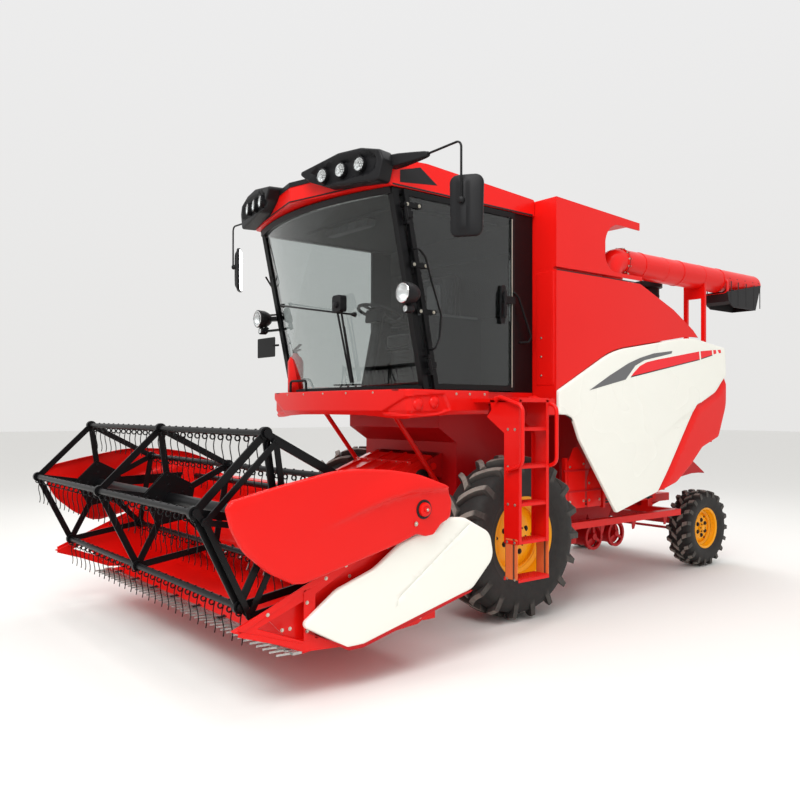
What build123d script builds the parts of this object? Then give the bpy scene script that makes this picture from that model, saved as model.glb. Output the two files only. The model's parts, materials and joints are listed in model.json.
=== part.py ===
from build123d import *
import os
from math import atan2, cos, hypot, radians, sin

# Self-propelled combine harvester with a cab, an elevator-fed header and a folding unloading tube.
# Millimetres. While it is built: Y = 0 is the front axle, forward is -Y, the machine's left is +X and
# the ground is Z = 0.
# At the end everything moves as one, so that the origin is the bottom centre of the bounding box.

# ---------------------------------------------------------------- driving dimensions
WHEELBASE = 3167
SHEET = 12                      # sheet walls, doubled skins included
RUN = 0.3                       # radial clearance of a pin in its eye, and of pieces that rest on each other
CLEAR = 8                       # gap between a moving panel and its frame

FRONT_TYRE_R = 643
FRONT_TYRE_W = 385
FRONT_RIM_R = 305
FRONT_TRACK = 1995              # between tyre centres
REAR_TYRE_R = 401
REAR_TYRE_W = 250
REAR_RIM_R = 194
REAR_TRACK = 1480

RAIL_X = 560                    # centre of each main rail
RAIL_W = 80
RAIL_H = 90
BODY_HALF = 620                 # threshing body, half width
BODY_TOP = 1690
SIDE_X = 1200                   # outer skin of the grain tank and the side panels
TANK_FRONT = 330
TANK_REAR = 1430
TANK_RIM = 2810                 # top of the tank's own walls
TANK_X = SIDE_X - 35            # outer face of the tank's own side walls
HOPPER_Z = 2240                 # where the sloping sides of the tank's floor start
FLOOR_HALF = 510                # half width of the flat floor
ROOF_FRONT_Z = 3378
ROOF_REAR_Z = 3322
REAR_END = 2872                 # rear end of the side panels
PANEL_TOP = 2345                # highest point of the hinged side panels

CAB_HALF = 950
CAB_FLOOR_Z = 1790
CAB_TOP_Z = 3255
PILLAR_FOOT_Y = -860
PILLAR_HEAD_Y = -1170
CAB_BACK_Y = 322
SCREEN_BOW = 165                # how far the windscreen bulges forward of its corners
DOOR_REAR_Y = 55

TUBE_R = 120
TUBE_WALL = 8
TUBE_X = SIDE_X - TUBE_R - 30   # swivel axis of the unloading tube
TUBE_Y = 1200
TUBE_Z = 2980
TUBE_END_Y = 3690
TUBE_BEND = 150

FEEDER_HALF = 400
FEEDER_PIVOT_Y = -330
FEEDER_PIVOT_Z = 1180
HEADER_HALF = 1560              # inner faces of the header's side sheets
AUGER_Y = -1620
AUGER_Z = 612
AUGER_R = 250
AUGER_TUBE_R = 150
REEL_Y = -2428
REEL_Z = 1012
REEL_R = 506                    # bats' pitch circle
REEL_HALF = 1490                # centre of each end spider
REEL_PHASE = 98.24              # angle of the first bat, from +Y towards +Z
BATS = 5
BAT_R = 20
CRANK_Y = 45                    # the eccentric star's centre lies this far behind the reel's
CRANK_Z = -50                   # and this far above it
ARM_PIVOT_Y = -1507
ARM_PIVOT_Z = 1032
LADDER_X = (1300, 1450)
LADDER_Y = (-380, -50)
STEP_PITCH = 277
LOW_STEP_Z = 410
PLATFORM_Z = 1735
LIFT_X = 300                    # header lift cylinders
LIFT_FOOT_Y = -40
LIFT_FOOT_Z = 470
LIFT_EYE_Y = -1080
LIFT_EYE_Z = 432
KINGPIN_X = 540
STEER_ARM = 150

parts = {}


# ---------------------------------------------------------------- shape helpers
def block(x, y, z):
    """Box between two x, two y and two z values."""
    size = (x[1] - x[0], y[1] - y[0], z[1] - z[0])
    return Pos((x[0] + x[1]) / 2, (y[0] + y[1]) / 2, (z[0] + z[1]) / 2) * Box(*size)


def outline(points):
    """Closed face from (u, v) or (u, v, corner radius) points."""
    corners = [(p[0], p[1]) for p in points]
    radii = [p[2] if len(p) == 3 else 0 for p in points]
    return make_face(FilletPolyline(*corners, radius=radii, close=True))


def side_plate(points, x):
    """Outline in (y, z), as thick as the two x values."""
    return extrude(Plane.YZ.offset(min(x)) * outline(points), amount=abs(x[1] - x[0]))


def front_plate(points, y):
    """Outline in (x, z), as thick as the two y values."""
    return extrude(Plane.XZ.offset(-max(y)) * outline(points), amount=abs(y[1] - y[0]))


def flat_plate(points, z):
    """Outline in (x, y), as thick as the two z values."""
    return extrude(Plane.XY.offset(min(z)) * outline(points), amount=abs(z[1] - z[0]))


def offset_line(points, distance):
    """An open line's points, each moved to its left by the distance, with mitred corners."""
    moved = []
    for i, point in enumerate(points):
        before = points[max(i - 1, 0)]
        after = points[min(i + 1, len(points) - 1)]
        into = _unit(before, point) if i > 0 else _unit(point, after)
        out = _unit(point, after) if i < len(points) - 1 else into
        share = 1 + into[0] * out[0] + into[1] * out[1]
        normal = (-(into[1] + out[1]) / share, (into[0] + out[0]) / share)
        moved.append((point[0] + normal[0] * distance, point[1] + normal[1] * distance))
    return moved


def _unit(a, b):
    """Direction from one point to the next."""
    length = hypot(b[0] - a[0], b[1] - a[1])
    return ((b[0] - a[0]) / length, (b[1] - a[1]) / length)


def bent_sheet(points, x, thickness):
    """Sheet folded along an open (y, z) line, with its thickness on the line's left."""
    skin = offset_line(points, thickness)
    return side_plate(list(points) + skin[::-1], x)


def rod(start, end, radius, bore=0):
    """Round bar or tube between two points."""
    axis = Vector(*end) - Vector(*start)
    plane = Plane(origin=start, z_dir=axis)
    section = Circle(radius) - Circle(bore) if bore else Circle(radius)
    return extrude(plane * section, amount=axis.length)


def disc(y, z, radius, x, bore=0):
    """Disc or ring across the machine."""
    return rod((min(x), y, z), (max(x), y, z), radius, bore)


def bent_tube(points, bend, radius, bore=0):
    """Round tube along straight runs with round bends."""
    path = FilletPolyline(*points, radius=bend)
    section = Circle(radius) - Circle(bore) if bore else Circle(radius)
    return sweep(Plane(origin=path @ 0, z_dir=path % 0) * section, path=path)


def strip(start, end, width, x):
    """Flat bar across (y, z) between two points, as thick as the two x values."""
    along = _unit(start, end)
    half = (-along[1] * width / 2, along[0] * width / 2)
    corners = [(start[0] + half[0], start[1] + half[1]), (end[0] + half[0], end[1] + half[1]),
               (end[0] - half[0], end[1] - half[1]), (start[0] - half[0], start[1] - half[1])]
    return side_plate(corners, x)


def mirrored(shape):
    """The same shape on the other side."""
    return mirror(shape, Plane.YZ)


def both(shape):
    """The shape and its mirror image, as separate solids."""
    return [shape, mirrored(shape)]


def keep(name, *shapes):
    """Stores a node's solids under its name."""
    solids = []
    for shape in shapes:
        for one in shape if isinstance(shape, list) else [shape]:
            solids.extend(one.solids())
    parts[name] = solids


def fuse(*shapes):
    """One shape from overlapping shapes."""
    total = shapes[0]
    for shape in shapes[1:]:
        total = total + shape
    return total


# ---------------------------------------------------------------- wheels
LIP = 22                        # height of a rim's flanges


def tyre(radius, width, rim_radius, x, y):
    """Tyre with rounded shoulders, centred at x."""
    shoulder = width * 0.16
    bead = width * 0.40
    section = outline([(-bead, rim_radius + RUN), (bead, rim_radius + RUN), (bead, rim_radius + LIP + 4),
                       (width / 2, (radius + rim_radius) / 2, width * 0.25),
                       (width / 2 - shoulder * 0.4, radius - shoulder * 0.3, shoulder),
                       (0, radius),
                       (-width / 2 + shoulder * 0.4, radius - shoulder * 0.3, shoulder),
                       (-width / 2, (radius + rim_radius) / 2,
                        width * 0.25), (-bead, rim_radius + LIP + 4)])
    return Pos(x, y, radius) * revolve(Plane.XY * section, axis=Axis.X)


def rim(rim_radius, width, disc_x, hub_radius, x, y, z, side):
    """Rim with two flanges and a wheel disc. disc_x is the disc's place outwards of the centre."""
    half = width * 0.40
    wall = 10
    section = outline([(-half - wall, rim_radius - wall), (half + wall, rim_radius - wall),
                       (half + wall, rim_radius + LIP), (half + RUN, rim_radius + LIP),
                       (half + RUN, rim_radius), (-half - RUN, rim_radius),
                       (-half - RUN, rim_radius + LIP), (-half - wall, rim_radius + LIP)])
    barrel = revolve(Plane.XY * section, axis=Axis.X)
    plate = disc(0, 0, rim_radius - wall / 2, (disc_x, disc_x + 14))
    hub = disc(0, 0, hub_radius, (disc_x, disc_x + 60))
    wheel = fuse(barrel, plate, hub)
    if side < 0:
        wheel = mirrored(wheel)
    return Pos(x, y, z) * wheel


FRONT_DISC = 40
REAR_DISC = 10
AXLE_Z = FRONT_TYRE_R
HUB_GAP = 6
for side, word in ((1, "left"), (-1, "right")):
    front_x = side * FRONT_TRACK / 2
    rear_x = side * REAR_TRACK / 2
    keep(f"front_{word}_tyre", tyre(FRONT_TYRE_R, FRONT_TYRE_W, FRONT_RIM_R, front_x, 0))
    keep(f"front_{word}_rim", rim(FRONT_RIM_R, FRONT_TYRE_W, FRONT_DISC, 95, front_x, 0, AXLE_Z, side))
    keep(f"rear_{word}_tyre", tyre(REAR_TYRE_R, REAR_TYRE_W, REAR_RIM_R, rear_x, WHEELBASE))
    keep(f"rear_{word}_rim",
         rim(REAR_RIM_R, REAR_TYRE_W, REAR_DISC, 60, rear_x, WHEELBASE, REAR_TYRE_R, side))

# ---------------------------------------------------------------- chassis
RAIL_BOTTOM = 725
RAIL_TOP = RAIL_BOTTOM + RAIL_H
RAIL_FRONT = -200
RAIL_REAR = 2620
LOW_RAIL_X = 905
LOW_RAIL_W = 70
LOW_RAIL_Z = (600, 660)
LOW_RAIL_Y = (780, 2540)
TAIL_X = 260
TAIL_W = 80
TAIL_Z = (640, 725)
TAIL_END = WHEELBASE + 163
PIN_R = 25
PIVOT_Z = 560                   # rear axle's swing pin
HITCH_Z = 600
HITCH_BORE = 16

rail = block((RAIL_X - RAIL_W / 2, RAIL_X + RAIL_W / 2), (RAIL_FRONT, RAIL_REAR), (RAIL_BOTTOM, RAIL_TOP))
low_rail = block((LOW_RAIL_X - LOW_RAIL_W / 2, LOW_RAIL_X + LOW_RAIL_W / 2), LOW_RAIL_Y, LOW_RAIL_Z)
frame = fuse(rail, mirrored(rail), low_rail, mirrored(low_rail))
low_span = LOW_RAIL_X + LOW_RAIL_W / 2
for y in (LOW_RAIL_Y[0], LOW_RAIL_Y[1] - 60):
    frame = fuse(frame, block((-low_span, low_span), (y, y + 60), LOW_RAIL_Z))
    for x in (-RAIL_X, RAIL_X):
        frame = fuse(frame, block((x - 40, x + 40), (y, y + 60), (LOW_RAIL_Z[0], RAIL_TOP)))
tail_rail = block((TAIL_X - TAIL_W / 2, TAIL_X + TAIL_W / 2), (RAIL_REAR - 120, TAIL_END), TAIL_Z)
tail_cross = block((-RAIL_X, RAIL_X), (RAIL_REAR - 80, RAIL_REAR), (TAIL_Z[0], RAIL_TOP))
tail_end = block((-TAIL_X, TAIL_X), (TAIL_END - 60, TAIL_END), TAIL_Z)
frame = fuse(frame, tail_rail, mirrored(tail_rail), tail_cross, tail_end)
for y in (WHEELBASE - 70, WHEELBASE + 45):
    bracket = front_plate([(-TAIL_X, TAIL_Z[0] + 20), (TAIL_X, TAIL_Z[0] + 20), (TAIL_X, TAIL_Z[0]),
                           (70, PIVOT_Z - 30), (-70, PIVOT_Z - 30), (-TAIL_X, TAIL_Z[0])], (y, y + 25))
    frame = fuse(frame, bracket)
frame = fuse(frame, rod((0, WHEELBASE - 80, PIVOT_Z), (0, WHEELBASE + 80, PIVOT_Z), PIN_R))
for z in (HITCH_Z, HITCH_Z + 60):
    tongue = flat_plate([(-60, TAIL_END - 60), (60, TAIL_END - 60), (60, TAIL_END + 70, 40),
                         (-60, TAIL_END + 70, 40)], (z, z + 20))
    frame = fuse(frame, tongue)
frame = fuse(frame, block((-60, 60), (TAIL_END - 60, TAIL_END - 20), (HITCH_Z, TAIL_Z[0])))
HITCH_Y = TAIL_END + 30
frame = frame - rod((0, HITCH_Y, HITCH_Z - 10), (0, HITCH_Y, HITCH_Z + 90), HITCH_BORE)
BOLT_R = 8.5
BOLT_SPAN_X = 240
BOLT_SPAN_Z = 45
BOLT_Z = sum(TAIL_Z) / 2
for x in (-BOLT_SPAN_X / 2, BOLT_SPAN_X / 2):
    for z in (BOLT_Z - BOLT_SPAN_Z / 2, BOLT_Z + BOLT_SPAN_Z / 2):
        frame = frame - rod((x, TAIL_END - 70, z), (x, TAIL_END + 10, z), BOLT_R)
keep("chassis_frame", frame)

# ---------------------------------------------------------------- front axle
FINAL_R = 165
FINAL_X = (650, 770)
LUG_T = 20
LUG_SPREAD = 52                 # from a lift cylinder's centre to the middle of each lug
axle = disc(0, AXLE_Z, 75, (-FINAL_X[0] - 20, FINAL_X[0] + 20))
gearbox = block((-130, 130), (-150, 150), (AXLE_Z - 130, AXLE_Z + 75))
axle = fuse(axle, gearbox)
saddle = block((RAIL_X - 45, RAIL_X + 45), (-90, 90), (AXLE_Z - 20, RAIL_BOTTOM))
final = disc(0, AXLE_Z, FINAL_R, FINAL_X)
hub_end = FRONT_TRACK / 2 + FRONT_DISC - RUN
hub = disc(0, AXLE_Z, 85, (FINAL_X[1] - 5, hub_end))
lugs = [block((LIFT_X + s - LUG_T / 2, LIFT_X + s + LUG_T / 2), (LIFT_FOOT_Y - 35, LIFT_FOOT_Y + 35),
              (LIFT_FOOT_Z - 35, AXLE_Z)) for s in (-LUG_SPREAD, LUG_SPREAD)]
lift_pin = disc(LIFT_FOOT_Y, LIFT_FOOT_Z, 18, (LIFT_X - LUG_SPREAD - 18, LIFT_X + LUG_SPREAD + 18))
half_axle = fuse(saddle, final, hub, lugs[0], lugs[1], lift_pin)
keep("front_axle", fuse(axle, half_axle, mirrored(half_axle)))

# ---------------------------------------------------------------- rear axle, knuckles and steering
BEAM_H = 90
BEAM_W = 100
EYE_R = 48
EYE_Z = (REAR_TYRE_R - 20, REAR_TYRE_R + 110)
KING_R = 22
FORK_T = 26
beam_z = (REAR_TYRE_R + 10, REAR_TYRE_R + 10 + BEAM_H)
beam = block((-KINGPIN_X, KINGPIN_X), (WHEELBASE - BEAM_W / 2, WHEELBASE + BEAM_W / 2), beam_z)
lug = block((-65, 65), (WHEELBASE - 40, WHEELBASE + 40), (beam_z[0], PIVOT_Z + 45))
beam = fuse(beam, lug) - rod((0, WHEELBASE - 90, PIVOT_Z), (0, WHEELBASE + 90, PIVOT_Z), PIN_R + RUN)
for side in (-1, 1):
    x = side * KINGPIN_X
    beam = fuse(beam, rod((x, WHEELBASE, EYE_Z[0]), (x, WHEELBASE, EYE_Z[1]), EYE_R))
    beam = beam - rod((x, WHEELBASE, EYE_Z[0] - 10), (x, WHEELBASE, EYE_Z[1] + 10), KING_R + RUN)
keep("rear_axle", beam)

ARM_Z = EYE_Z[0] - 3 - FORK_T
stub_end = REAR_TRACK / 2 + REAR_DISC - RUN
for side, word in ((1, "left"), (-1, "right")):
    x = KINGPIN_X
    y = WHEELBASE
    pin = rod((x, y, ARM_Z), (x, y, EYE_Z[1] + 3 + FORK_T), KING_R)
    fork_low = block((x - 38, x + 95), (y - 38, y + 38), (ARM_Z, ARM_Z + FORK_T))
    fork_top = block((x - 38, x + 95), (y - 38, y + 38), (EYE_Z[1] + 3, EYE_Z[1] + 3 + FORK_T))
    web = block((x + EYE_R + 8, x + 95), (y - 38, y + 38), (ARM_Z, EYE_Z[1] + 3 + FORK_T))
    stub = disc(y, REAR_TYRE_R, 34, (x + 80, stub_end))
    arm = flat_plate([(x - 25, y), (x + 25, y), (x + 22, y + STEER_ARM + 22, 20),
                      (x - 22, y + STEER_ARM + 22, 20)], (ARM_Z, ARM_Z + FORK_T))
    ball = rod((x, y + STEER_ARM, ARM_Z - 42), (x, y + STEER_ARM, ARM_Z + 5), 11)
    knuckle = fuse(pin, fork_low, fork_top, web, stub, arm, ball)
    keep(f"rear_{word}_knuckle", knuckle if side > 0 else mirrored(knuckle))

rod_z = ARM_Z - 22
tie = disc(WHEELBASE + STEER_ARM, rod_z, 14, (-KINGPIN_X, KINGPIN_X))
for x in (-KINGPIN_X, KINGPIN_X):
    y = WHEELBASE + STEER_ARM
    tie = fuse(tie, rod((x, y, rod_z - 16), (x, y, rod_z + 16), 26))
for x in (-KINGPIN_X, KINGPIN_X):
    tie = tie - rod((x, y, rod_z - 30), (x, y, rod_z + 30), 11 + RUN)
keep("tie_rod", tie)

# ---------------------------------------------------------------- threshing body and what hangs on it
BODY_FRONT = -230
BODY_REAR = 2750
MOUTH_Z = (880, 1290)
MOUTH_DEPTH = 220
TRUNNION_R = 30
CHEEK_T = 16
CHEEK_X = FEEDER_HALF + 30
body = side_plate([(BODY_FRONT, RAIL_TOP), (BODY_REAR, RAIL_TOP), (BODY_REAR, 1250), (2330, BODY_TOP),
                   (-420, BODY_TOP), (-420, 1500), (BODY_FRONT, 1380)], (-BODY_HALF, BODY_HALF))
body = body - block((-FEEDER_HALF, FEEDER_HALF), (BODY_FRONT - 10, BODY_FRONT + MOUTH_DEPTH), MOUTH_Z)
for side in (-1, 1):
    cheek = side_plate([(BODY_FRONT + 5, FEEDER_PIVOT_Z - 110), (BODY_FRONT + 5, FEEDER_PIVOT_Z + 110),
                        (FEEDER_PIVOT_Y - 50, FEEDER_PIVOT_Z + 50, 40),
                        (FEEDER_PIVOT_Y - 50, FEEDER_PIVOT_Z - 50, 40)],
                       (side * CHEEK_X, side * (CHEEK_X + CHEEK_T)))
    body = fuse(body, cheek)
body = body - disc(FEEDER_PIVOT_Y, FEEDER_PIVOT_Z, TRUNNION_R + RUN, (-CHEEK_X - 40, CHEEK_X + 40))
keep("threshing_body", body)

FAN_Y = 560
FAN_Z = 600
TROUGH_Y = (1440, 1780)
TROUGH_Z = 460
TROUGH_R = 95
trough_half = RAIL_X - RAIL_W / 2 - 10
fan = disc(FAN_Y, FAN_Z, RAIL_TOP - FAN_Z, (-trough_half, trough_half))
hopper = side_plate([(1200, RAIL_TOP), (TROUGH_Y[0] - 80, TROUGH_Z), (TROUGH_Y[0] + 80, TROUGH_Z),
                     (sum(TROUGH_Y) / 2, 640), (TROUGH_Y[1] - 80, TROUGH_Z), (TROUGH_Y[1] + 80, TROUGH_Z),
                     (2080, RAIL_TOP)], (-trough_half, trough_half))
for y in TROUGH_Y:
    hopper = fuse(hopper, disc(y, TROUGH_Z, TROUGH_R, (-680, 680)))
    pulley = disc(y, TROUGH_Z, 125, (690, 722), 98)
    for k in range(3):
        a = radians(90 + 120 * k)
        pulley = fuse(pulley, strip((y, TROUGH_Z), (y + 105 * cos(a), TROUGH_Z + 105 * sin(a)), 26,
                                    (694, 718)))
    pulley = fuse(pulley, disc(y, TROUGH_Z, 30, (675, 730)))
    hopper = fuse(hopper, pulley)
TANK_FLOOR = BODY_TOP + RUN
ELEVATOR_X = (BODY_HALF + RUN, BODY_HALF + 165)
hopper_slope = (HOPPER_Z - TANK_FLOOR) / (TANK_X - FLOOR_HALF)
ELEVATOR_TOP = TANK_FLOOR + (ELEVATOR_X[0] - FLOOR_HALF) * hopper_slope - 1
elevator = side_plate([(860, 540), (960, 440), (1100, 440), (1100, ELEVATOR_TOP), (860, ELEVATOR_TOP)],
                      ELEVATOR_X)
keep("lower_housings", fan, hopper, both(elevator))

ENGINE = ((-330, 330), (1560, 2280), (BODY_TOP, 2240))
keep("engine_block", block(*ENGINE))

# ---------------------------------------------------------------- grain tank
POCKET_X = TUBE_X - TUBE_R - 70  # the corner pocket that the riser stands in
POCKET_Y = TUBE_Y - TUBE_R - 110


def tank_section(inset, top):
    """Cross-section of the tank with sloping floor sides, inset from its outer face."""
    lift = inset / cos(atan2(HOPPER_Z - TANK_FLOOR, TANK_X - FLOOR_HALF))
    x = TANK_X - inset
    return [(-x, top), (-x, HOPPER_Z + lift * 0.6), (-FLOOR_HALF, TANK_FLOOR + lift),
            (FLOOR_HALF, TANK_FLOOR + lift), (x, HOPPER_Z + lift * 0.6), (x, top)]


tank = front_plate(tank_section(0, TANK_RIM), (TANK_FRONT, TANK_REAR))
front_wall = (block((-SIDE_X, SIDE_X), (TANK_FRONT, TANK_FRONT + SHEET), (1630, TANK_RIM - 20))
              - block((-BODY_HALF - 1, BODY_HALF + 1), (TANK_FRONT - 5, TANK_FRONT + SHEET + 5),
                      (1600, BODY_TOP + RUN)))
cavity = front_plate(tank_section(SHEET, TANK_RIM + 5), (TANK_FRONT + SHEET, TANK_REAR - SHEET))
cavity = cavity - block((POCKET_X - SHEET, SIDE_X), (POCKET_Y - SHEET, TANK_REAR), (1600, TANK_RIM + 10))
pocket = block((POCKET_X, SIDE_X), (POCKET_Y, TANK_REAR + 10), (1600, TANK_RIM + 10))
keep("grain_tank", fuse(tank, front_wall) - cavity - pocket)

# upper part of the tank: walls and a roof that runs past the rear wall
ROOF_END = 1464
SEAM = 20
roof_slope = (ROOF_REAR_Z - ROOF_FRONT_Z) / (ROOF_END - TANK_FRONT)


def roof_z(y):
    """Height of the roof's top face."""
    return ROOF_FRONT_Z + roof_slope * (y - TANK_FRONT)


EXT_Z = TANK_RIM
CUT_FRONT = TUBE_Y - TUBE_R - 112   # the tube's notch in the left side
CUT_TOP = TUBE_Z + TUBE_R + 165
CUT_LOW = TUBE_Z - TUBE_R - 15
REAR_WALL_Y = TUBE_Y + 95
left_side = side_plate([(TANK_FRONT, EXT_Z), (TANK_FRONT, ROOF_FRONT_Z - 1), (ROOF_END, ROOF_REAR_Z - 1),
                        (ROOF_END, CUT_TOP - 8), (CUT_FRONT, CUT_TOP, 190), (CUT_FRONT, CUT_LOW, 150),
                        (ROOF_END + 40, CUT_LOW), (ROOF_END + 40, EXT_Z)], (SIDE_X - SHEET, SIDE_X))
right_side = side_plate([(TANK_FRONT, EXT_Z), (TANK_FRONT, ROOF_FRONT_Z - 1), (ROOF_END, ROOF_REAR_Z - 1),
                         (ROOF_END, EXT_Z)], (-SIDE_X, -SIDE_X + SHEET))
HATCH_X = (-340, 340)
HATCH_Y = (560, 1060)
roof = side_plate([(TANK_FRONT, ROOF_FRONT_Z - SHEET), (TANK_FRONT, ROOF_FRONT_Z),
                   (ROOF_END, ROOF_REAR_Z),
                   (ROOF_END, ROOF_REAR_Z - SHEET)], (-SIDE_X, SIDE_X))
roof = roof - block(HATCH_X, HATCH_Y, (3200, 3500))
ext_front = block((-SIDE_X, SIDE_X), (TANK_FRONT, TANK_FRONT + SHEET), (EXT_Z, ROOF_FRONT_Z - SHEET))
ext_rear = block((-SIDE_X, POCKET_X), (REAR_WALL_Y, REAR_WALL_Y + SHEET),
                 (EXT_Z, roof_z(REAR_WALL_Y) - 6))
ext_pocket = fuse(block((POCKET_X - SHEET, POCKET_X), (POCKET_Y - SHEET, REAR_WALL_Y),
                        (EXT_Z, roof_z(REAR_WALL_Y) - 6)),
                  block((POCKET_X - SHEET, SIDE_X), (POCKET_Y - SHEET, POCKET_Y),
                        (EXT_Z, roof_z(POCKET_Y) - 6)))
flange = (block((-SIDE_X, SIDE_X), (TANK_FRONT, REAR_WALL_Y + SHEET), (EXT_Z, EXT_Z + SHEET))
          - block((-TANK_X + SHEET, TANK_X - SHEET), (TANK_FRONT + SHEET, REAR_WALL_Y),
                  (EXT_Z - 5, EXT_Z + 30))
          - block((POCKET_X, SIDE_X - SHEET), (POCKET_Y, TANK_REAR), (EXT_Z - 5, EXT_Z + 30)))
HINGE_R = 8
hatch_pin_z = roof_z(HATCH_Y[0]) + 22
hatch_pin_y = HATCH_Y[0] - 45
hatch_lugs = []
for x in (-200, 200):
    lug = side_plate([(hatch_pin_y - 14, roof_z(hatch_pin_y) - 5), (hatch_pin_y - 14, hatch_pin_z + 12),
                      (hatch_pin_y + 14, hatch_pin_z + 12), (hatch_pin_y + 14, roof_z(hatch_pin_y) - 5)],
                     (x - 30, x - 20))
    hatch_lugs.append(lug)
    hatch_lugs.append(Pos(50, 0, 0) * lug)
    hatch_lugs.append(disc(hatch_pin_y, hatch_pin_z, HINGE_R, (x - 32, x + 32)))
keep("tank_roof", fuse(roof, left_side, right_side, ext_front, ext_rear, ext_pocket, flange, *hatch_lugs))

hatch = side_plate([(hatch_pin_y, roof_z(hatch_pin_y) + 16), (hatch_pin_y, roof_z(hatch_pin_y) + 28),
                    (HATCH_Y[1] + 30, roof_z(HATCH_Y[1] + 30) + 18),
                    (HATCH_Y[1] + 30, roof_z(HATCH_Y[1] + 30) + 6),
                    (HATCH_Y[0], roof_z(HATCH_Y[0]) + 6)], (HATCH_X[0] - 30, HATCH_X[1] + 30))
for x in (-200, 200):
    hatch = hatch - block((x - 36, x - 14), (hatch_pin_y - 30, hatch_pin_y + 24), (3300, 3460))
    hatch = hatch - block((x + 14, x + 36), (hatch_pin_y - 30, hatch_pin_y + 24), (3300, 3460))
    hatch = fuse(hatch, disc(hatch_pin_y, hatch_pin_z, 16, (x - 13, x + 13)))
hatch = hatch - disc(hatch_pin_y, hatch_pin_z, HINGE_R + RUN, (-400, 400))
keep("tank_hatch", hatch)

# ---------------------------------------------------------------- side skins
SKIN_FRONT = TANK_FRONT + SHEET + RUN
skin_top = [(SKIN_FRONT, TANK_RIM - SEAM), (1475, TANK_RIM - SEAM - 10, 120), (2000, 2590, 500),
            (2330, 2420, 150), (2420, 2352)]
SEAM_LOW = (1060, 2165)         # corners of the side door's top edge
SEAM_HIGH = (2250, PANEL_TOP)
fixed_skin = side_plate([(SKIN_FRONT, 1814)] + skin_top
                        + [(SEAM_HIGH[0], SEAM_HIGH[1] + CLEAR, 1500),
                           (SEAM_LOW[0], SEAM_LOW[1] + CLEAR, 1200)],
                        (SIDE_X - SHEET, SIDE_X))
DOOR_T = 30
side_door = side_plate([(TANK_FRONT, 1630), (TANK_FRONT, 1806), (*SEAM_LOW, 1200), (*SEAM_HIGH, 1500),
                        (REAR_END, 2270), (2890, 1963, 400), (2746, 1389, 60), (2451, 1292, 60),
                        (2246, 1126, 200), (2010, 977, 200), (1719, 901, 300), (1092, 759, 30),
                        (505, 1608, 60)], (SIDE_X + RUN, SIDE_X + RUN + DOOR_T))

# goose-neck hinges behind the seam, on a line that runs with the seam
PANEL_HINGE_X = SIDE_X - 25
PANEL_HINGE_UP = 24             # height of the hinge line over the door's edge
PANEL_HINGE_Y = (1500, 2000)
PANEL_PIN_R = 6
NECK_W = 40
NECK_DROP = 60
seam_way = _unit(SEAM_LOW, SEAM_HIGH)


def panel_hinge(y):
    """Point of the side door's hinge line."""
    rise = (y - SEAM_LOW[0]) * seam_way[1] / seam_way[0]
    return (PANEL_HINGE_X, y, SEAM_LOW[1] + rise + PANEL_HINGE_UP)


for y in PANEL_HINGE_Y:
    turned = Plane(origin=panel_hinge(y), x_dir=(1, 0, 0), z_dir=(0, *seam_way))
    reach = SIDE_X + RUN - PANEL_HINGE_X + 2
    inner = -14
    neck = extrude(turned * outline([(reach, NECK_DROP - 10), (inner, NECK_DROP - 10), (inner, 7), (0, 7),
                                     (0, -7),
                                     (inner - 10, -7), (inner - 10, NECK_DROP), (reach, NECK_DROP)]),
                   amount=NECK_W)
    neck = fuse(neck, extrude(turned * Circle(12), amount=NECK_W))
    neck = neck - extrude(turned * Circle(PANEL_PIN_R + RUN), amount=NECK_W)
    side_door = fuse(side_door, neck)
    fixed_skin = fuse(fixed_skin, extrude(turned.offset(-15) * Circle(PANEL_PIN_R), amount=NECK_W + 30))
    for start in (-15, NECK_W + 5):
        cheek = outline([(-10, -12), (SIDE_X - SHEET - PANEL_HINGE_X + 1, -12),
                         (SIDE_X - SHEET - PANEL_HINGE_X + 1, 12), (-10, 12)])
        fixed_skin = fuse(fixed_skin, extrude(turned.offset(start) * cheek, amount=10))
keep("upper_side_panels", both(fixed_skin))
keep("side_door_left", side_door)
keep("side_door_right", mirrored(side_door))

# ---------------------------------------------------------------- rear hood, intake and straw deflector
HOOD_HALF = SIDE_X - 60
HOOD_TOP = 2290
hood = bent_sheet([(TANK_REAR + RUN, HOOD_TOP), (2820, HOOD_TOP), (REAR_END - 20, HOOD_TOP - 60),
                   (BODY_REAR + 20, 1330)],
                  (-HOOD_HALF, HOOD_HALF), -20)
keep("rear_hood", hood)

INTAKE = (700, 2330)
intake = fuse(rod((*INTAKE, HOOD_TOP), (*INTAKE, 2880), 110), rod((*INTAKE, 2880), (*INTAKE, 2940), 140))
keep("air_intake", intake)

DEFLECT_HALF = 780
chute = bent_sheet([(BODY_REAR + 5, 1235), (2960, 1150), (3240, 985)], (-DEFLECT_HALF, DEFLECT_HALF), -10)
cheek = side_plate([(BODY_REAR + RUN, 1235), (2960, 1150), (3240, 985), (3000, 985), (2800, 960),
                    (BODY_REAR + RUN, 1000)],
                   (DEFLECT_HALF - 10, DEFLECT_HALF))
rear_plate = block((-DEFLECT_HALF, DEFLECT_HALF), (BODY_REAR + RUN, BODY_REAR + 10), (1000, 1235))
keep("straw_deflector", fuse(chute, cheek, mirrored(cheek), rear_plate))

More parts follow.
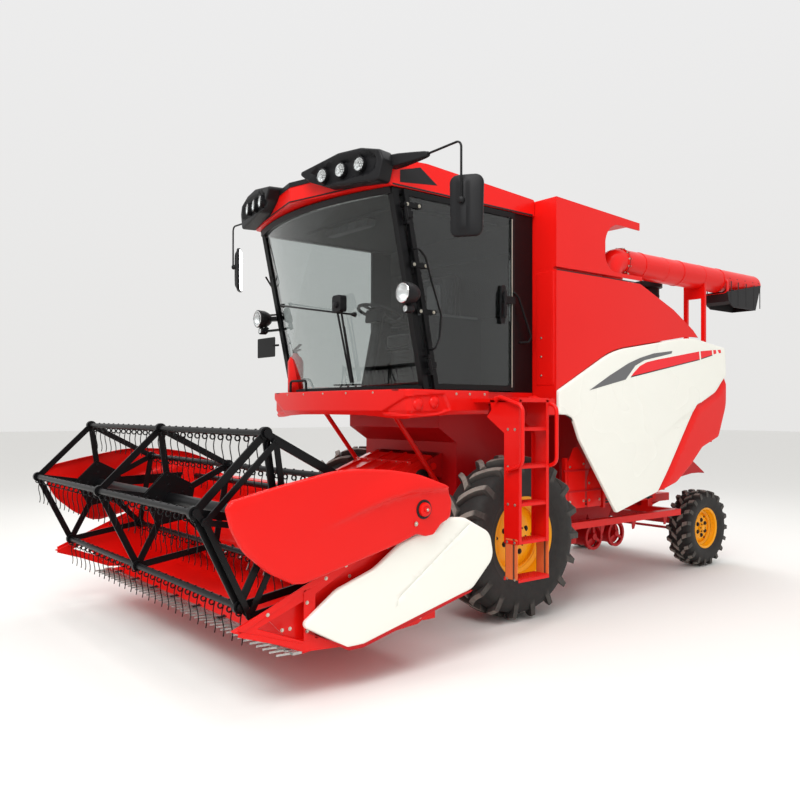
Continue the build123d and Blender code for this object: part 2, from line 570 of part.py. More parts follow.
# ---------------------------------------------------------------- unloading tube
SWIVEL_Z = TUBE_Z - TUBE_BEND - 25
SWIVEL_LIP = 11                 # how far the swivel's two flanges stand out of the tube
riser = rod((TUBE_X, TUBE_Y, 2250), (TUBE_X, TUBE_Y, SWIVEL_Z - RUN), TUBE_R, TUBE_R - TUBE_WALL)
riser = fuse(riser, rod((TUBE_X, TUBE_Y, SWIVEL_Z - 20), (TUBE_X, TUBE_Y, SWIVEL_Z - RUN),
                        TUBE_R + SWIVEL_LIP, TUBE_R - TUBE_WALL))
foot = block((POCKET_X + RUN, TUBE_X + 60), (POCKET_Y + RUN, TUBE_Y), (2300, 2330))
riser = fuse(riser, foot - rod((TUBE_X, TUBE_Y, 2200), (TUBE_X, TUBE_Y, 2500), TUBE_R - TUBE_WALL))
REST_Y = 2620
REST_TOP = TUBE_Z - TUBE_R - 100   # foot of the rest's cradle, above its two legs
saddle = front_plate([(TUBE_X - TUBE_R - 10, TUBE_Z - 60), (TUBE_X - TUBE_R - 10, HOOD_TOP + RUN),
                      (TUBE_X - TUBE_R + 30, HOOD_TOP + RUN), (TUBE_X - TUBE_R + 30, REST_TOP),
                      (TUBE_X + TUBE_R - 60, REST_TOP), (TUBE_X + TUBE_R - 60, HOOD_TOP + RUN),
                      (TUBE_X + TUBE_R - 20, HOOD_TOP + RUN), (TUBE_X + TUBE_R - 20, TUBE_Z - 60)],
                     (REST_Y, REST_Y + 30))
saddle = saddle - rod((TUBE_X, REST_Y - 10, TUBE_Z), (TUBE_X, REST_Y + 50, TUBE_Z), TUBE_R + 0.5)
keep("auger_riser", riser, saddle)

tube = bent_tube([(TUBE_X, TUBE_Y, SWIVEL_Z), (TUBE_X, TUBE_Y, TUBE_Z), (TUBE_X, TUBE_END_Y, TUBE_Z)],
                 TUBE_BEND, TUBE_R, TUBE_R - TUBE_WALL)
for y in (TUBE_Y + TUBE_BEND, TUBE_Y + TUBE_BEND + 14):
    tube = fuse(tube, rod((TUBE_X, y, TUBE_Z), (TUBE_X, y + 10, TUBE_Z), TUBE_R + 8, TUBE_R - 2))
tube = fuse(tube, rod((TUBE_X, TUBE_Y, SWIVEL_Z), (TUBE_X, TUBE_Y, SWIVEL_Z + 14), TUBE_R + SWIVEL_LIP,
                      TUBE_R - 2))
tube = fuse(tube, rod((TUBE_X, TUBE_END_Y - 10, TUBE_Z), (TUBE_X, TUBE_END_Y, TUBE_Z), TUBE_R))
SPOUT_Y = (2990, TUBE_END_Y - 20)
tube = tube - block((TUBE_X - 85, TUBE_X + 85), (SPOUT_Y[0] + 60, SPOUT_Y[1] - 60),
                    (TUBE_Z - TUBE_R - 20, TUBE_Z - 40))
keep("unloading_tube", tube)

spout = side_plate([(SPOUT_Y[0], TUBE_Z - 125), (SPOUT_Y[0] + 30, 2760), (SPOUT_Y[0] + 130, 2706),
                    (SPOUT_Y[1] - 110, 2706), (SPOUT_Y[1], TUBE_Z)], (TUBE_X - 132, TUBE_X + 132))
hollow = side_plate([(SPOUT_Y[0] + 12, TUBE_Z), (SPOUT_Y[0] + 42, 2760), (SPOUT_Y[0] + 140, 2690),
                     (SPOUT_Y[1] - 116, 2690), (SPOUT_Y[1] - 12, TUBE_Z), (SPOUT_Y[1] - 12, TUBE_Z + 90)],
                    (TUBE_X - 120, TUBE_X + 120))
spout = spout - hollow - rod((TUBE_X, 2900, TUBE_Z), (TUBE_X, 3800, TUBE_Z), TUBE_R + RUN)
keep("unloading_spout", spout)

# ---------------------------------------------------------------- cab
PILLAR = 55


def pillar_y(z):
    """Place of the leaning front pillars at a height."""
    share = (z - CAB_FLOOR_Z) / (CAB_TOP_Z - CAB_FLOOR_Z)
    return PILLAR_FOOT_Y + share * (PILLAR_HEAD_Y - PILLAR_FOOT_Y)


def bowed_face(half, corner_y, bow, depth):
    """Plan of a bar that bows forward between two corners and is as deep as given."""
    front = ThreePointArc((-half, corner_y), (0, corner_y - bow), (half, corner_y))
    back = ThreePointArc((half, corner_y + depth), (0, corner_y - bow + depth), (-half, corner_y + depth))
    return make_face([front, Line(front @ 1, back @ 0), back, Line(back @ 1, front @ 0)])


floor_front = pillar_y(CAB_FLOOR_Z)
floor_plan = flat_plate([(-CAB_HALF, CAB_BACK_Y), (-CAB_HALF, floor_front),
                         (-500, floor_front - SCREEN_BOW * 0.72),
                         (0, floor_front - SCREEN_BOW), (500, floor_front - SCREEN_BOW * 0.72),
                         (CAB_HALF, floor_front), (CAB_HALF, CAB_BACK_Y)], (BODY_TOP + 10, CAB_FLOOR_Z))
mounts_under = [block((x - 60, x + 60), (y - 60, y + 60),
                      (BODY_TOP, BODY_TOP + 12)) for x in (-450, 450) for y in (-200, 200)]
STRUT_X = 480
strut = rod((STRUT_X, -850, BODY_TOP + 15), (STRUT_X, BODY_FRONT - 18, 960), 20)
strut_foot = block((STRUT_X - 35, STRUT_X + 35), (BODY_FRONT - 30, BODY_FRONT), (930, 990))
keep("cab_floor", fuse(floor_plan, *mounts_under, strut, mirrored(strut), strut_foot,
                       mirrored(strut_foot)))

BUMPER_Z = (1620, CAB_FLOOR_Z)
BUMPER_END = LADDER_Y[0] - CLEAR
BUMPER_OUT = 25                 # how far the chin stands out of the cab's floor at the sides
chin_corner = (CAB_HALF + 5, floor_front - 140)
chin_cheek = (CAB_HALF - 300, floor_front - 225)
ring = [(CAB_HALF + BUMPER_OUT, BUMPER_END), (CAB_HALF + BUMPER_OUT, floor_front + 260), chin_corner,
        chin_cheek,
        (0, floor_front - 270), (-chin_cheek[0], chin_cheek[1]), (-chin_corner[0], chin_corner[1]),
        (-CAB_HALF - BUMPER_OUT, floor_front + 260), (-CAB_HALF - BUMPER_OUT, BUMPER_END)]
bumper = flat_plate(ring, BUMPER_Z)
bumper = bumper - flat_plate([(CAB_HALF + RUN, 10), (CAB_HALF + RUN, floor_front - 5),
                              (500, floor_front - SCREEN_BOW * 0.72 - 5),
                              (0, floor_front - SCREEN_BOW - 5), (-500, floor_front - SCREEN_BOW * 0.72 - 5),
                              (-CAB_HALF - RUN, floor_front - 5), (-CAB_HALF - RUN, 10)],
                             (BUMPER_Z[0] - 5, BUMPER_Z[1] + 5))
keep("cab_bumper", bumper)

rear_panel = block((-CAB_HALF, CAB_HALF), (CAB_BACK_Y - 25, CAB_BACK_Y), (CAB_FLOOR_Z, CAB_TOP_Z))
side_post = block((CAB_HALF - 30, CAB_HALF), (DOOR_REAR_Y + CLEAR, CAB_BACK_Y - 25),
                  (CAB_FLOOR_Z, CAB_TOP_Z))
front_post = side_plate([(pillar_y(CAB_FLOOR_Z), CAB_FLOOR_Z),
                         (pillar_y(CAB_FLOOR_Z) + PILLAR, CAB_FLOOR_Z),
                         (pillar_y(CAB_TOP_Z) + PILLAR, CAB_TOP_Z), (pillar_y(CAB_TOP_Z), CAB_TOP_Z)],
                        (CAB_HALF - PILLAR, CAB_HALF))
head_rail = block((CAB_HALF - PILLAR, CAB_HALF), (pillar_y(CAB_TOP_Z), CAB_BACK_Y),
                  (CAB_TOP_Z - 45, CAB_TOP_Z))
front_head = extrude(Plane.XY.offset(CAB_TOP_Z - 45) * bowed_face(CAB_HALF - 10, pillar_y(CAB_TOP_Z) + 5,
                                                                  SCREEN_BOW, 50), amount=45)
front_sill = extrude(Plane.XY.offset(CAB_FLOOR_Z) * bowed_face(CAB_HALF - 10, pillar_y(CAB_FLOOR_Z) + 5,
                                                               SCREEN_BOW, 50), amount=40)
keep("cab_frame", fuse(rear_panel, side_post, mirrored(side_post), front_post, mirrored(front_post),
                       head_rail, mirrored(head_rail), front_head, front_sill))

GLASS = 6
screen_low = CAB_FLOOR_Z + 40 + RUN
screen_top = CAB_TOP_Z - 45 - RUN
screen_half = CAB_HALF - PILLAR - RUN
screen = loft([Plane.XY.offset(z) * bowed_face(screen_half, pillar_y(z) + 12, SCREEN_BOW, GLASS)
               for z in (screen_low, screen_top)], ruled=True)
right_glass = side_plate([(pillar_y(CAB_FLOOR_Z) + PILLAR + 10, CAB_FLOOR_Z + RUN),
                          (DOOR_REAR_Y, CAB_FLOOR_Z + RUN),
                          (DOOR_REAR_Y, CAB_TOP_Z - 45 - RUN), (pillar_y(CAB_TOP_Z - 45) + PILLAR + 10,
                                                                CAB_TOP_Z - 45 - RUN)],
                         (-CAB_HALF + 10, -CAB_HALF + 10 + GLASS))
keep("cab_glass", screen, right_glass)

# door on the left, hung on the leaning front pillar
DOOR_X = (CAB_HALF + RUN, CAB_HALF + 28)
DOOR_LOW = CAB_FLOOR_Z + 12
DOOR_TOP = CAB_TOP_Z - 12
DOOR_FRONT = 35                 # the door's front edge, behind the pillar's front face
DOOR_BAR = 42
door_outer = [(pillar_y(DOOR_LOW) + DOOR_FRONT + 50, DOOR_LOW),
              (pillar_y(DOOR_TOP) + DOOR_FRONT + 50, DOOR_TOP),
              (DOOR_REAR_Y + 25, DOOR_TOP), (DOOR_REAR_Y + 25, DOOR_LOW, 40)]
door_low = DOOR_LOW + DOOR_BAR
door_top = DOOR_TOP - DOOR_BAR
door_hole = [(pillar_y(door_low) + DOOR_FRONT + 50 + DOOR_BAR, door_low),
             (pillar_y(door_top) + DOOR_FRONT + 50 + DOOR_BAR, door_top),
             (DOOR_REAR_Y + 25 - DOOR_BAR, door_top), (DOOR_REAR_Y + 25 - DOOR_BAR, door_low, 30)]
door = side_plate(door_outer, DOOR_X) - side_plate(door_hole, (CAB_HALF - 5, CAB_HALF + 40))
HINGE_X = CAB_HALF + 42
door_axis = _unit((pillar_y(CAB_FLOOR_Z), CAB_FLOOR_Z), (pillar_y(CAB_TOP_Z), CAB_TOP_Z))


def on_hinge(z):
    """Point of the door's hinge line at a height."""
    return (HINGE_X, pillar_y(z) + DOOR_FRONT + 26, z)


door_hinges = []
for z in (CAB_FLOOR_Z + 190, CAB_TOP_Z - 190):
    low = on_hinge(z - 40)
    high = on_hinge(z + 40)
    door = fuse(door, rod(low, high, 13),
                Pos(0, pillar_y(z) + DOOR_FRONT + 26, z) * block((DOOR_X[0], HINGE_X + 6),
                                                                 (0, DOOR_BAR + 16), (-25, 25)))
    pin_low = on_hinge(z - 75)
    pin_high = on_hinge(z + 75)
    door_hinges.append(rod(pin_low, pin_high, 6))
    for end in (z - 64, z + 64):
        door_hinges.append(Pos(0, pillar_y(end) + DOOR_FRONT + 26, end)
                           * block((CAB_HALF - 5, HINGE_X + 10), (-12, 12), (-9, 9)))
for z in (CAB_FLOOR_Z + 190, CAB_TOP_Z - 190):
    door = door - rod(on_hinge(z - 120), on_hinge(z + 120), 6 + RUN)
handle = block((DOOR_X[1] - 2, DOOR_X[1] + 26), (-80, 60), (2500, 2560))
keep("cab_door", fuse(door, handle))
keep("door_glass", side_plate([(p[0] + s * RUN, p[1] + t * RUN, p[2] if len(p) == 3 else 0) for p, s, t in
                               zip(door_hole, (1, 1, -1, -1), (1, -1, -1, 1))],
                              (CAB_HALF + 10, CAB_HALF + 10 + GLASS)))
parts["cab_frame"] = fuse(Compound(parts["cab_frame"]), *door_hinges).solids()

# roof with its two corner wings, lamps and mirrors
ROOF_HALF = CAB_HALF + 22
roof_front = PILLAR_HEAD_Y - 70
roof_plan = flat_plate([(-ROOF_HALF, CAB_BACK_Y), (-ROOF_HALF, roof_front + 20, 60),
                        (0, roof_front - 205), (ROOF_HALF, roof_front + 20, 60),
                        (ROOF_HALF, CAB_BACK_Y)], (3200, 3520))
roof_side = side_plate([(CAB_BACK_Y, CAB_TOP_Z + RUN), (CAB_BACK_Y, 3390, 20), (-850, 3468, 300),
                        (roof_front - 205, 3440, 60),
                        (roof_front - 205, CAB_TOP_Z + 20), (pillar_y(CAB_TOP_Z) - 30, CAB_TOP_Z + RUN)],
                       (-ROOF_HALF, ROOF_HALF))
keep("cab_roof", roof_plan & roof_side)

WING_TURN = 12
WING_DEPTH = 130
LAMP_R = 54
LAMP_DEPTH = 30
LAMP_PLACES = ((448, 3386), (632, 3394), (817, 3402))
wing = front_plate([(190, 3455), (800, 3528, 60), (1010, 3470), (1040, 3400), (960, 3300), (500, 3300),
                    (420, 3330)],
                   (-WING_DEPTH, 0))
roof_lamps = []
for x, z in LAMP_PLACES:
    wing = wing - rod((x, -WING_DEPTH - 5, z), (x, LAMP_DEPTH - WING_DEPTH, z), LAMP_R + RUN)
    roof_lamps.append(rod((x, -WING_DEPTH - 3, z), (x, LAMP_DEPTH - WING_DEPTH - RUN, z), LAMP_R))
wing_place = Pos(0, roof_front - 175, 0) * Rot(0, 0, WING_TURN)
behind_wing = flat_plate([(-ROOF_HALF - 1, CAB_BACK_Y), (-ROOF_HALF - 1, roof_front + 20),
                          (0, roof_front - 206),
                          (ROOF_HALF + 1, roof_front + 20), (ROOF_HALF + 1, CAB_BACK_Y)], (3200, 3600))
keep("roof_visor", both(wing_place * wing - behind_wing))
POD_Z = 2478
POD_X = CAB_HALF + 102
POD_R = 78
pod_y = pillar_y(POD_Z + 20) - RUN
pod = rod((POD_X, pod_y - 140, POD_Z), (POD_X, pod_y, POD_Z), POD_R)
pod = fuse(pod, block((CAB_HALF - 20, POD_X - 20), (pod_y - 60, pod_y), (POD_Z - 20, POD_Z + 20)))
keep("lamps", [s for lamp in roof_lamps for s in both(wing_place * lamp)], both(pod))

MIRROR_X = 1594
MIRROR_TURN = 35
mirror_arm = loft([Plane(origin=(ROOF_HALF + RUN, -1140, 3440), z_dir=(1, 0, 0)) * Rectangle(110, 90),
                   Plane(origin=(1290, -1110, 3425), z_dir=(1, 0, 0)) * Rectangle(50, 45)], ruled=True)
mirror_rod = bent_tube([(1280, -1110, 3425), (MIRROR_X, -1085, 3425), (MIRROR_X, -1085, 3000)], 40, 8)
mirror_head = Pos(MIRROR_X + 4, -1049, 3005) * Rot(0, 0, MIRROR_TURN) * Box(232, 50, 412)
keep("mirrors", both(fuse(mirror_arm, mirror_rod, mirror_head)))

# seat and controls
seat = fuse(block((-230, 230), (-330, 130), (2190, 2320)), block((-220, 220), (60, 180), (2320, 2860)))
keep("driver_seat", fuse(seat, block((-180, 180), (-260, 80), (CAB_FLOOR_Z, 2190))))
column = (rod((0, -709, CAB_FLOOR_Z - 40), (0, -551, 2474), 45)
          - block((-100, 100), (-900, -500), (CAB_FLOOR_Z - 100, CAB_FLOOR_Z)))
wheel_plane = Plane(origin=(0, -550, 2470), z_dir=(0, 0.28, 1))
steering = fuse(column, extrude(wheel_plane * (Circle(200) - Circle(180)), amount=22),
                extrude(wheel_plane * Rectangle(380, 30), amount=14),
                extrude(wheel_plane * Circle(50), amount=18))
console = block((330, 520), (-500, 150), (CAB_FLOOR_Z, 2420))
keep("steering_console", steering, console)

# ---------------------------------------------------------------- platform, ladder and hand rails
PLATE = 12
gusset_points = [(LADDER_X[0], 1475), (LADDER_X[0] - 180, 1595), (LADDER_X[0] - 130, 1650),
                 (LADDER_X[0] - 150, PLATFORM_Z - 5),
                 (LADDER_X[1], PLATFORM_Z - 5), (LADDER_X[1], 1475)]
WALKWAY_X = SIDE_X + 32         # outer edge of the walkway behind the ladder
PLATFORM_END = TANK_FRONT - 55  # outside the tank's corner, where the side door's front edge swings
ladder = flat_plate([(CAB_HALF + RUN, LADDER_Y[0]), (LADDER_X[1], LADDER_Y[0]),
                     (LADDER_X[1], LADDER_Y[1]), (WALKWAY_X + 40, LADDER_Y[1]),
                     (WALKWAY_X + 40, LADDER_Y[1] + 30), (WALKWAY_X, LADDER_Y[1] + 60),
                     (WALKWAY_X, PLATFORM_END),
                     (SIDE_X - CLEAR, PLATFORM_END), (SIDE_X - CLEAR, CAB_BACK_Y),
                     (CAB_HALF + RUN, CAB_BACK_Y)],
                    (PLATFORM_Z - 30, PLATFORM_Z))
for y in (LADDER_Y[0], LADDER_Y[1] - PLATE):
    ladder = fuse(ladder, front_plate(gusset_points, (y, y + PLATE)),
                  block(LADDER_X, (y, y + PLATE), (660, 1480)))
for k in range(1, 5):
    z = LOW_STEP_Z + k * STEP_PITCH
    ladder = fuse(ladder, block(LADDER_X, LADDER_Y, (z - 25, z)))
skirt = block((WALKWAY_X - PLATE, WALKWAY_X), (LADDER_Y[1] - PLATE, PLATFORM_END), (1606, PLATFORM_Z))
ladder = fuse(ladder, skirt)
RAIL_TUBE = 15
for y, way in ((LADDER_Y[0], -1), (LADDER_Y[1], 1)):
    side_y = y + way * 22
    hand = bent_tube([(LADDER_X[0] - 60, side_y, 1728), (LADDER_X[1] + 55, side_y, 1675),
                      (LADDER_X[1] + 55, side_y, 1250),
                      (LADDER_X[0] + 60, side_y, 1205)], 50, RAIL_TUBE)
    ladder = fuse(ladder, hand,
                  block((LADDER_X[0] + 40, LADDER_X[0] + 80), (min(y, side_y), max(y, side_y)),
                        (1195, 1215)),
                  block((LADDER_X[0] - 70, LADDER_X[0] - 30), (min(y, side_y), max(y, side_y)),
                        (1715, 1735)))
low_step = block(LADDER_X, (LADDER_Y[0] - 6, LADDER_Y[1] + 6), (LOW_STEP_Z - 25, LOW_STEP_Z))
for y in (LADDER_Y[0] - 6 - RUN, LADDER_Y[1] + RUN):
    low_step = fuse(low_step, block((LADDER_X[0] + 30, LADDER_X[1] - 10), (y, y + 6),
                                    (LOW_STEP_Z - 25, 700)))
keep("ladder", ladder)
keep("lower_step", low_step)

# ---------------------------------------------------------------- feeder house and lift cylinders
HEADER_BACK = -1300
feeder = side_plate([(-290, 1290, 40), (-300, 860, 40), (HEADER_BACK + 20, 400), (HEADER_BACK + 20, 850),
                     (-900, 1060)],
                    (-FEEDER_HALF, FEEDER_HALF))
feeder = feeder - block((-FEEDER_HALF + SHEET, FEEDER_HALF - SHEET), (HEADER_BACK, HEADER_BACK + 170),
                        (440, 790))
feeder = fuse(feeder, disc(FEEDER_PIVOT_Y, FEEDER_PIVOT_Z, TRUNNION_R,
                           (-CHEEK_X - CHEEK_T - 8, CHEEK_X + CHEEK_T + 8)))
for s in (-LUG_SPREAD, LUG_SPREAD):
    for side in (-1, 1):
        x = side * LIFT_X + s
        feeder = fuse(feeder, side_plate([(LIFT_EYE_Y - 30, LIFT_EYE_Z - 30, 25),
                                          (LIFT_EYE_Y + 30, LIFT_EYE_Z - 30, 25),
                                          (LIFT_EYE_Y + 60, 540), (LIFT_EYE_Y - 60, 500)],
                                         (x - LUG_T / 2, x + LUG_T / 2)))
for side in (-1, 1):
    feeder = fuse(feeder, disc(LIFT_EYE_Y, LIFT_EYE_Z, 16,
                               (side * LIFT_X - LUG_SPREAD - 15, side * LIFT_X + LUG_SPREAD + 15)))
keep("feeder_house", feeder)

foot_at = (LIFT_FOOT_Y, LIFT_FOOT_Z)
eye_at = (LIFT_EYE_Y, LIFT_EYE_Z)
lift_way = _unit(foot_at, eye_at)


def on_lift(distance, x):
    """Point of a lift cylinder's centre line, from its foot pin."""
    return (x, foot_at[0] + lift_way[0] * distance, foot_at[1] + lift_way[1] * distance)


BARREL = 640
EYE_SLACK = 7                   # room in a rod's eye, because the eye drifts from its pin
LIFT_LENGTH = hypot(eye_at[0] - foot_at[0], eye_at[1] - foot_at[1])
barrels = []
rods = []
for x in (LIFT_X, -LIFT_X):
    barrel = rod(on_lift(30, x), on_lift(BARREL, x), 36)
    barrel = fuse(barrel, disc(*foot_at, 34, (x - 24, x + 24))) - disc(*foot_at, 18 + RUN, (x - 60, x + 60))
    barrel = barrel - rod(on_lift(70, x), on_lift(BARREL + 10, x), 20 + RUN)
    barrels.append(barrel)
    ram = rod(on_lift(300, x), on_lift(LIFT_LENGTH - 20, x), 20)
    ram = fuse(ram, disc(*eye_at, 36, (x - 24, x + 24))) - disc(*eye_at, 16 + EYE_SLACK, (x - 60, x + 60))
    rods.append(ram)
keep("lift_barrels", barrels)
keep("lift_rods", rods)

# ---------------------------------------------------------------- header
FLOOR_T = 8
KNIFE_Y = -2300
KNIFE_Z = 262
floor_line = [(KNIFE_Y, KNIFE_Z), (-1860, 305), (-1730, 330), (-1520, 330), (-1390, 400), (-1330, 560),
              (HEADER_BACK - 8, 1010)]
SIDE_T = 15
table = bent_sheet(floor_line, (-HEADER_HALF, HEADER_HALF), -FLOOR_T)
table = table - block((-FEEDER_HALF, FEEDER_HALF), (-1420, HEADER_BACK + 30), (430, 800))
beam_top = block((-HEADER_HALF, HEADER_HALF), (HEADER_BACK - 15, HEADER_BACK + 85), (930, 1030))
beam_low = block((-HEADER_HALF, HEADER_HALF), (HEADER_BACK - 90, HEADER_BACK + 10), (300, 385))
table = fuse(table, beam_top, beam_low)
for side in (-1, 1):
    post = block((side * (FEEDER_HALF + 50) - 40, side * (FEEDER_HALF + 50) + 40),
                 (HEADER_BACK - 20, HEADER_BACK + 40), (340, 1000))
    table = fuse(table, post)
frame_face = block((-FEEDER_HALF - 10, FEEDER_HALF + 10), (HEADER_BACK, HEADER_BACK + 20 - RUN),
                   (385, 930))
frame_face = frame_face - block((-FEEDER_HALF + SHEET, FEEDER_HALF - SHEET),
                                (HEADER_BACK - 50, HEADER_BACK + 60), (440, 790))
table = fuse(table, frame_face)
end_sheet = side_plate([(-2330, 285), (-1990, 250), (-1450, 290), (-1240, 400), (-1215, 1030),
                        (-1400, 1110, 30), (-1620, 1110, 30),
                        (-1700, 900), (-2250, 640), (-2560, 520)], (HEADER_HALF, HEADER_HALF + SIDE_T))
table = fuse(table, end_sheet, mirrored(end_sheet))
table = table - disc(ARM_PIVOT_Y, ARM_PIVOT_Z, 24 + RUN, (-HEADER_HALF - 60, HEADER_HALF + 60))
table = table - disc(AUGER_Y, AUGER_Z, 30 + RUN, (-HEADER_HALF - 60, HEADER_HALF + 60))
keep("header_table", table)

TIP = (-2761, 462)
divider = side_plate([TIP, (-2330, 285), (-1990, 262), (-1990, 320), (-2250, 350), (-2250, 600),
                      (-1760, 850), (-1760, 890), (-2290, 640)],
                     (HEADER_HALF + SIDE_T + RUN, HEADER_HALF + SIDE_T + 46))
divider = divider - side_plate([(-2620, 463), (-2330, 345), (-2290, 345), (-2290, 585)],
                               (HEADER_HALF, HEADER_HALF + 100))
keep("crop_dividers", both(divider))

GUARDS = 41
knife_bar = block((-HEADER_HALF + RUN, HEADER_HALF - RUN), (KNIFE_Y - 60, KNIFE_Y - RUN),
                  (KNIFE_Z - 6, KNIFE_Z + 10))
for k in range(GUARDS):
    x = (k - (GUARDS - 1) / 2) * 76.2
    guard = flat_plate([(x - 14, KNIFE_Y - 50), (x + 14, KNIFE_Y - 50), (x, KNIFE_Y - 150)],
                       (KNIFE_Z - 6, KNIFE_Z + 6))
    knife_bar = fuse(knife_bar, guard)
keep("cutterbar", knife_bar)

COVER_X = (HEADER_HALF + SIDE_T + 48, HEADER_HALF + SIDE_T + 80)
cover = side_plate([(-2348, 430), (-2023, 247, 40), (-1181, 402, 160), (-830, 624, 120), (-954, 907, 120),
                    (-1270, 953, 100),
                    (-1645, 841, 60), (-2095, 593, 60)], COVER_X)
standoff = disc(-1900, 420, 20, (HEADER_HALF + SIDE_T, COVER_X[0] + 5))
standoff_2 = disc(-1350, 700, 20, (HEADER_HALF + SIDE_T, COVER_X[0] + 5))
keep("drive_cover", fuse(cover, standoff, standoff_2))

auger = disc(AUGER_Y, AUGER_Z, AUGER_TUBE_R, (-HEADER_HALF + 40, HEADER_HALF - 40))
auger = fuse(auger, disc(AUGER_Y, AUGER_Z, 30, (-HEADER_HALF - SIDE_T, HEADER_HALF + SIDE_T)))
FLIGHT_T = 8
FLIGHT_PITCH = 440
FLIGHT_TURNS = 2.4
flight_length = FLIGHT_PITCH * FLIGHT_TURNS
for side in (-1, 1):
    helix = Helix(pitch=FLIGHT_PITCH, height=flight_length, radius=(AUGER_R + AUGER_TUBE_R - 10) / 2,
                  lefthand=side < 0)
    blade = sweep(Plane(origin=helix @ 0, z_dir=helix % 0,
                        x_dir=(1, 0, 0)) * Rectangle(AUGER_R - AUGER_TUBE_R + 10, FLIGHT_T),
                  path=helix, is_frenet=True)
    placed = Plane(origin=(side * (HEADER_HALF - 60), AUGER_Y, AUGER_Z), z_dir=(-side, 0, 0)) * blade
    auger = fuse(auger, placed)
keep("header_auger", auger)

# ---------------------------------------------------------------- reel
ARM_X = (HEADER_HALF + 25, HEADER_HALF + 60)
cross_shaft = disc(ARM_PIVOT_Y, ARM_PIVOT_Z, 24, (-ARM_X[1], ARM_X[1]))
arms = cross_shaft
for side in (-1, 1):
    x = (side * ARM_X[0], side * ARM_X[1])
    arms = fuse(arms, strip((ARM_PIVOT_Y, ARM_PIVOT_Z), (REEL_Y, REEL_Z), 80, x),
                disc(ARM_PIVOT_Y, ARM_PIVOT_Z, 60, x), disc(REEL_Y, REEL_Z, 60, x))
ecc_y = REEL_Y + CRANK_Y
ecc_z = REEL_Z + CRANK_Z
STAR_X = (HEADER_HALF - 33, HEADER_HALF - 21)
HUB_R = 100
SHAFT_R = 25
arms = fuse(arms, disc(ecc_y, ecc_z, HUB_R, (STAR_X[0] - 2, STAR_X[1] + 6)),
            disc(ecc_y, ecc_z, 70, (STAR_X[1], ARM_X[0] + 5)))
arms = arms - disc(REEL_Y, REEL_Z, SHAFT_R + RUN, (-ARM_X[1] - 10, ARM_X[1] + 10))
keep("reel_arms", arms)

SHIELD_GAP = 7                  # from the drive cover's outer face
SHIELD_X = (COVER_X[1] + SHIELD_GAP, COVER_X[1] + SHIELD_GAP + 38)
shield = side_plate([(-2767, 1160, 60), (-2836, 1025, 60), (-2401, 695, 120), (-1696, 765, 200),
                     (-1373, 892, 80), (-1271, 1137, 80),
                     (-1696, 1283, 500), (-2066, 1289, 700)], SHIELD_X)
knob = disc(ARM_PIVOT_Y, ARM_PIVOT_Z, 40, (SHIELD_X[1] - 5, SHIELD_X[1] + 20))
bolt = disc(ARM_PIVOT_Y, ARM_PIVOT_Z, 16, (SHIELD_X[1], SHIELD_X[1] + 45))
pivot_boss = disc(ARM_PIVOT_Y, ARM_PIVOT_Z, 40, (ARM_X[1] + RUN, SHIELD_X[0] + 5))
reel_boss = disc(REEL_Y, REEL_Z, 40, (ARM_X[1] + RUN, SHIELD_X[0] + 5))
keep("reel_shields", both(fuse(shield, knob, bolt, pivot_boss, reel_boss)))


def bat_place(k):
    """A bat's angle and its place on the pitch circle."""
    angle = radians(REEL_PHASE + 360 / BATS * k)
    return REEL_Y + REEL_R * cos(angle), REEL_Z + REEL_R * sin(angle)


SPIDER_T = 12
spider_x = (-REEL_HALF, 0, REEL_HALF)
reel = disc(REEL_Y, REEL_Z, 45, (-REEL_HALF, REEL_HALF))
reel = fuse(reel, disc(REEL_Y, REEL_Z, SHAFT_R, (-ARM_X[1] + 7, ARM_X[1] - 7)))
for x in spider_x:
    span = (x - SPIDER_T / 2, x + SPIDER_T / 2)
    reel = fuse(reel, disc(REEL_Y, REEL_Z, 130, span))
    for k in range(BATS):
        here = bat_place(k)
        reel = fuse(reel, strip((REEL_Y, REEL_Z), here, 45, span),
                    strip(here, bat_place(k + 1), 45, span),
                    disc(*here, 38, (x - 16, x + 16)))
for k in range(BATS):
    reel = reel - disc(*bat_place(k), BAT_R + RUN, (-REEL_HALF - 30, REEL_HALF + 30))
keep("reel_frame", reel)

BAT_END = STAR_X[0] - 4
CRANK_T = 10
crank_x = (BAT_END - CRANK_T, BAT_END)
for k in range(BATS):
    y, z = bat_place(k)
    bat = disc(y, z, BAT_R, (-REEL_HALF - 40, BAT_END))
    crank = fuse(strip((y, z), (y + CRANK_Y, z + CRANK_Z), 34, crank_x), disc(y, z, 24, crank_x),
                 disc(y + CRANK_Y, z + CRANK_Z, 17, crank_x),
                 disc(y + CRANK_Y, z + CRANK_Z, 10, (BAT_END - 2, STAR_X[1] + 2)))
    keep(f"reel_bat_{k + 1}", fuse(bat, crank))

star = disc(ecc_y, ecc_z, HUB_R + 35, STAR_X)
for k in range(BATS):
    y, z = bat_place(k)
    here = (y + CRANK_Y, z + CRANK_Z)
    y2, z2 = bat_place(k + 1)
    star = fuse(star, strip((ecc_y, ecc_z), here, 34, STAR_X),
                strip(here, (y2 + CRANK_Y, z2 + CRANK_Z), 34, STAR_X),
                disc(*here, 24, STAR_X))
for k in range(BATS):
    y, z = bat_place(k)
    star = star - disc(y + CRANK_Y, z + CRANK_Z, 10 + RUN, (STAR_X[0] - 5, STAR_X[1] + 5))
star = star - disc(ecc_y, ecc_z, HUB_R + RUN, (STAR_X[0] - 5, STAR_X[1] + 5))
keep("reel_eccentric", star)

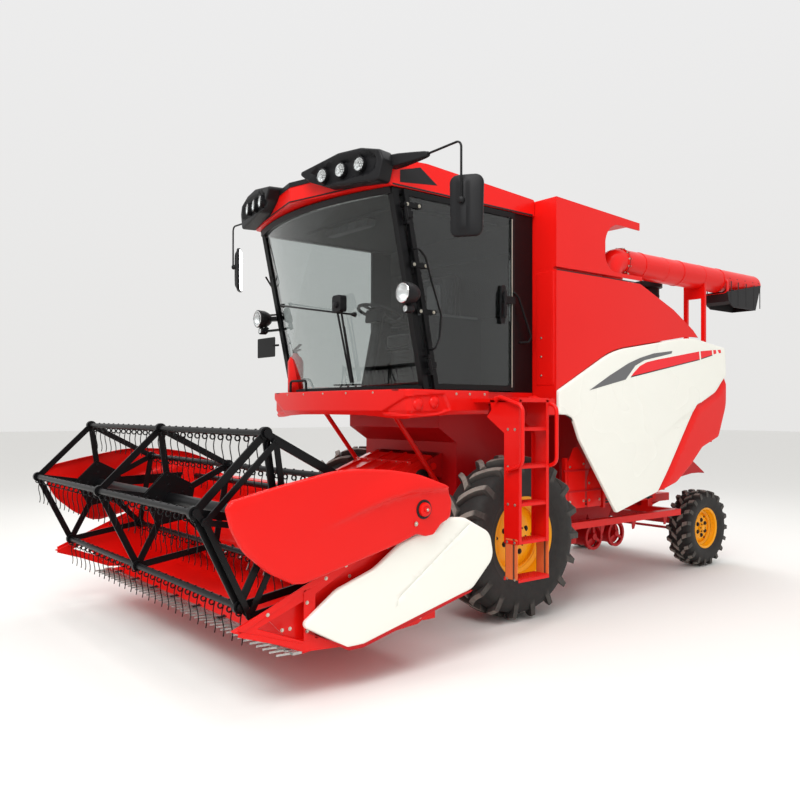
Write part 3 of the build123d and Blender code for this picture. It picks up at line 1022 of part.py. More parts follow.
# ---------------------------------------------------------------- origin and export
whole = Compound([solid for solids in parts.values() for solid in solids])
limits = whole.bounding_box()
SHIFT = Vector(-(limits.min.X + limits.max.X) / 2, -(limits.min.Y + limits.max.Y) / 2, -limits.min.Z)
os.makedirs("parts", exist_ok=True)
for name, solids in parts.items():
    placed = [Pos(SHIFT) * solid for solid in solids]
    export_step(placed[0] if len(placed) == 1 else Compound(placed), f"parts/{name}.step")
print("nodes", len(parts), "shift", SHIFT, "size", limits.size)
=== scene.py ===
"""Looks of the combine harvester: finishes, pressed panels, trim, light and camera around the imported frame.

Shapes are written in the machine's own millimetres (x to its left, y rearwards from the front axle, z up from
the ground) and are set down in the frame's metres by one function, `spot`.
"""

import json
import logging
import random
from dataclasses import dataclass, field
from enum import Enum
from math import acos, atan2, ceil, cos, hypot, pi, radians, sin, sqrt, tan
from typing import ClassVar

import bmesh
import bpy
from mathutils import Matrix, Vector
from mathutils.geometry import delaunay_2d_cdt


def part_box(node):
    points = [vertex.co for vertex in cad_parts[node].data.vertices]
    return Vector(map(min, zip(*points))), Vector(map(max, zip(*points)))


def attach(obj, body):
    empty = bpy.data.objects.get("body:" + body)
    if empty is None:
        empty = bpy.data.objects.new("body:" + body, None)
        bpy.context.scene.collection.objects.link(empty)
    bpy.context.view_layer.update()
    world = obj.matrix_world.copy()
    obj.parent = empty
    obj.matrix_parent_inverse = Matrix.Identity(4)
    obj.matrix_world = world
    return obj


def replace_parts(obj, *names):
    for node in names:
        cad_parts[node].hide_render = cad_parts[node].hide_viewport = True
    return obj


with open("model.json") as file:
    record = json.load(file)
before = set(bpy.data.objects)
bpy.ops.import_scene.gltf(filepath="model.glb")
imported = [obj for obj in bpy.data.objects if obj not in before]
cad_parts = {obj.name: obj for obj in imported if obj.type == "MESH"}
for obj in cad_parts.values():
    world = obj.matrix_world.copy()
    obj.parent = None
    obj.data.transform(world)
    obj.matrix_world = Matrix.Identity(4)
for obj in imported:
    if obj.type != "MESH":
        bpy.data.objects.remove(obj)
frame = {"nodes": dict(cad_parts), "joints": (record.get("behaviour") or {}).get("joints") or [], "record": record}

log = logging.getLogger("combine")
MM = 0.001
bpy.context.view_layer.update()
Pair = tuple[float, float]
Triple = tuple[float, float, float]
Spot = Triple | Vector
Tree, Node = bpy.types.NodeTree, bpy.types.Node
FORWARDS, REARWARDS, UP = (0, -1, 0), (0, 1, 0), (0, 0, 1)


def joint(name: str) -> dict:
    """The record's joint of that name."""
    return next(j for j in frame["joints"] if j["name"] == name)


DATUM_Y = joint("left_front_wheel_spin")["pos_m"][1]    # the front axle's place along the frame


def spot(point: Spot) -> Vector:
    """A point of the machine, in millimetres, as a point of the frame, in metres."""
    return Vector((point[0] * MM, point[1] * MM + DATUM_Y, point[2] * MM))


def node_box(node: str) -> tuple[Vector, Vector]:
    """A CAD node's lowest and highest corners in the machine's millimetres."""
    low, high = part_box(node)
    return tuple((corner - Vector((0, DATUM_Y, 0))) / MM for corner in (low, high))


def joint_spot(name: str) -> Vector:
    """A joint's place in the machine's millimetres."""
    return (Vector(joint(name)["pos_m"]) - Vector((0, DATUM_Y, 0))) / MM


# ---------------------------------------------------------------- finishes
class Slot(Enum):
    """The record's material slots."""
    RED = "red_paint"
    DARK_RED = "dark_red_paint"
    WHITE = "white_paint"
    BLACK = "black_paint"
    YELLOW = "yellow_paint"
    STEEL = "bare_steel"
    IRON = "cast_iron"
    TYRE = "tyre_rubber"
    PLASTIC = "black_plastic"
    RUBBER = "black_rubber"
    STRAP = "orange_strap"
    GLASS = "tinted_glass"
    LENS = "lamp_lens"
    FABRIC = "seat_fabric"


def linear(code: str) -> tuple[float, float, float, float]:
    """An sRGB hex colour as linear red, green, blue and full alpha."""
    parts = [int(code[i:i + 2], 16) / 255 for i in (0, 2, 4)]
    return (*[c / 12.92 if c <= 0.04045 else ((c + 0.055) / 1.055) ** 2.4 for c in parts], 1.0)


def add(tree: Tree, kind: str, settings: dict | None = None, links: dict | None = None) -> Node:
    """Adds one shader node.

    Args:
        tree: the material's node tree.
        kind: the node's type without its ShaderNode prefix.
        settings: properties by name and input values by socket name or number.
        links: what feeds each input, a socket or a node whose first output is meant.

    Returns:
        The new node.
    """
    made = tree.nodes.new("ShaderNode" + kind)
    for key, value in (settings or {}).items():
        if isinstance(key, str) and hasattr(made, key):
            setattr(made, key, value)
    for key, value in (settings or {}).items():
        if isinstance(key, int) or not hasattr(made, key):
            made.inputs[key].default_value = value
    for key, source in (links or {}).items():
        socket = source.outputs[0] if isinstance(source, Node) else source
        tree.links.new(socket, made.inputs[key])
    return made


def per_metre(size_mm: float) -> float:
    """Noise scale whose features are about that many millimetres across."""
    return 1000 / size_mm


@dataclass(frozen=True)
class Finish:
    """A surface finish. One material is made from it and shared by all that wears it."""
    name: str
    slot: Slot
    _made: ClassVar[dict[str, bpy.types.Material]] = {}

    def nodes(self, tree: Tree) -> Node:
        """Adds the finish's nodes.

        Args:
            tree: the material's node tree.

        Returns:
            The last shader node.
        """
        raise NotImplementedError

    def material(self) -> bpy.types.Material:
        """The finish's material, made on first use.

        Returns:
            The material.
        """
        if self.name not in Finish._made:
            made = bpy.data.materials.new(self.name)
            made.use_nodes = True
            tree = made.node_tree
            tree.nodes.clear()
            add(tree, "OutputMaterial", links={"Surface": self.nodes(tree)})
            Finish._made[self.name] = made
        return Finish._made[self.name]


@dataclass(frozen=True)
class Enamel(Finish):
    """Stoved gloss enamel on pressed steel sheet.

    The eye sees a deep even colour with a wet coat over it, panels that are never quite flat, so reflections
    swim a little, and edges whose paint is rounded.
    """
    colour: str
    faded: str
    roughness: float = 0.34
    coat: float = 0.1               # weight of the wet coat
    shine: float = 0.2              # the pigment binder's own reflection, under the coat
    drift_mm: float = 900
    wave_mm: float = 260
    peel_mm: float = 14             # real orange peel is about 2 mm, too fine to show
    edge_mm: float = 3.5

    def nodes(self, tree: Tree) -> Node:
        """Colour that drifts slowly to the faded one, a rounded edge normal and two scales of unevenness.

        Args:
            tree: the material's node tree.

        Returns:
            The paint's shader node.
        """
        here = {"Vector": add(tree, "TexCoord").outputs["Object"]}
        drift = add(tree, "TexNoise", {"Scale": per_metre(self.drift_mm), "Detail": 2.0}, here)
        tint = add(tree, "Mix", {"data_type": "RGBA", 6: linear(self.colour), 7: linear(self.faded)}, {0: drift})
        gloss = add(tree, "MapRange", {"From Min": 0.3, "From Max": 0.7, "To Min": self.roughness - 0.05,
                                       "To Max": self.roughness + 0.05}, {"Value": drift})
        edge = add(tree, "Bevel", {"samples": 3, "Radius": self.edge_mm * MM})
        wave = add(tree, "TexNoise", {"Scale": per_metre(self.wave_mm), "Detail": 1.0}, here)
        panel = add(tree, "Bump", {"Strength": 0.1, "Distance": 0.003}, {"Height": wave, "Normal": edge})
        peel = add(tree, "TexNoise", {"Scale": per_metre(self.peel_mm), "Detail": 1.0}, here)
        skin = add(tree, "Bump", {"Strength": 0.12, "Distance": 0.0004}, {"Height": peel, "Normal": panel})
        return add(tree, "BsdfPrincipled",
                   {"Coat Weight": self.coat, "Coat Roughness": 0.06, "Coat IOR": 1.5, "IOR": 1.5,
                    "Specular IOR Level": self.shine},
                   {"Base Color": tint.outputs[2], "Roughness": gloss, "Normal": skin})


@dataclass(frozen=True)
class Metal(Finish):
    """Bare metal: zinc plate, ground steel or sand-cast iron, told apart by tone, roughness and grain."""
    bright: str
    dull: str
    roughness: float
    grain_mm: float                 # drawn coarser than the real marks so that they show

    def nodes(self, tree: Tree) -> Node:
        """Tone and roughness that follow one grain.

        Args:
            tree: the material's node tree.

        Returns:
            The metal's shader node.
        """
        here = {"Vector": add(tree, "TexCoord").outputs["Object"]}
        grain = add(tree, "TexNoise", {"Scale": per_metre(self.grain_mm), "Detail": 4.0}, here)
        tint = add(tree, "Mix", {"data_type": "RGBA", 6: linear(self.bright), 7: linear(self.dull)}, {0: grain})
        rough = add(tree, "MapRange", {"From Min": 0.3, "From Max": 0.7, "To Min": self.roughness - 0.1,
                                       "To Max": self.roughness + 0.1}, {"Value": grain})
        relief = add(tree, "Bump", {"Strength": 0.3, "Distance": 0.0008}, {"Height": grain})
        return add(tree, "BsdfPrincipled", {"Metallic": 1.0},
                   {"Base Color": tint.outputs[2], "Roughness": rough, "Normal": relief})


@dataclass(frozen=True)
class Rubber(Finish):
    """Vulcanised rubber, carbon black with a mould's fine pebble and paler scuffed crowns where `wear` says so."""
    colour: str
    scuffed: str
    roughness: float = 0.72
    mottle_mm: float = 60
    pebble_mm: float = 9            # the real pebble is about 1 mm, too fine to show

    def nodes(self, tree: Tree) -> Node:
        """Mottled black, lifted towards the scuffed tone by the mesh's own wear attribute.

        Args:
            tree: the material's node tree.

        Returns:
            The rubber's shader node.
        """
        here = {"Vector": add(tree, "TexCoord").outputs["Object"]}
        mottle = add(tree, "TexNoise", {"Scale": per_metre(self.mottle_mm), "Detail": 5.0, "Roughness": 0.65}, here)
        worn = add(tree, "Attribute", {"attribute_name": "wear"}).outputs["Fac"]
        share = add(tree, "Math", {"operation": "MULTIPLY_ADD", 1: 0.9, 2: 0.05}, {0: worn})
        blend = add(tree, "Math", {"operation": "MULTIPLY", "use_clamp": True}, {0: share, 1: mottle})
        scuff = add(tree, "Math", {"operation": "MULTIPLY", "use_clamp": True, 1: 1.9}, {0: blend})
        tint = add(tree, "Mix", {"data_type": "RGBA", 6: linear(self.colour), 7: linear(self.scuffed)}, {0: scuff})
        pebble = add(tree, "TexNoise", {"Scale": per_metre(self.pebble_mm), "Detail": 3.0}, here)
        relief = add(tree, "Bump", {"Strength": 0.35, "Distance": 0.0015}, {"Height": pebble})
        return add(tree, "BsdfPrincipled",
                   {"Roughness": self.roughness, "IOR": 1.52, "Specular IOR Level": 0.3, "Sheen Weight": 0.03,
                    "Sheen Roughness": 0.5}, {"Base Color": tint.outputs[2], "Normal": relief})


@dataclass(frozen=True)
class Moulding(Finish):
    """Injection-moulded plastic with a spark-eroded grain that scatters its highlights."""
    colour: str
    faded: str
    roughness: float = 0.5
    patch_mm: float = 150
    grain_mm: float = 7             # the real grain is under 1 mm, too fine to show
    edge_mm: float = 4

    def nodes(self, tree: Tree) -> Node:
        """Even colour under a fine leathery grain.

        Args:
            tree: the material's node tree.

        Returns:
            The plastic's shader node.
        """
        here = {"Vector": add(tree, "TexCoord").outputs["Object"]}
        grain = add(tree, "TexVoronoi", {"Scale": per_metre(self.grain_mm)}, here).outputs["Distance"]
        patch = add(tree, "TexNoise", {"Scale": per_metre(self.patch_mm), "Detail": 2.0}, here)
        tint = add(tree, "Mix", {"data_type": "RGBA", 6: linear(self.colour), 7: linear(self.faded)}, {0: patch})
        edge = add(tree, "Bevel", {"samples": 3, "Radius": self.edge_mm * MM})
        relief = add(tree, "Bump", {"Strength": 0.12, "Distance": 0.0006}, {"Height": grain, "Normal": edge})
        return add(tree, "BsdfPrincipled", {"Roughness": self.roughness, "IOR": 1.49, "Specular IOR Level": 0.25},
                   {"Base Color": tint.outputs[2], "Normal": relief})


@dataclass(frozen=True)
class Glazing(Finish):
    """Clear or grey tempered glass. Shadow rays pass it as tinted light, so what stands behind is lit."""
    tint: str
    shade: str

    def nodes(self, tree: Tree) -> Node:
        """A transmitting body, and plain tinted transparency for shadow rays.

        Args:
            tree: the material's node tree.

        Returns:
            The node that joins the two.
        """
        body = add(tree, "BsdfPrincipled", {"Base Color": linear(self.tint), "Roughness": 0.0, "IOR": 1.45,
                                            "Transmission Weight": 1.0})
        clear = add(tree, "BsdfTransparent", {"Color": linear(self.shade)})
        ray = add(tree, "LightPath").outputs["Is Shadow Ray"]
        return add(tree, "MixShader", links={0: ray, 1: body, 2: clear})


@dataclass(frozen=True)
class Weave(Finish):
    """Woven polyester seat cloth: two crossing sets of yarn with a soft sheen along the fold edges."""
    warp: str
    weft: str
    yarn_mm: float = 7              # the real yarn is about 1.5 mm, too fine to show

    def nodes(self, tree: Tree) -> Node:
        """Crossed bands for colour and relief.

        Args:
            tree: the material's node tree.

        Returns:
            The cloth's shader node.
        """
        here = {"Vector": add(tree, "TexCoord").outputs["Object"]}
        bands = [add(tree, "TexWave", {"bands_direction": way, "Scale": per_metre(self.yarn_mm) / 6.28,
                                       "Distortion": 0.6}, here).outputs["Fac"] for way in ("X", "Z")]
        cross = add(tree, "Math", {"operation": "MULTIPLY"}, {0: bands[0], 1: bands[1]})
        tint = add(tree, "Mix", {"data_type": "RGBA", 6: linear(self.warp), 7: linear(self.weft)}, {0: cross})
        relief = add(tree, "Bump", {"Strength": 0.4, "Distance": 0.001}, {"Height": cross})
        return add(tree, "BsdfPrincipled", {"Roughness": 0.88, "Sheen Weight": 0.3, "Sheen Roughness": 0.4},
                   {"Base Color": tint.outputs[2], "Normal": relief})


@dataclass(frozen=True)
class Strap(Finish):
    """Moulded orange reinforced rubber strap with dark ribs along its length."""
    colour: str
    rib: str
    pitch_mm: float = 46

    def nodes(self, tree: Tree) -> Node:
        """Narrow dark ribs on an orange ground.

        Args:
            tree: the material's node tree.

        Returns:
            The strap's shader node.
        """
        here = {"Vector": add(tree, "TexCoord").outputs["Object"]}
        wave = add(tree, "TexWave", {"bands_direction": "X", "Scale": per_metre(self.pitch_mm) / 6.28,
                                     "Distortion": 0.0}, here).outputs["Fac"]
        ribs = add(tree, "MapRange", {"From Min": 0.86, "From Max": 0.95}, {"Value": wave})
        tint = add(tree, "Mix", {"data_type": "RGBA", 6: linear(self.colour), 7: linear(self.rib)}, {0: ribs})
        relief = add(tree, "Bump", {"Strength": 0.5, "Distance": 0.002, "invert": True}, {"Height": ribs})
        return add(tree, "BsdfPrincipled", {"Roughness": 0.6}, {"Base Color": tint.outputs[2], "Normal": relief})


RED = Enamel("signal_red_enamel", Slot.RED, "e6140d", "de110c", coat=0.12)
DEEP_RED = Enamel("deep_red_enamel", Slot.DARK_RED, "c01016", "b20d13", roughness=0.42, coat=0.06)
WHITE = Enamel("white_enamel", Slot.WHITE, "f3f3ea", "f0f0e6", roughness=0.3, coat=0.3, shine=0.4)
BLACK = Enamel("black_enamel", Slot.BLACK, "0a0a0b", "0e0e10", roughness=0.38, coat=0.06, shine=0.16)
YELLOW = Enamel("chrome_yellow_enamel", Slot.YELLOW, "fcae08", "f6a304", roughness=0.36, coat=0.1, shine=0.3)
GREY_STRIPE = Enamel("grey_stripe_film", Slot.WHITE, "6a6a6b", "646466", roughness=0.35, edge_mm=0.5)
RED_STRIPE = Enamel("red_stripe_film", Slot.WHITE, "f0222c", "ec1f29", roughness=0.35, edge_mm=0.5)
DARK_STRIPE = Enamel("dark_stripe_film", Slot.WHITE, "2b2f35", "272a2f", roughness=0.35, edge_mm=0.5)
STEEL = Metal("ground_steel", Slot.STEEL, "c9c9c6", "8f8f8d", 0.32, 22)
ZINC = Metal("zinc_plated_steel", Slot.STEEL, "d8d6cf", "b9b19a", 0.35, 12)
IRON = Metal("cast_iron", Slot.IRON, "4a4846", "2f2e2d", 0.6, 10)
TYRE = Rubber("tyre_rubber", Slot.TYRE, "1b1a1a", "8b857d")
RUBBER = Rubber("moulded_black_rubber", Slot.RUBBER, "131214", "242224", roughness=0.6)
PLASTIC = Moulding("black_moulded_plastic", Slot.PLASTIC, "0f0f11", "141416")
GREY_PLASTIC = Moulding("grey_moulded_plastic", Slot.PLASTIC, "4b4d4e", "545657", roughness=0.6)
HEADLINER = Moulding("charcoal_headliner", Slot.PLASTIC, "242526", "2b2c2d", roughness=0.8)
GLASS = Glazing("grey_tempered_glass", Slot.GLASS, "d5dad9", "b8bebd")
LENS = Glazing("clear_lamp_lens", Slot.LENS, "f4f6f6", "f0f2f2")
MIRROR = Metal("silvered_reflector", Slot.LENS, "f2f2f2", "e8e8e8", 0.12, 40)
SATIN = Metal("satin_lamp_reflector", Slot.LENS, "f4f4f4", "e2e2e2", 0.42, 12)
CLOTH = Weave("woven_seat_cloth", Slot.FABRIC, "1c1c1f", "2c2d31")
STRAP = Strap("orange_rubber_strap", Slot.STRAP, "e0713a", "5a3a2c")

# what the frame's own nodes wear
SLOT_FINISH = {finish.slot: finish for finish in (RED, DEEP_RED, WHITE, BLACK, YELLOW, STEEL, IRON, TYRE, PLASTIC,
                                                  RUBBER, STRAP, GLASS, LENS, CLOTH)}


def dress_frame() -> None:
    """Gives every CAD node the finish of its slot in the record."""
    for part in frame["record"]["subparts"]:
        materials = frame["nodes"][part["node"]].data.materials
        materials.clear()
        materials.append(SLOT_FINISH[Slot(part["material_slot"])].material())
    log.info("dressed %d frame nodes", len(frame["nodes"]))


# ---------------------------------------------------------------- shape toolkit
class Flat(Enum):
    """The plane that an outline is drawn in: side is (y, z), front is (x, z), top is (x, y)."""
    SIDE = "side"
    FRONT = "front"
    TOP = "top"

    def lift(self, u: float, v: float, w: float) -> Vector:
        """A point of the machine.

        Args:
            u, v: its place in the plane.
            w: its place across the plane.

        Returns:
            The point.
        """
        if self is Flat.SIDE:
            return Vector((w, u, v))
        if self is Flat.FRONT:
            return Vector((u, w, v))
        return Vector((u, v, w))


def rounded(points: list, step: float = 12, closed: bool = True) -> list:
    """A line whose corners are round arcs.

    Args:
        points: (u, v) or (u, v, radius), or 3-D vectors paired with a radius as (vector, radius).
        step: longest chord of an arc, in mm.
        closed: whether the last point joins the first.

    Returns:
        The points of the rounded line, as vectors.
    """
    spots = []
    for p in points:
        if isinstance(p[0], Vector):
            spots.append((p[0], p[1]))
        else:
            spots.append((Vector((p[0], p[1])), p[2] if len(p) == 3 else 0))
    line = []
    count = len(spots)
    straight = pi / 2 - 0.01        # half the angle between two runs that make no corner
    widest_chord = 0.35             # in radians
    for i, (here, radius) in enumerate(spots):
        if radius <= 0 or (not closed and i in (0, count - 1)):
            line.append(here.copy())
            continue
        before = spots[i - 1][0] - here
        after = spots[(i + 1) % count][0] - here
        half = acos(max(-1, min(1, before.normalized().dot(after.normalized())))) / 2
        if half > straight:
            line.append(here.copy())
            continue
        run = min(radius / tan(half), before.length * 0.49, after.length * 0.49)
        fit = run * tan(half)
        start = here + before.normalized() * run
        middle = here + (before.normalized() + after.normalized()).normalized() * fit / sin(half)
        end = here + after.normalized() * run
        turn = pi - 2 * half
        steps = max(2, ceil(turn * fit / step), ceil(turn / widest_chord))
        a, b = start - middle, end - middle
        for k in range(steps + 1):
            share = k / steps
            line.append(middle + (a * sin((1 - share) * turn) + b * sin(share * turn)) / sin(turn))
    return line


def bent(points: tuple, step: float = 10) -> list:
    """A bent tube's middle line from (x, y, z, bend radius) points."""
    return rounded([(Vector(p[:3]), p[3]) for p in points], step, closed=False)


def rectangle(low: Pair, high: Pair, radius: float = 0, step: float = 12) -> list:
    """A rectangle's outline between two corners, its corners round."""
    return rounded([(*low, radius), (high[0], low[1], radius), (*high, radius), (low[0], high[1], radius)], step)


class Stock:
    """A mesh being made, in the machine's millimetres."""

    def __init__(self) -> None:
        """Starts empty."""
        self.points: list[Vector] = []
        self.faces: list[list[int]] = []
        self.marks: list[float] = []

    def put(self, points: list, faces: list, mark: float = 0.0) -> None:
        """Adds points and faces.

        Args:
            points: the points.
            faces: lists of numbers of those points.
            mark: the points' wear.
        """
        start = len(self.points)
        self.points.extend(Vector(p) for p in points)
        self.marks.extend([mark] * len(points))
        self.faces.extend([start + i for i in face] for face in faces)

    def rings(self, loops: list, closed: bool = False, caps: bool = True) -> None:
        """Skins equal loops of points laid one after another.

        Args:
            loops: the loops.
            closed: whether the last loop joins the first.
            caps: whether the first and last loops are filled when they don't join.
        """
        size = len(loops[0])
        faces = []
        for i in range(len(loops) if closed else len(loops) - 1):
            j = (i + 1) % len(loops)
            for k in range(size):
                m = (k + 1) % size
                faces.append([i * size + k, i * size + m, j * size + m, j * size + k])
        if caps and not closed:
            faces.append(list(range(size))[::-1])
            faces.append([(len(loops) - 1) * size + k for k in range(size)])
        self.put([p for loop in loops for p in loop], faces)

    def prism(self, outline: list, low: float, high: float, flat: Flat = Flat.SIDE) -> None:
        """An outline with a thickness, from low to high across its plane."""
        self.rings([[flat.lift(p[0], p[1], w) for p in outline] for w in (low, high)])

    def block(self, low: Triple, high: Triple) -> None:
        """A box between two corners."""
        self.prism(rectangle(low[:2], high[:2]), low[2], high[2], Flat.TOP)

    def lathe(self, profile: list, centre: Spot, way: Spot = (1, 0, 0), sides: int = 48,
              closed: bool = True) -> None:
        """A turned shape.

        Args:
            profile: (distance along the axis, radius) points; closed joins the ends, else they are capped.
            centre: the axis's zero point.
            way: the axis's direction.
            sides: facets round the axis.
            closed: whether the profile is a closed section.
        """
        axis = Vector(way).normalized()
        side = axis.orthogonal().normalized()
        up = axis.cross(side)
        least = 0.01                # a point on the axis still needs a ring
        loops = []
        for along, radius in profile:
            loops.append([Vector(centre) + axis * along + (side * cos(2 * pi * k / sides)
                                                           + up * sin(2 * pi * k / sides)) * max(radius, least)
                          for k in range(sides)])
        self.rings(loops, closed=closed, caps=not closed)

    def turned(self, profile: list, at: Spot, way: Spot, sides: int = 20) -> None:
        """A solid turned shape whose profile starts and ends on its axis."""
        self.lathe(profile, at, way, sides, closed=False)

    def pipe(self, path: list, radius: float | list[float], sides: int = 10) -> None:
        """A round bar or tube.

        Args:
            path: the points of its middle line.
            radius: one number, or one for each point.
            sides: facets round it.
        """
        spots = [Vector(p) for p in path]
        loops = []
        side = None
        for i, here in enumerate(spots):
            along = spots[min(i + 1, len(spots) - 1)] - spots[max(i - 1, 0)]
            along.normalize()
            side = along.orthogonal().normalized() if side is None else (side - along * side.dot(along)).normalized()
            up = along.cross(side)
            r = radius[i] if isinstance(radius, (list, tuple)) else radius
            loops.append([here + (side * cos(2 * pi * k / sides) + up * sin(2 * pi * k / sides)) * r
                          for k in range(sides)])
        self.rings(loops)

    def bar(self, start: Spot, end: Spot, width: float, depth: float, across: Spot = (1, 0, 0)) -> None:
        """A rectangular bar.

        Args:
            start, end: its middle line's ends.
            width: its size square to `across`.
            depth: its size along `across`.
            across: the direction of its depth.
        """
        a, b = Vector(start), Vector(end)
        along = (b - a).normalized()
        out = Vector(across)
        out = (out - along * out.dot(along)).normalized() * depth / 2
        side = along.cross(out.normalized()) * width / 2
        self.rings([[p + out + side, p + out - side, p - out - side, p - out + side] for p in (a, b)])

    def bolt(self, at: Spot, way: Spot, across: float = 17, washer: bool = True) -> None:
        """A hexagon head standing on a face.

        Args:
            at: the middle of its foot.
            way: which way the face looks.
            across: the head's width over its flats.
            washer: whether a washer lies under it.
        """
        height = across * 0.55
        if washer:
            ring, thick = across * 0.85, across * 0.12
            self.turned([(0, 0), (0, ring), (thick, ring), (thick, 0)], at, way, 14)
        corner = across * 0.577
        self.turned([(0, 0), (0, corner), (height * 0.8, corner), (height, across * 0.48), (height, 0)], at, way, 6)

    def mirror(self) -> "Stock":
        """The same shape on the machine's other side.

        Returns:
            New stock with its mirror image.
        """
        other = Stock()
        other.points = [Vector((-p.x, p.y, p.z)) for p in self.points]
        other.faces = [face[::-1] for face in self.faces]
        other.marks = list(self.marks)
        return other

    def join(self, other: "Stock") -> None:
        """Adds another stock's shape to this one.

        Args:
            other: the stock that is added.
        """
        start = len(self.points)
        self.points.extend(other.points)
        self.marks.extend(other.marks)
        self.faces.extend([start + i for i in face] for face in other.faces)

    def pair(self) -> "Stock":
        """This shape on both sides of the machine.

        Returns:
            New stock with the shape and its mirror image.
        """
        both = Stock()
        both.join(self)
        both.join(self.mirror())
        return both

    def swung(self, degrees: float, shift: Triple) -> "Stock":
        """This shape turned about the vertical through zero and then moved.

        Args:
            degrees: how far it turns.
            shift: how far it moves.

        Returns:
            New stock with the moved shape.
        """
        turn = Matrix.Rotation(radians(degrees), 3, "Z")
        other = Stock()
        other.join(self)
        other.points = [turn @ p + Vector(shift) for p in self.points]
        return other

    def face_along(self, way: Vector, sample: int = 0) -> None:
        """Turns all faces over where one of them looks the wrong way.

        Args:
            way: which way the sample face has to look.
            sample: its number.
        """
        a, b, c = (self.points[i] for i in self.faces[sample][:3])
        if (b - a).cross(c - a).dot(way) < 0:
            self.faces = [face[::-1] for face in self.faces]

    def mesh(self, name: str, bevel: float = 0, smooth: float = 38) -> bpy.types.Mesh:
        """The finished mesh in metres.

        Args:
            name: the mesh's name.
            bevel: width of the rounding of edges sharper than 35 degrees, in mm; 0 for none.
            smooth: edges flatter than this many degrees are shaded smooth.

        Returns:
            The mesh, with its wear attribute.
        """
        work = bmesh.new()
        wear = work.verts.layers.float.new("wear")
        made = []
        for p, mark in zip(self.points, self.marks):
            v = work.verts.new(spot(p))
            v[wear] = mark
            made.append(v)
        work.verts.ensure_lookup_table()
        for face in self.faces:
            try:
                work.faces.new([made[i] for i in face])
            except ValueError:      # the same face twice, as where two caps meet
                continue
        bmesh.ops.remove_doubles(work, verts=work.verts, dist=0.05 * MM)
        bmesh.ops.dissolve_degenerate(work, edges=work.edges, dist=1e-6)
        bmesh.ops.recalc_face_normals(work, faces=work.faces)
        if bevel > 0:
            sharp = [e for e in work.edges if len(e.link_faces) == 2 and e.calc_face_angle(0) > radians(35)]
            bmesh.ops.bevel(work, geom=sharp, offset=bevel * MM, segments=2, profile=0.5, affect="EDGES",
                            clamp_overlap=True)
        mesh = bpy.data.meshes.new(name)
        work.to_mesh(mesh)
        work.free()
        mesh.shade_smooth()
        mesh.set_sharp_from_angle(angle=radians(smooth))
        return mesh


def baked(piece: bpy.types.Object) -> bpy.types.Mesh:
    """An object's mesh with its modifiers applied."""
    return bpy.data.meshes.new_from_object(piece.evaluated_get(bpy.context.evaluated_depsgraph_get()))


def set_down(mesh: bpy.types.Mesh, name: str, finish: Finish, body: str, replaces: tuple) -> bpy.types.Object:
    """Makes a piece of the machine from its finished mesh.

    Args:
        mesh: its mesh.
        name: the piece's name.
        finish: what it is painted or made with.
        body: the CAD body that carries it.
        replaces: the CAD nodes that it stands for.

    Returns:
        The new object, riding on its body.
    """
    mesh.materials.clear()
    mesh.materials.append(finish.material())
    made = bpy.data.objects.new(name, mesh)
    bpy.context.scene.collection.objects.link(made)
    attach(made, body)
    if replaces:
        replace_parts(made, *replaces)
    log.info("%s: %d faces on %s", name, len(mesh.polygons), body)
    return made


def place(stock: Stock, name: str, finish: Finish, body: str, replaces: tuple = (), **shape) -> None:
    """Makes a piece of the machine from stock.

    Args:
        stock: its shape.
        name, finish, body, replaces: as in set_down.
        shape: bevel and smooth, as in Stock.mesh.
    """
    made = set_down(stock.mesh(name, **shape), name, finish, body, replaces)
    if shape.get("bevel", 0) > 0:
        made.modifiers.new("weights", "WEIGHTED_NORMAL").keep_sharp = True


def place_panel(stock: Stock, name: str, finish: Finish, body: str, replaces: tuple = (), sheet: float = 3,
                smooth: float = 40) -> None:
    """Makes a panel from an open skin and thickens it inwards.

    Args:
        stock: the skin, whose faces look outwards.
        name, finish, body, replaces: as in set_down.
        sheet: the sheet's thickness.
        smooth: edges flatter than this many degrees are shaded smooth.
    """
    skin = bpy.data.meshes.new(name)
    skin.from_pydata([spot(p) for p in stock.points], [], stock.faces)
    raw = bpy.data.objects.new(name + "_raw", skin)
    bpy.context.scene.collection.objects.link(raw)
    thickened = raw.modifiers.new("sheet", "SOLIDIFY")
    thickened.thickness = sheet * MM
    thickened.offset = -1
    mesh = baked(raw)
    bpy.data.objects.remove(raw)
    mesh.name = name
    mesh.shade_smooth()
    mesh.set_sharp_from_angle(angle=radians(smooth))
    set_down(mesh, name, finish, body, replaces)


# ---------------------------------------------------------------- pressed panels
def gap_to(line: list, point: Vector, closed: bool = True) -> tuple[float, Vector]:
    """How far a point is from a line of points.

    Args:
        line: the line, as pairs or vectors.
        point: the point.
        closed: whether the line's last point joins its first.

    Returns:
        The distance, and the way from the line to the point.
    """
    best, way = 1e9, Vector((1, 0))
    line = [Vector(p) for p in line]
    for a, b in zip(line, line[1:] + (line[:1] if closed else [])):
        run = b - a
        share = max(0.0, min(1.0, (point - a).dot(run) / max(run.length_squared, 1e-9)))
        off = point - a - run * share
        if off.length < best:
            best, way = off.length, off
    return best, way


def inside(line: list, point: Vector) -> bool:
    """Whether a point is inside a closed outline.

    Args:
        line: the outline's points.
        point: the point.

    Returns:
        True inside it.
    """
    hit = False
    for i, a in enumerate(line):
        b = line[i - 1]
        if (a.y > point.y) != (b.y > point.y):
            if point.x < (b.x - a.x) * (point.y - a.y) / (b.y - a.y) + a.x:
                hit = not hit
    return hit


def eased(value: float) -> float:
    """A smooth step from 0 to 1."""
    value = max(0.0, min(1.0, value))
    return value * value * (3 - 2 * value)


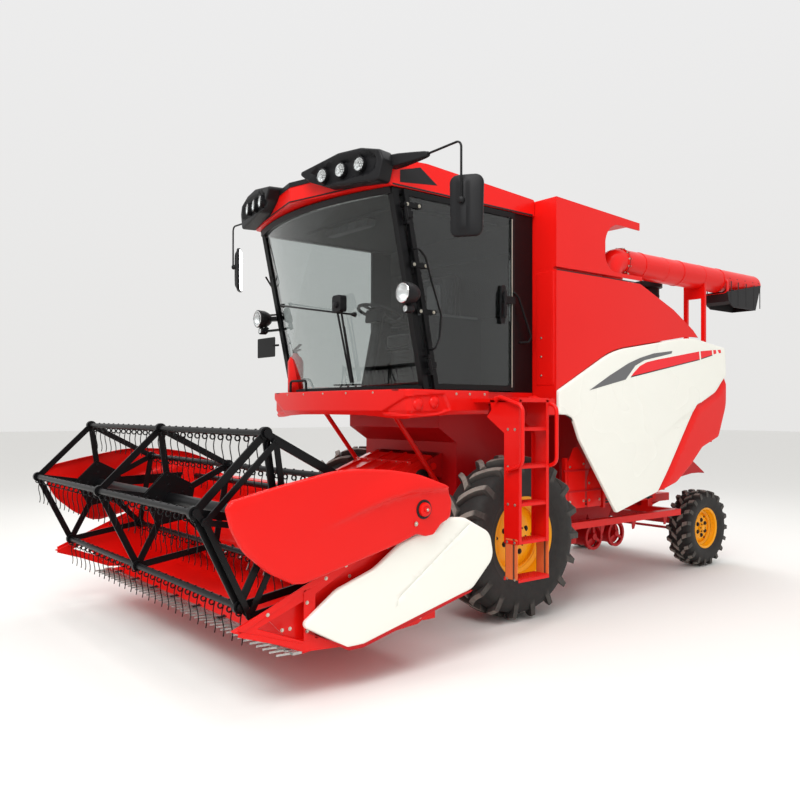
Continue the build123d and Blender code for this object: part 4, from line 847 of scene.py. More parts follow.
def divided(line: list, pitch: float) -> list:
    """A closed line with points added about every `pitch`.

    Args:
        line: the line's points.
        pitch: the spacing.

    Returns:
        The points of the finer line.
    """
    made = []
    for a, b in zip(line, line[1:] + line[:1]):
        parts = max(1, round((b - a).length / pitch))
        made.extend(a.lerp(b, k / parts) for k in range(parts))
    return made


def beside(line: tuple, shifts: tuple, pitch: float) -> list:
    """Lines of points beside a line.

    Args:
        line: its points.
        shifts: the lines' distances from it.
        pitch: the points' spacing.

    Returns:
        A list of points for each distance.
    """
    ways = []
    for shift in shifts:
        way = []
        for a, b in zip(line, line[1:]):
            a, b = Vector(a), Vector(b)
            normal = Vector((-(b - a).y, (b - a).x)).normalized() * shift
            parts = max(1, round((b - a).length / pitch))
            way.extend(a.lerp(b, k / parts) + normal for k in range(parts + 1))
        ways.append(way)
    return ways


def gridded(line: list, pitch: float, clear: float, staggered: bool) -> list:
    """Points spread over the inside of an outline.

    Args:
        line: the outline's points.
        pitch: the grid's spacing.
        clear: no point is nearer to the outline.
        staggered: whether every other column is shifted by half the spacing.

    Returns:
        The points.
    """
    low_u, high_u = min(p.x for p in line), max(p.x for p in line)
    low_v, high_v = min(p.y for p in line), max(p.y for p in line)
    made = []
    for i in range(int((high_u - low_u) / pitch) + 1):
        shift = 0.5 * (i % 2) if staggered else 0.5
        for j in range(int((high_v - low_v) / pitch) + 1):
            p = Vector((low_u + (i + 0.5) * pitch, low_v + (j + shift) * pitch))
            if inside(line, p) and gap_to(line, p)[0] > clear:
                made.append(p)
    return made


def filled(border: list, inner: list) -> tuple[list, list]:
    """Fills an outline with triangles.

    Args:
        border: the outline's points.
        inner: points inside it.

    Returns:
        All points, and the triangles' point numbers.
    """
    edges = [(i, (i + 1) % len(border)) for i in range(len(border))]
    made = delaunay_2d_cdt(border + inner, edges, [], 1, 0.5)
    return made[0], [list(face) for face in made[2]]


@dataclass
class Pressing:
    """A pressed sheet panel: a face with relief, a rolled edge and a flange turned back along its outline."""
    outline: tuple
    face: float                     # the outer face's place across the plane
    out: int = 1                    # which way across the plane the outer face looks
    flat: Flat = Flat.SIDE
    roll: float = 12                # how far the rolled edge falls, and how wide it is
    flange: float = 24              # depth of the flange, from the face
    grid: float = 38                # spacing of the face's inner points
    relief: object = None           # height of the face at a point, outwards
    lines: list = field(default_factory=list)   # lines of points that the relief bends along
    roll_at: object = None          # the roll's width at a point, where it isn't even

    def drop(self, gap: float, width: float) -> float:
        """How far the rolled edge falls.

        Args:
            gap: distance from the outline.
            width: the roll's width there.

        Returns:
            The fall from the face.
        """
        if gap >= width:
            return 0.0
        return self.roll * (1 - sqrt(max(1 - ((width - gap) / width) ** 2, 0)))

    def inner_points(self, line: list, border: list) -> list:
        """The points that carry the roll, the relief and the even field.

        Args:
            line: the outline's points.
            border: the outline's points, closely spaced.

        Returns:
            The points.
        """
        points = []
        widest = self.roll * (2.2 if self.roll_at else 1)
        for share in (0.12, 0.35, 0.65, 1.0):
            reach = widest * share
            for i, p in enumerate(border):
                along = (border[(i + 1) % len(border)] - border[i - 1]).normalized()
                for side in (1, -1):
                    inner = p + Vector((-along.y, along.x)) * side * widest * share
                    if inside(line, inner) and gap_to(line, inner)[0] > reach * 0.93:
                        points.append(inner)
        for way in self.lines:
            points.extend(p for p in way if inside(line, p) and gap_to(line, p)[0] > widest * 0.6)
        return points + gridded(line, self.grid, widest + self.grid * 0.4, True)

    def stock(self) -> Stock:
        """Builds the panel's outer skin.

        Returns:
            The skin, whose faces look outwards.
        """
        line = [Vector(p) for p in rounded(self.outline, 14)]
        border = divided(line, 30)
        flat_points, flat_faces = filled(border, self.inner_points(line, border))
        skin = []
        for p in flat_points:
            width = self.roll_at(p) if self.roll_at else self.roll
            height = self.relief(p) if self.relief else 0
            fall = self.drop(gap_to(line, p)[0], width)
            skin.append(self.flat.lift(p.x, p.y, self.face + self.out * (height - fall)))
        stock = Stock()
        stock.put(skin, flat_faces)
        sides = {side: None for f in flat_faces for side in zip(f, f[1:] + f[:1])}
        rim = [(a, b) for a, b in sides if (b, a) not in sides]
        back = {}
        for i in (i for side in rim for i in side):
            if i not in back:
                p = flat_points[i]
                back[i] = len(stock.points)
                stock.put([self.flat.lift(p.x, p.y, self.face - self.out * self.flange)], [])
        for a, b in rim:
            if any((skin[i] - stock.points[back[i]]).length > 1 for i in (a, b)):
                stock.faces.append([b, a, back[a], back[b]])
        stock.face_along(self.flat.lift(0, 0, self.out))
        return stock


# ---------------------------------------------------------------- wheels
class Tread(Enum):
    """Tyre patterns."""
    CHEVRON = "long curved lugs"
    BLOCKS = "lozenges between short shoulder lugs"


@dataclass
class Wheel:
    """A tyre with moulded lugs on a dished steel rim."""
    name: str                       # such as front_left
    body: str
    spin: str                       # its joint
    side: int                       # 1 on the machine's left
    radius: float
    width: float
    rim_radius: float
    tread: Tread
    lugs: int                       # on each shoulder and each side
    lug_height: float
    lug_width: float
    disc_at: float                  # the disc's outer face, outwards of the wheel's middle
    hub_radius: float
    hub_face: float
    bolts: int
    bolt_circle: float
    bead: float = 0.4               # half the rim's width, as a share of the tyre's
    well: float = 0.86              # the rim's deepest radius, as a share of its own
    root: float = 5                 # how deep the lugs' feet stand in the carcass
    cap_screws: int = 6
    tread_points: int = 11          # points of the section that lie on the tread side
    # the carcass's section: share of half the width, share of the height from the bead to the crown
    section: tuple = ((0, 1.0), (0.16, 0.999), (0.31, 0.993), (0.47, 0.983), (0.62, 0.966), (0.74, 0.944),
                      (0.84, 0.908), (0.91, 0.86), (0.955, 0.80), (0.985, 0.72), (1.0, 0.62), (0.998, 0.52),
                      (0.984, 0.42), (0.96, 0.33), (0.945, 0.30), (0.945, 0.275), (0.925, 0.25), (0.885, 0.17),
                      (0.85, 0.10), (0.85, 0.075), (0.825, 0.05), (0.80, 0.0), (0.78, -0.03))

    @property
    def crown(self) -> float:
        """The carcass's radius under the lugs."""
        return self.radius - self.lug_height

    @property
    def bead_radius(self) -> float:
        """Where the tyre meets the rim."""
        return self.rim_radius + 10

    def skin(self, across: float) -> float:
        """The carcass's radius on the tread side.

        Args:
            across: distance from the tyre's middle.

        Returns:
            The radius there.
        """
        share = min(abs(across) / (self.width / 2), 0.999)
        upper = self.section[:self.tread_points]
        for (a, ra), (b, rb) in zip(upper, upper[1:]):
            if a <= share <= b:
                height = ra + (rb - ra) * ((share - a) / (b - a))
                return self.bead_radius + height * (self.crown - self.bead_radius)
        return self.bead_radius

    def at(self, across: float, angle: float, radius: float) -> Vector:
        """A point of the wheel; angle 0 is forwards and grows upwards."""
        return self.centre + Vector((across, -radius * cos(angle), radius * sin(angle)))

    def bar(self, stock: Stock, side: int, start: float, run: list, top: float, base: float) -> None:
        """One lug, its crest marked as worn.

        Args:
            stock: where it goes.
            side: which shoulder it reaches.
            start: the angle it starts at.
            run: (distance across, angle from start, top radius, foot radius, slope in radians) along it.
            top, base: its widths.
        """
        loops, marks = [], []
        draft, edge = 5, 4          # how much wider the crest's edge is, and how far below the crest
        shoulder, faint = 0.45, 0.2     # the wear is faint past this share of the width
        for across, angle, high, low, slope in run:
            ring = []
            crest = 1.0 if abs(across) < self.width * shoulder else faint
            for width, radius in ((base, low), (top + draft, high - edge), (top, high), (-top, high),
                                  (-top - draft, high - edge), (-base, low)):
                turn = start + angle + width / 2 / cos(slope) / radius
                ring.append(self.at(side * across, turn, radius))
                marks.append(crest if radius == high else faint * crest if radius > low else 0.0)
            loops.append(ring)
        begin = len(stock.points)
        stock.rings(loops)
        stock.marks[begin:] = marks

    def lug_run(self, first: float, last: float, steep: float, shallow: float, shoulder: float) -> list:
        """The middle line of a curved lug.

        Args:
            first, last: the distances across the tread where it starts and ends.
            steep, shallow: its slopes there, in degrees.
            shoulder: how far its crest falls at the tyre's side.

        Returns:
            A run, as in bar.
        """
        run, angle, steps = [], 0.0, 9
        for i in range(steps + 1):
            share = i / steps
            across = first + (last - first) * share
            slope = radians(steep + (shallow - steep) * share)
            if i:
                angle += tan(slope) * (last - first) / steps / self.radius
            high = self.radius - shoulder * (max(across, 0) / (self.width / 2)) ** 3
            run.append((across, angle, high, self.skin(across) - self.root, slope))
        height = self.crown - self.bead_radius
        for across, on, top, low in ((last + 3, 0.004, 0.90, 0.72), (self.width / 2 + 1, 0.008, 0.74, 0.6)):
            run.append((across, angle + on, self.bead_radius + top * height, self.bead_radius + low * height, slope))
        return run

    def tyre(self) -> Stock:
        """Builds the carcass and its lugs.

        Returns:
            The tyre.
        """
        half = self.width / 2
        height = self.crown - self.bead_radius
        right = [(share * half, self.bead_radius + up * height) for share, up in self.section]
        loop = [(-a, r) for a, r in right[:0:-1]] + right
        stock = Stock()
        stock.lathe(loop, self.centre, sides=120)
        pitch = 2 * pi / self.lugs
        for k in range(self.lugs):
            for side in (-1, 1):
                start = k * pitch + (pitch / 2 if side > 0 else 0)
                if self.tread is Tread.CHEVRON:
                    run = self.lug_run(-14, half * 0.985, 50, 24, 22)
                    self.bar(stock, side, start, run, self.lug_width, self.lug_width * 1.5)
                else:
                    run = self.lug_run(half * 0.52, half * 0.985, 30, 14, 12)
                    self.bar(stock, side, start, run, self.lug_width, self.lug_width * 1.25)
            if self.tread is Tread.BLOCKS:
                for side in (-1, 1):
                    middle = k * pitch + (0 if side > 0 else pitch / 2) + 0.02
                    run = [(half * share, turn, self.radius - 1, self.skin(half * share) - self.root, radians(30))
                           for share, turn in ((0.02, -0.07), (0.12, -0.035), (0.30, 0.02), (0.42, 0.06))]
                    self.bar(stock, side, middle, run, self.lug_width * 1.05, self.lug_width * 1.3)
        return stock

    def rim(self) -> Stock:
        """Builds the barrel, the dished disc and the hub.

        Returns:
            The rim.
        """
        r, edge, out = self.rim_radius, self.width * self.bead, (self.side, 0, 0)
        well = r * self.well
        lip = r + 20
        flange = [(edge - 40, r + 1), (edge - 4, r + 7), (edge - 4, lip - 4), (edge, lip), (edge + 5, lip + 1),
                  (edge + 8, lip - 3), (edge + 4, lip - 7), (edge + 2, r + 5), (edge - 2, r)]
        outer = [(edge * 0.42, well), (edge * 0.55, r - 3)] + flange + [(edge - 38, r - 7), (edge * 0.5, r - 12),
                                                                     (edge * 0.36, well - 8)]
        stock = Stock()
        stock.lathe(outer + [(-a, b) for a, b in reversed(outer)], self.centre, out, 96)
        face, hub = self.disc_at, self.hub_radius
        reach = well + 3 - hub
        dish = [(face + 4, hub - 4), (face + 6, hub + 0.25 * reach), (face + 4, hub + 0.5 * reach),
                (face - 6, hub + 0.68 * reach), (face - 22, hub + 0.86 * reach), (face - 30, hub + reach),
                (face - 40, hub + reach), (face - 34, hub + 0.84 * reach), (face - 18, hub + 0.66 * reach),
                (face - 8, hub + 0.48 * reach), (face - 6, hub - 4)]
        stock.lathe(dish, self.centre, out, 96)
        end = self.hub_face
        stock.turned([(face - 8, 0), (face - 8, hub), (end - 10, hub), (end - 3, hub - 3), (end, hub - 9),
                      (end, hub * 0.62), (end + 9, hub * 0.58), (end + 13, hub * 0.45), (end + 14, 0)],
                     self.centre, out, 48)
        return stock

    def fastenings(self) -> Stock:
        """Builds the wheel bolts and the hub's small cap screws.

        Returns:
            The bolts.
        """
        stock, out = Stock(), (self.side, 0, 0)
        for k in range(self.bolts):
            turn = 2 * pi * (k + 0.5) / self.bolts
            stock.bolt(self.at(self.side * (self.disc_at + 5), turn, self.bolt_circle), out, 27)
        for k in range(self.cap_screws):
            turn = 2 * pi * k / self.cap_screws
            stock.bolt(self.at(self.side * self.hub_face, turn, self.hub_radius * 0.8), out, 13, washer=False)
        return stock

    def build(self) -> None:
        """Builds the wheel's pieces."""
        self.centre = joint_spot(self.spin)
        place(self.tyre(), f"{self.name}_moulded_tyre", TYRE, self.body, (f"{self.name}_tyre",), smooth=32)
        place(self.rim(), f"{self.name}_dished_rim", YELLOW, self.body, (f"{self.name}_rim",), smooth=34)
        place(self.fastenings(), f"{self.name}_wheel_bolts", IRON, self.body)
        # Painted shade: black discs sit where the dished disc has holes and stand for the dark seen through them; the
        # holes themselves are not cut.
        hole_shade_discs = Stock()
        count = self.bolts // 2
        circle = self.hub_radius + 0.62 * (self.rim_radius * self.well - self.hub_radius)
        for k in range(count):
            at = self.at(self.side * (self.disc_at - 4), 2 * pi * k / count, circle)
            hole_shade_discs.turned([(-4, 0), (-4, 12), (6, 12), (9, 9), (7, 6), (5, 0)], at, (self.side, 0, 0))
        place(hole_shade_discs, f"{self.name}_rim_hole_painted_shade", RUBBER, self.body)


DRIVEN = {"radius": 643, "width": 385, "rim_radius": 305, "tread": Tread.CHEVRON, "lugs": 18, "lug_height": 44,
          "lug_width": 36, "disc_at": 54, "hub_radius": 95, "hub_face": 100, "bolts": 8, "bolt_circle": 135}
STEERED = {"radius": 401, "width": 250, "rim_radius": 194, "tread": Tread.BLOCKS, "lugs": 19, "lug_height": 24,
           "lug_width": 34, "disc_at": 44, "hub_radius": 52, "hub_face": 66, "bolts": 6, "bolt_circle": 80}


def wheels() -> list[Wheel]:
    """The machine's four wheels.

    Returns:
        The driven front and the steered rear wheel of each side.
    """
    made = []
    for side, word in ((1, "left"), (-1, "right")):
        for end, sizes in (("front", DRIVEN), ("rear", STEERED)):
            body = f"{word}_{end}_wheel"
            made.append(Wheel(f"{end}_{word}", body, f"{body}_spin", side, **sizes))
    return made


# ---------------------------------------------------------------- header and reel
@dataclass
class ReelShield:
    """The big pressed shield on each reel arm, with an arched crease that grows towards the pivot."""
    face: float = 1700
    sheet: float = 3
    outline: tuple = ((-2838, 1128, 30), (-2806, 1170, 40), (-2520, 1232, 900), (-2161, 1296, 900),
                      (-2011, 1303, 900), (-1762, 1287, 900), (-1546, 1251, 700), (-1314, 1168, 50),
                      (-1266, 1066, 90), (-1280, 962, 46), (-1362, 926, 40), (-1421, 866, 36), (-1484, 862, 40),
                      (-1556, 884, 60), (-1691, 838, 300), (-2064, 753, 900), (-2366, 684, 90), (-2440, 690, 90),
                      (-2585, 765, 300), (-2741, 897, 300), (-2808, 1020, 200))
    crease: tuple = ((-2284, 975), (-2118, 1021), (-1955, 1075), (-1785, 1121), (-1607, 1152), (-1421, 1159),
                     (-1305, 1162))
    crest: float = 24               # height of the crease at the pivot end
    slope: float = 150              # width of the slope above it
    fall: float = 26                # width of the drop below it

    def relief(self, p: Vector) -> float:
        """Height of the face: highest along the crease, easing away above it and dropping below it.

        Args:
            p: the point's (y, z).

        Returns:
            The height.
        """
        gap, off = gap_to(self.crease, p, closed=False)
        grown = self.crest * eased((p.x + 2330) / 620)
        return grown * (1 - eased(gap / (self.slope if off.y > 0 else self.fall)))

    def roll_at(self, p: Vector) -> float:
        """The rolled edge is widest along the front end."""
        return 14 + 44 * (1 - eased((p.x + 2800) / 190))

    def build(self) -> None:
        """Builds both shields, their pivot covers and the bolts that hold them."""
        crease = [Vector(c) for c in self.crease]
        lines = []
        for shift in (-0.99, -0.6, -0.25, 0.0, 0.12, 0.45, 0.9):
            reach = self.fall if shift < 0 else self.slope
            fine = []
            for a, b in zip(crease, crease[1:]):
                normal = Vector((-(b - a).y, (b - a).x)).normalized()
                fine.extend(a.lerp(b, k / 6) + normal * shift * reach for k in range(6))
            lines.append(fine)
        pressing = Pressing(self.outline, self.face, roll=13, flange=38, grid=34, relief=self.relief, lines=lines,
                            roll_at=self.roll_at)
        place_panel(pressing.stock().pair(), "pressed_reel_shields", RED, "reel_carrier", ("reel_shields",),
                    self.sheet)
        pivot = joint_spot("reel_lift")
        rings, bolts = Stock(), Stock()
        for side in (1, -1):
            out = (side, 0, 0)
            centre = Vector((side * self.face, pivot.y, pivot.z))
            rings.turned([(-2, 0), (-2, 60), (4, 60), (6, 57), (6, 46), (3, 44), (3, 0)], centre, out, 40)
            caps = Stock()
            caps.turned([(-2, 0), (-2, 44), (14, 44), (22, 41), (26, 34), (27, 24), (24, 21), (24, 0)], centre, out,
                        40)
            caps.turned([(20, 0), (20, 14), (31, 14), (34, 11), (34, 0)], centre, out)
            place(caps, f"shield_pivot_boss_{'left' if side > 0 else 'right'}", RED, "reel_carrier")
            bolts.bolt(centre + Vector((side * 33, 0, 0)), out, 17, washer=False)
            bolts.bolt(centre + Vector((side * 5, -66, -84)), out, 17)
        place(rings, "shield_pivot_seals", RUBBER, "reel_carrier", bevel=1)
        place(bolts, "shield_pivot_bolts", ZINC, "reel_carrier")


@dataclass
class DriveCover:
    """The white moulded cover over the header's belt drives."""
    face: float = 1655
    outline: tuple = ((-2362, 440, 30), (-2049, 262, 60), (-1930, 262, 60), (-1040, 470, 150), (-840, 655, 110),
                      (-876, 826, 110), (-1111, 945, 150), (-1220, 955, 80), (-1300, 930, 50), (-1352, 880, 40),
                      (-1506, 868, 60), (-1650, 826, 120), (-1845, 698, 200), (-2116, 610, 200))
    fold: tuple = ((-1671, 463), (-1671, 495), (-1074, 901))
    fold_depth: float = 5
    fold_half: float = 6
    skid: tuple = ((-2330, 402), (-2036, 246), (-1930, 246), (-1060, 450), (-1040, 462), (-1180, 452), (-1930, 270),
                   (-2040, 270))
    skid_span: Pair = (1618, 1652)

    def relief(self, p: Vector) -> float:
        """A narrow pressed groove along the fold."""
        return -self.fold_depth * (1 - eased(gap_to(self.fold, p, closed=False)[0] / self.fold_half))

    def build(self) -> None:
        """Builds the cover and the flange along its lower edge."""
        lines = beside(self.fold, [self.fold_half * share for share in (-1.0, -0.5, 0.0, 0.5, 1.0)], 22)
        pressing = Pressing(self.outline, self.face, roll=16, flange=31, grid=44, relief=self.relief, lines=lines)
        place_panel(pressing.stock(), "moulded_drive_cover", WHITE, "header", ("drive_cover",), 4)
        skid = Stock()
        skid.prism(self.skid, *self.skid_span)
        place(skid, "drive_cover_lower_flange", DEEP_RED, "header", bevel=1.5)


@dataclass
class Reel:
    """Dress of the pick-up reel: spring tines with their coils, clamp bolts, pads and the hub gussets."""
    bats: int = 5
    tines: int = 28
    span: Pair = (-1500, 1490)
    coil_radius: float = 16
    wire: float = 3.6
    coil_turns: float = 2.2
    tine_length: float = 178
    tube_radius: float = 20
    gusset_radius: float = 205
    gussets: tuple = (-1490, 0, 1490)
    gusset_at: Pair = (9, 15)       # the two plates' faces, from the gusset's middle
    wave: float = 9                 # the leg's sideways wave

    def tine(self, stock: Stock, x: float, centre: Vector, lean: float) -> None:
        """One spring tine: a coil under the bat and a long leg with a slight wave.

        Args:
            stock: where it goes.
            x: its place along the bat.
            centre: the bat's middle.
            lean: how far its tip is off to the side.
        """
        ring = centre + Vector((x, 0, -self.tube_radius - self.coil_radius + 1))
        path, leg, steps, parts = [], [], 30, 7
        for i in range(steps + 1):
            turn = 2 * pi * self.coil_turns * i / steps
            path.append(ring + Vector((-6 + 12 * i / steps, self.coil_radius * cos(turn),
                                       self.coil_radius * sin(turn))))
        stock.pipe(path, self.wire + 0.6, 6)
        for i in range(parts + 1):
            share = i / parts
            leg.append(ring + Vector((6 + lean * share, self.coil_radius - self.wave * sin(share * pi * 1.8)
                                      - 8 * share, -share * self.tine_length)))
        stock.pipe(leg, self.wire, 6)

    def build(self) -> None:
        """Builds the tines of every bat, and the plates and bolts of the reel's frame."""
        rng = random.Random(11)
        pitch = (self.span[1] - self.span[0]) / (self.tines - 1)
        for k in range(1, self.bats + 1):
            centre = joint_spot(f"bat_{k}_turn")
            centre.x = 0
            tines, clips = Stock(), Stock()
            for i in range(self.tines):
                x = self.span[0] + i * pitch
                self.tine(tines, x, centre, rng.uniform(-5, 5))
                clips.bolt(centre + Vector((x, 0, self.tube_radius - 2)), UP, 12)
                clips.block((x - 9, centre.y - 8, centre.z - self.tube_radius - 4),
                            (x + 9, centre.y + 8, centre.z - self.tube_radius + 3))
            place(tines, f"bat_{k}_spring_tines", BLACK, f"bat_{k}", smooth=60)
            place(clips, f"bat_{k}_tine_clips", BLACK, f"bat_{k}")
        hub = joint_spot("reel_spin")
        plates, bolts = Stock(), Stock()
        spots = [joint_spot(f"bat_{k}_turn") for k in range(1, self.bats + 1)]
        inner, outer = self.gusset_at
        for x in self.gussets:
            shape = []
            for p in spots:
                way = Vector((p.y - hub.y, p.z - hub.z)).normalized()
                shape.append((hub.y + way.x * self.gusset_radius, hub.z + way.y * self.gusset_radius, 14))
                for reach in (self.gusset_radius * 0.5, self.gusset_radius * 0.82):
                    for side in (1, -1):
                        bolts.bolt((x + side * outer, hub.y + way.x * reach, hub.z + way.y * reach), (side, 0, 0), 13)
            line = rounded(sorted(shape, key=lambda s: atan2(s[1] - hub.z, s[0] - hub.y)), 8)
            plates.prism(line, x + inner, x + outer)
            plates.prism(line, x - outer, x - inner)
        place(plates, "reel_hub_gussets", BLACK, "reel", bevel=1)
        place(bolts, "reel_hub_bolts", BLACK, "reel")
        ends = Stock()
        for p in spots:
            ends.bolt((-1502, p.y, p.z), (-1, 0, 0), 22)
        place(ends, "reel_bat_end_nuts", IRON, "reel")


@dataclass
class Header:
    """Dress of the cutting table: knife sections, auger fingers, folded divider frames and trough ribs."""
    half: float = 1560
    guard_pitch: float = 76.2
    knife_y: float = -2300
    knife_z: float = 262
    auger_radius: float = 146
    finger: float = 98
    finger_radius: float = 7
    divider_face: float = 1621
    # each strip's ends (y, z) and width
    irons: tuple = (((-2735, 470), (-1775, 868), 34), ((-2735, 452), (-2340, 318), 30),
                    ((-2308, 345), (-2308, 632), 42))
    divider_bolts: tuple = ((-2470, 432), (-2420, 432), (-2308, 400), (-2308, 560), (-2180, 680), (-2040, 738),
                            (-1900, 796), (-1800, 838), (-2560, 530))
    side_face: float = 1575
    side_bolts: tuple = ((-1430, 1070), (-1600, 1060), (-1690, 800), (-1980, 660), (-1300, 600), (-1300, 800),
                         (-2140, 300), (-1700, 300), (-1430, 330))

    def knife(self) -> None:
        """The reciprocating knife's riveted triangular sections and its hold-down clips."""
        sections, clips = Stock(), Stock()
        count = int(2 * (self.half - 30) / self.guard_pitch)
        first = -(count - 1) / 2 * self.guard_pitch
        for i in range(count):
            x = first + (i + 0.5) * self.guard_pitch
            tooth = [(x - 36, self.knife_y - 20), (x - 36, self.knife_y - 42), (x - 7, self.knife_y - 98),
                     (x + 7, self.knife_y - 98), (x + 36, self.knife_y - 42), (x + 36, self.knife_y - 20)]
            if abs(x) < self.half - 50:
                sections.prism(tooth, self.knife_z + 11, self.knife_z + 14, Flat.TOP)
                for shift in (-18, 18):
                    sections.turned([(0, 0), (0, 5), (2.5, 4), (3, 0)],
                                    (x + shift, self.knife_y - 32, self.knife_z + 14), UP, 8)
                if i % 5 == 2:      # one clip for every five sections
                    clips.block((x - 14, self.knife_y - 60, self.knife_z + 16),
                                (x + 14, self.knife_y + 2, self.knife_z + 22))
                    clips.bolt((x, self.knife_y - 12, self.knife_z + 22), UP, 14)
        place(sections, "knife_sections", STEEL, "header")
        place(clips, "knife_hold_down_clips", IRON, "header", bevel=1)

    def auger(self) -> None:
        """Retractable fingers and their wear bushes in the auger's middle."""
        centre = joint_spot("table_auger_spin")
        fingers, bushes = Stock(), Stock()
        rows, pitch = 4, 132
        for row in range(rows):
            for i in range(6):
                x = -330 + i * pitch + (pitch / 2 if row % 2 else 0)
                turn = 2 * pi * (row + 0.5 * (i % 2)) / rows + 0.4
                way = Vector((0, cos(turn), sin(turn)))
                foot = Vector((x, centre.y, centre.z)) + way * self.auger_radius
                fingers.pipe([foot, foot + way * self.finger], [self.finger_radius, self.finger_radius - 1], 8)
                bushes.turned([(0, 0), (0, 26), (8, 24), (10, 14), (10, 0)], foot, way, 14)
        place(fingers, "auger_fingers", STEEL, "table_auger")
        place(bushes, "auger_finger_bushes", PLASTIC, "table_auger")

    def dividers(self) -> None:
        """Angle-iron edges and bolts of the crop dividers, both sides."""
        irons, bolts = Stock(), Stock()
        for side in (1, -1):
            x = side * self.divider_face
            for start, end, width in self.irons:
                a, b = Vector(start), Vector(end)
                run = (b - a).normalized()
                normal = Vector((-run.y, run.x)) * width / 2
                irons.prism([a + normal, b + normal, b - normal, a - normal], x, x + side * 5)
            for y, z in self.divider_bolts:
                bolts.bolt((x + side * 4.5, y, z), (side, 0, 0), 13)
        place(irons, "divider_edge_irons", RED, "header", bevel=1)
        place(bolts, "divider_bolts", ZINC, "header")

    def table(self) -> None:
        """Pressed ribs and bolts on the trough's rear wall and the table's side sheets."""
        ribs, bolts = Stock(), Stock()
        for side in (1, -1):
            for k in range(5):
                x = side * (560 + k * 220)
                ribs.prism(rectangle((x - 9, 620), (x + 9, 980)), -1326, -1316, Flat.FRONT)
                bolts.bolt((x, -1322, 1000), FORWARDS, 13)
            for y, z in self.side_bolts:
                bolts.bolt((side * self.side_face, y, z), (side, 0, 0), 13)
        place(ribs, "trough_wall_ribs", RED, "header", bevel=2)
        place(bolts, "table_bolts", ZINC, "header")

    def build(self) -> None:
        """Builds the header's dress."""
        self.knife()
        self.auger()
        self.dividers()
        self.table()


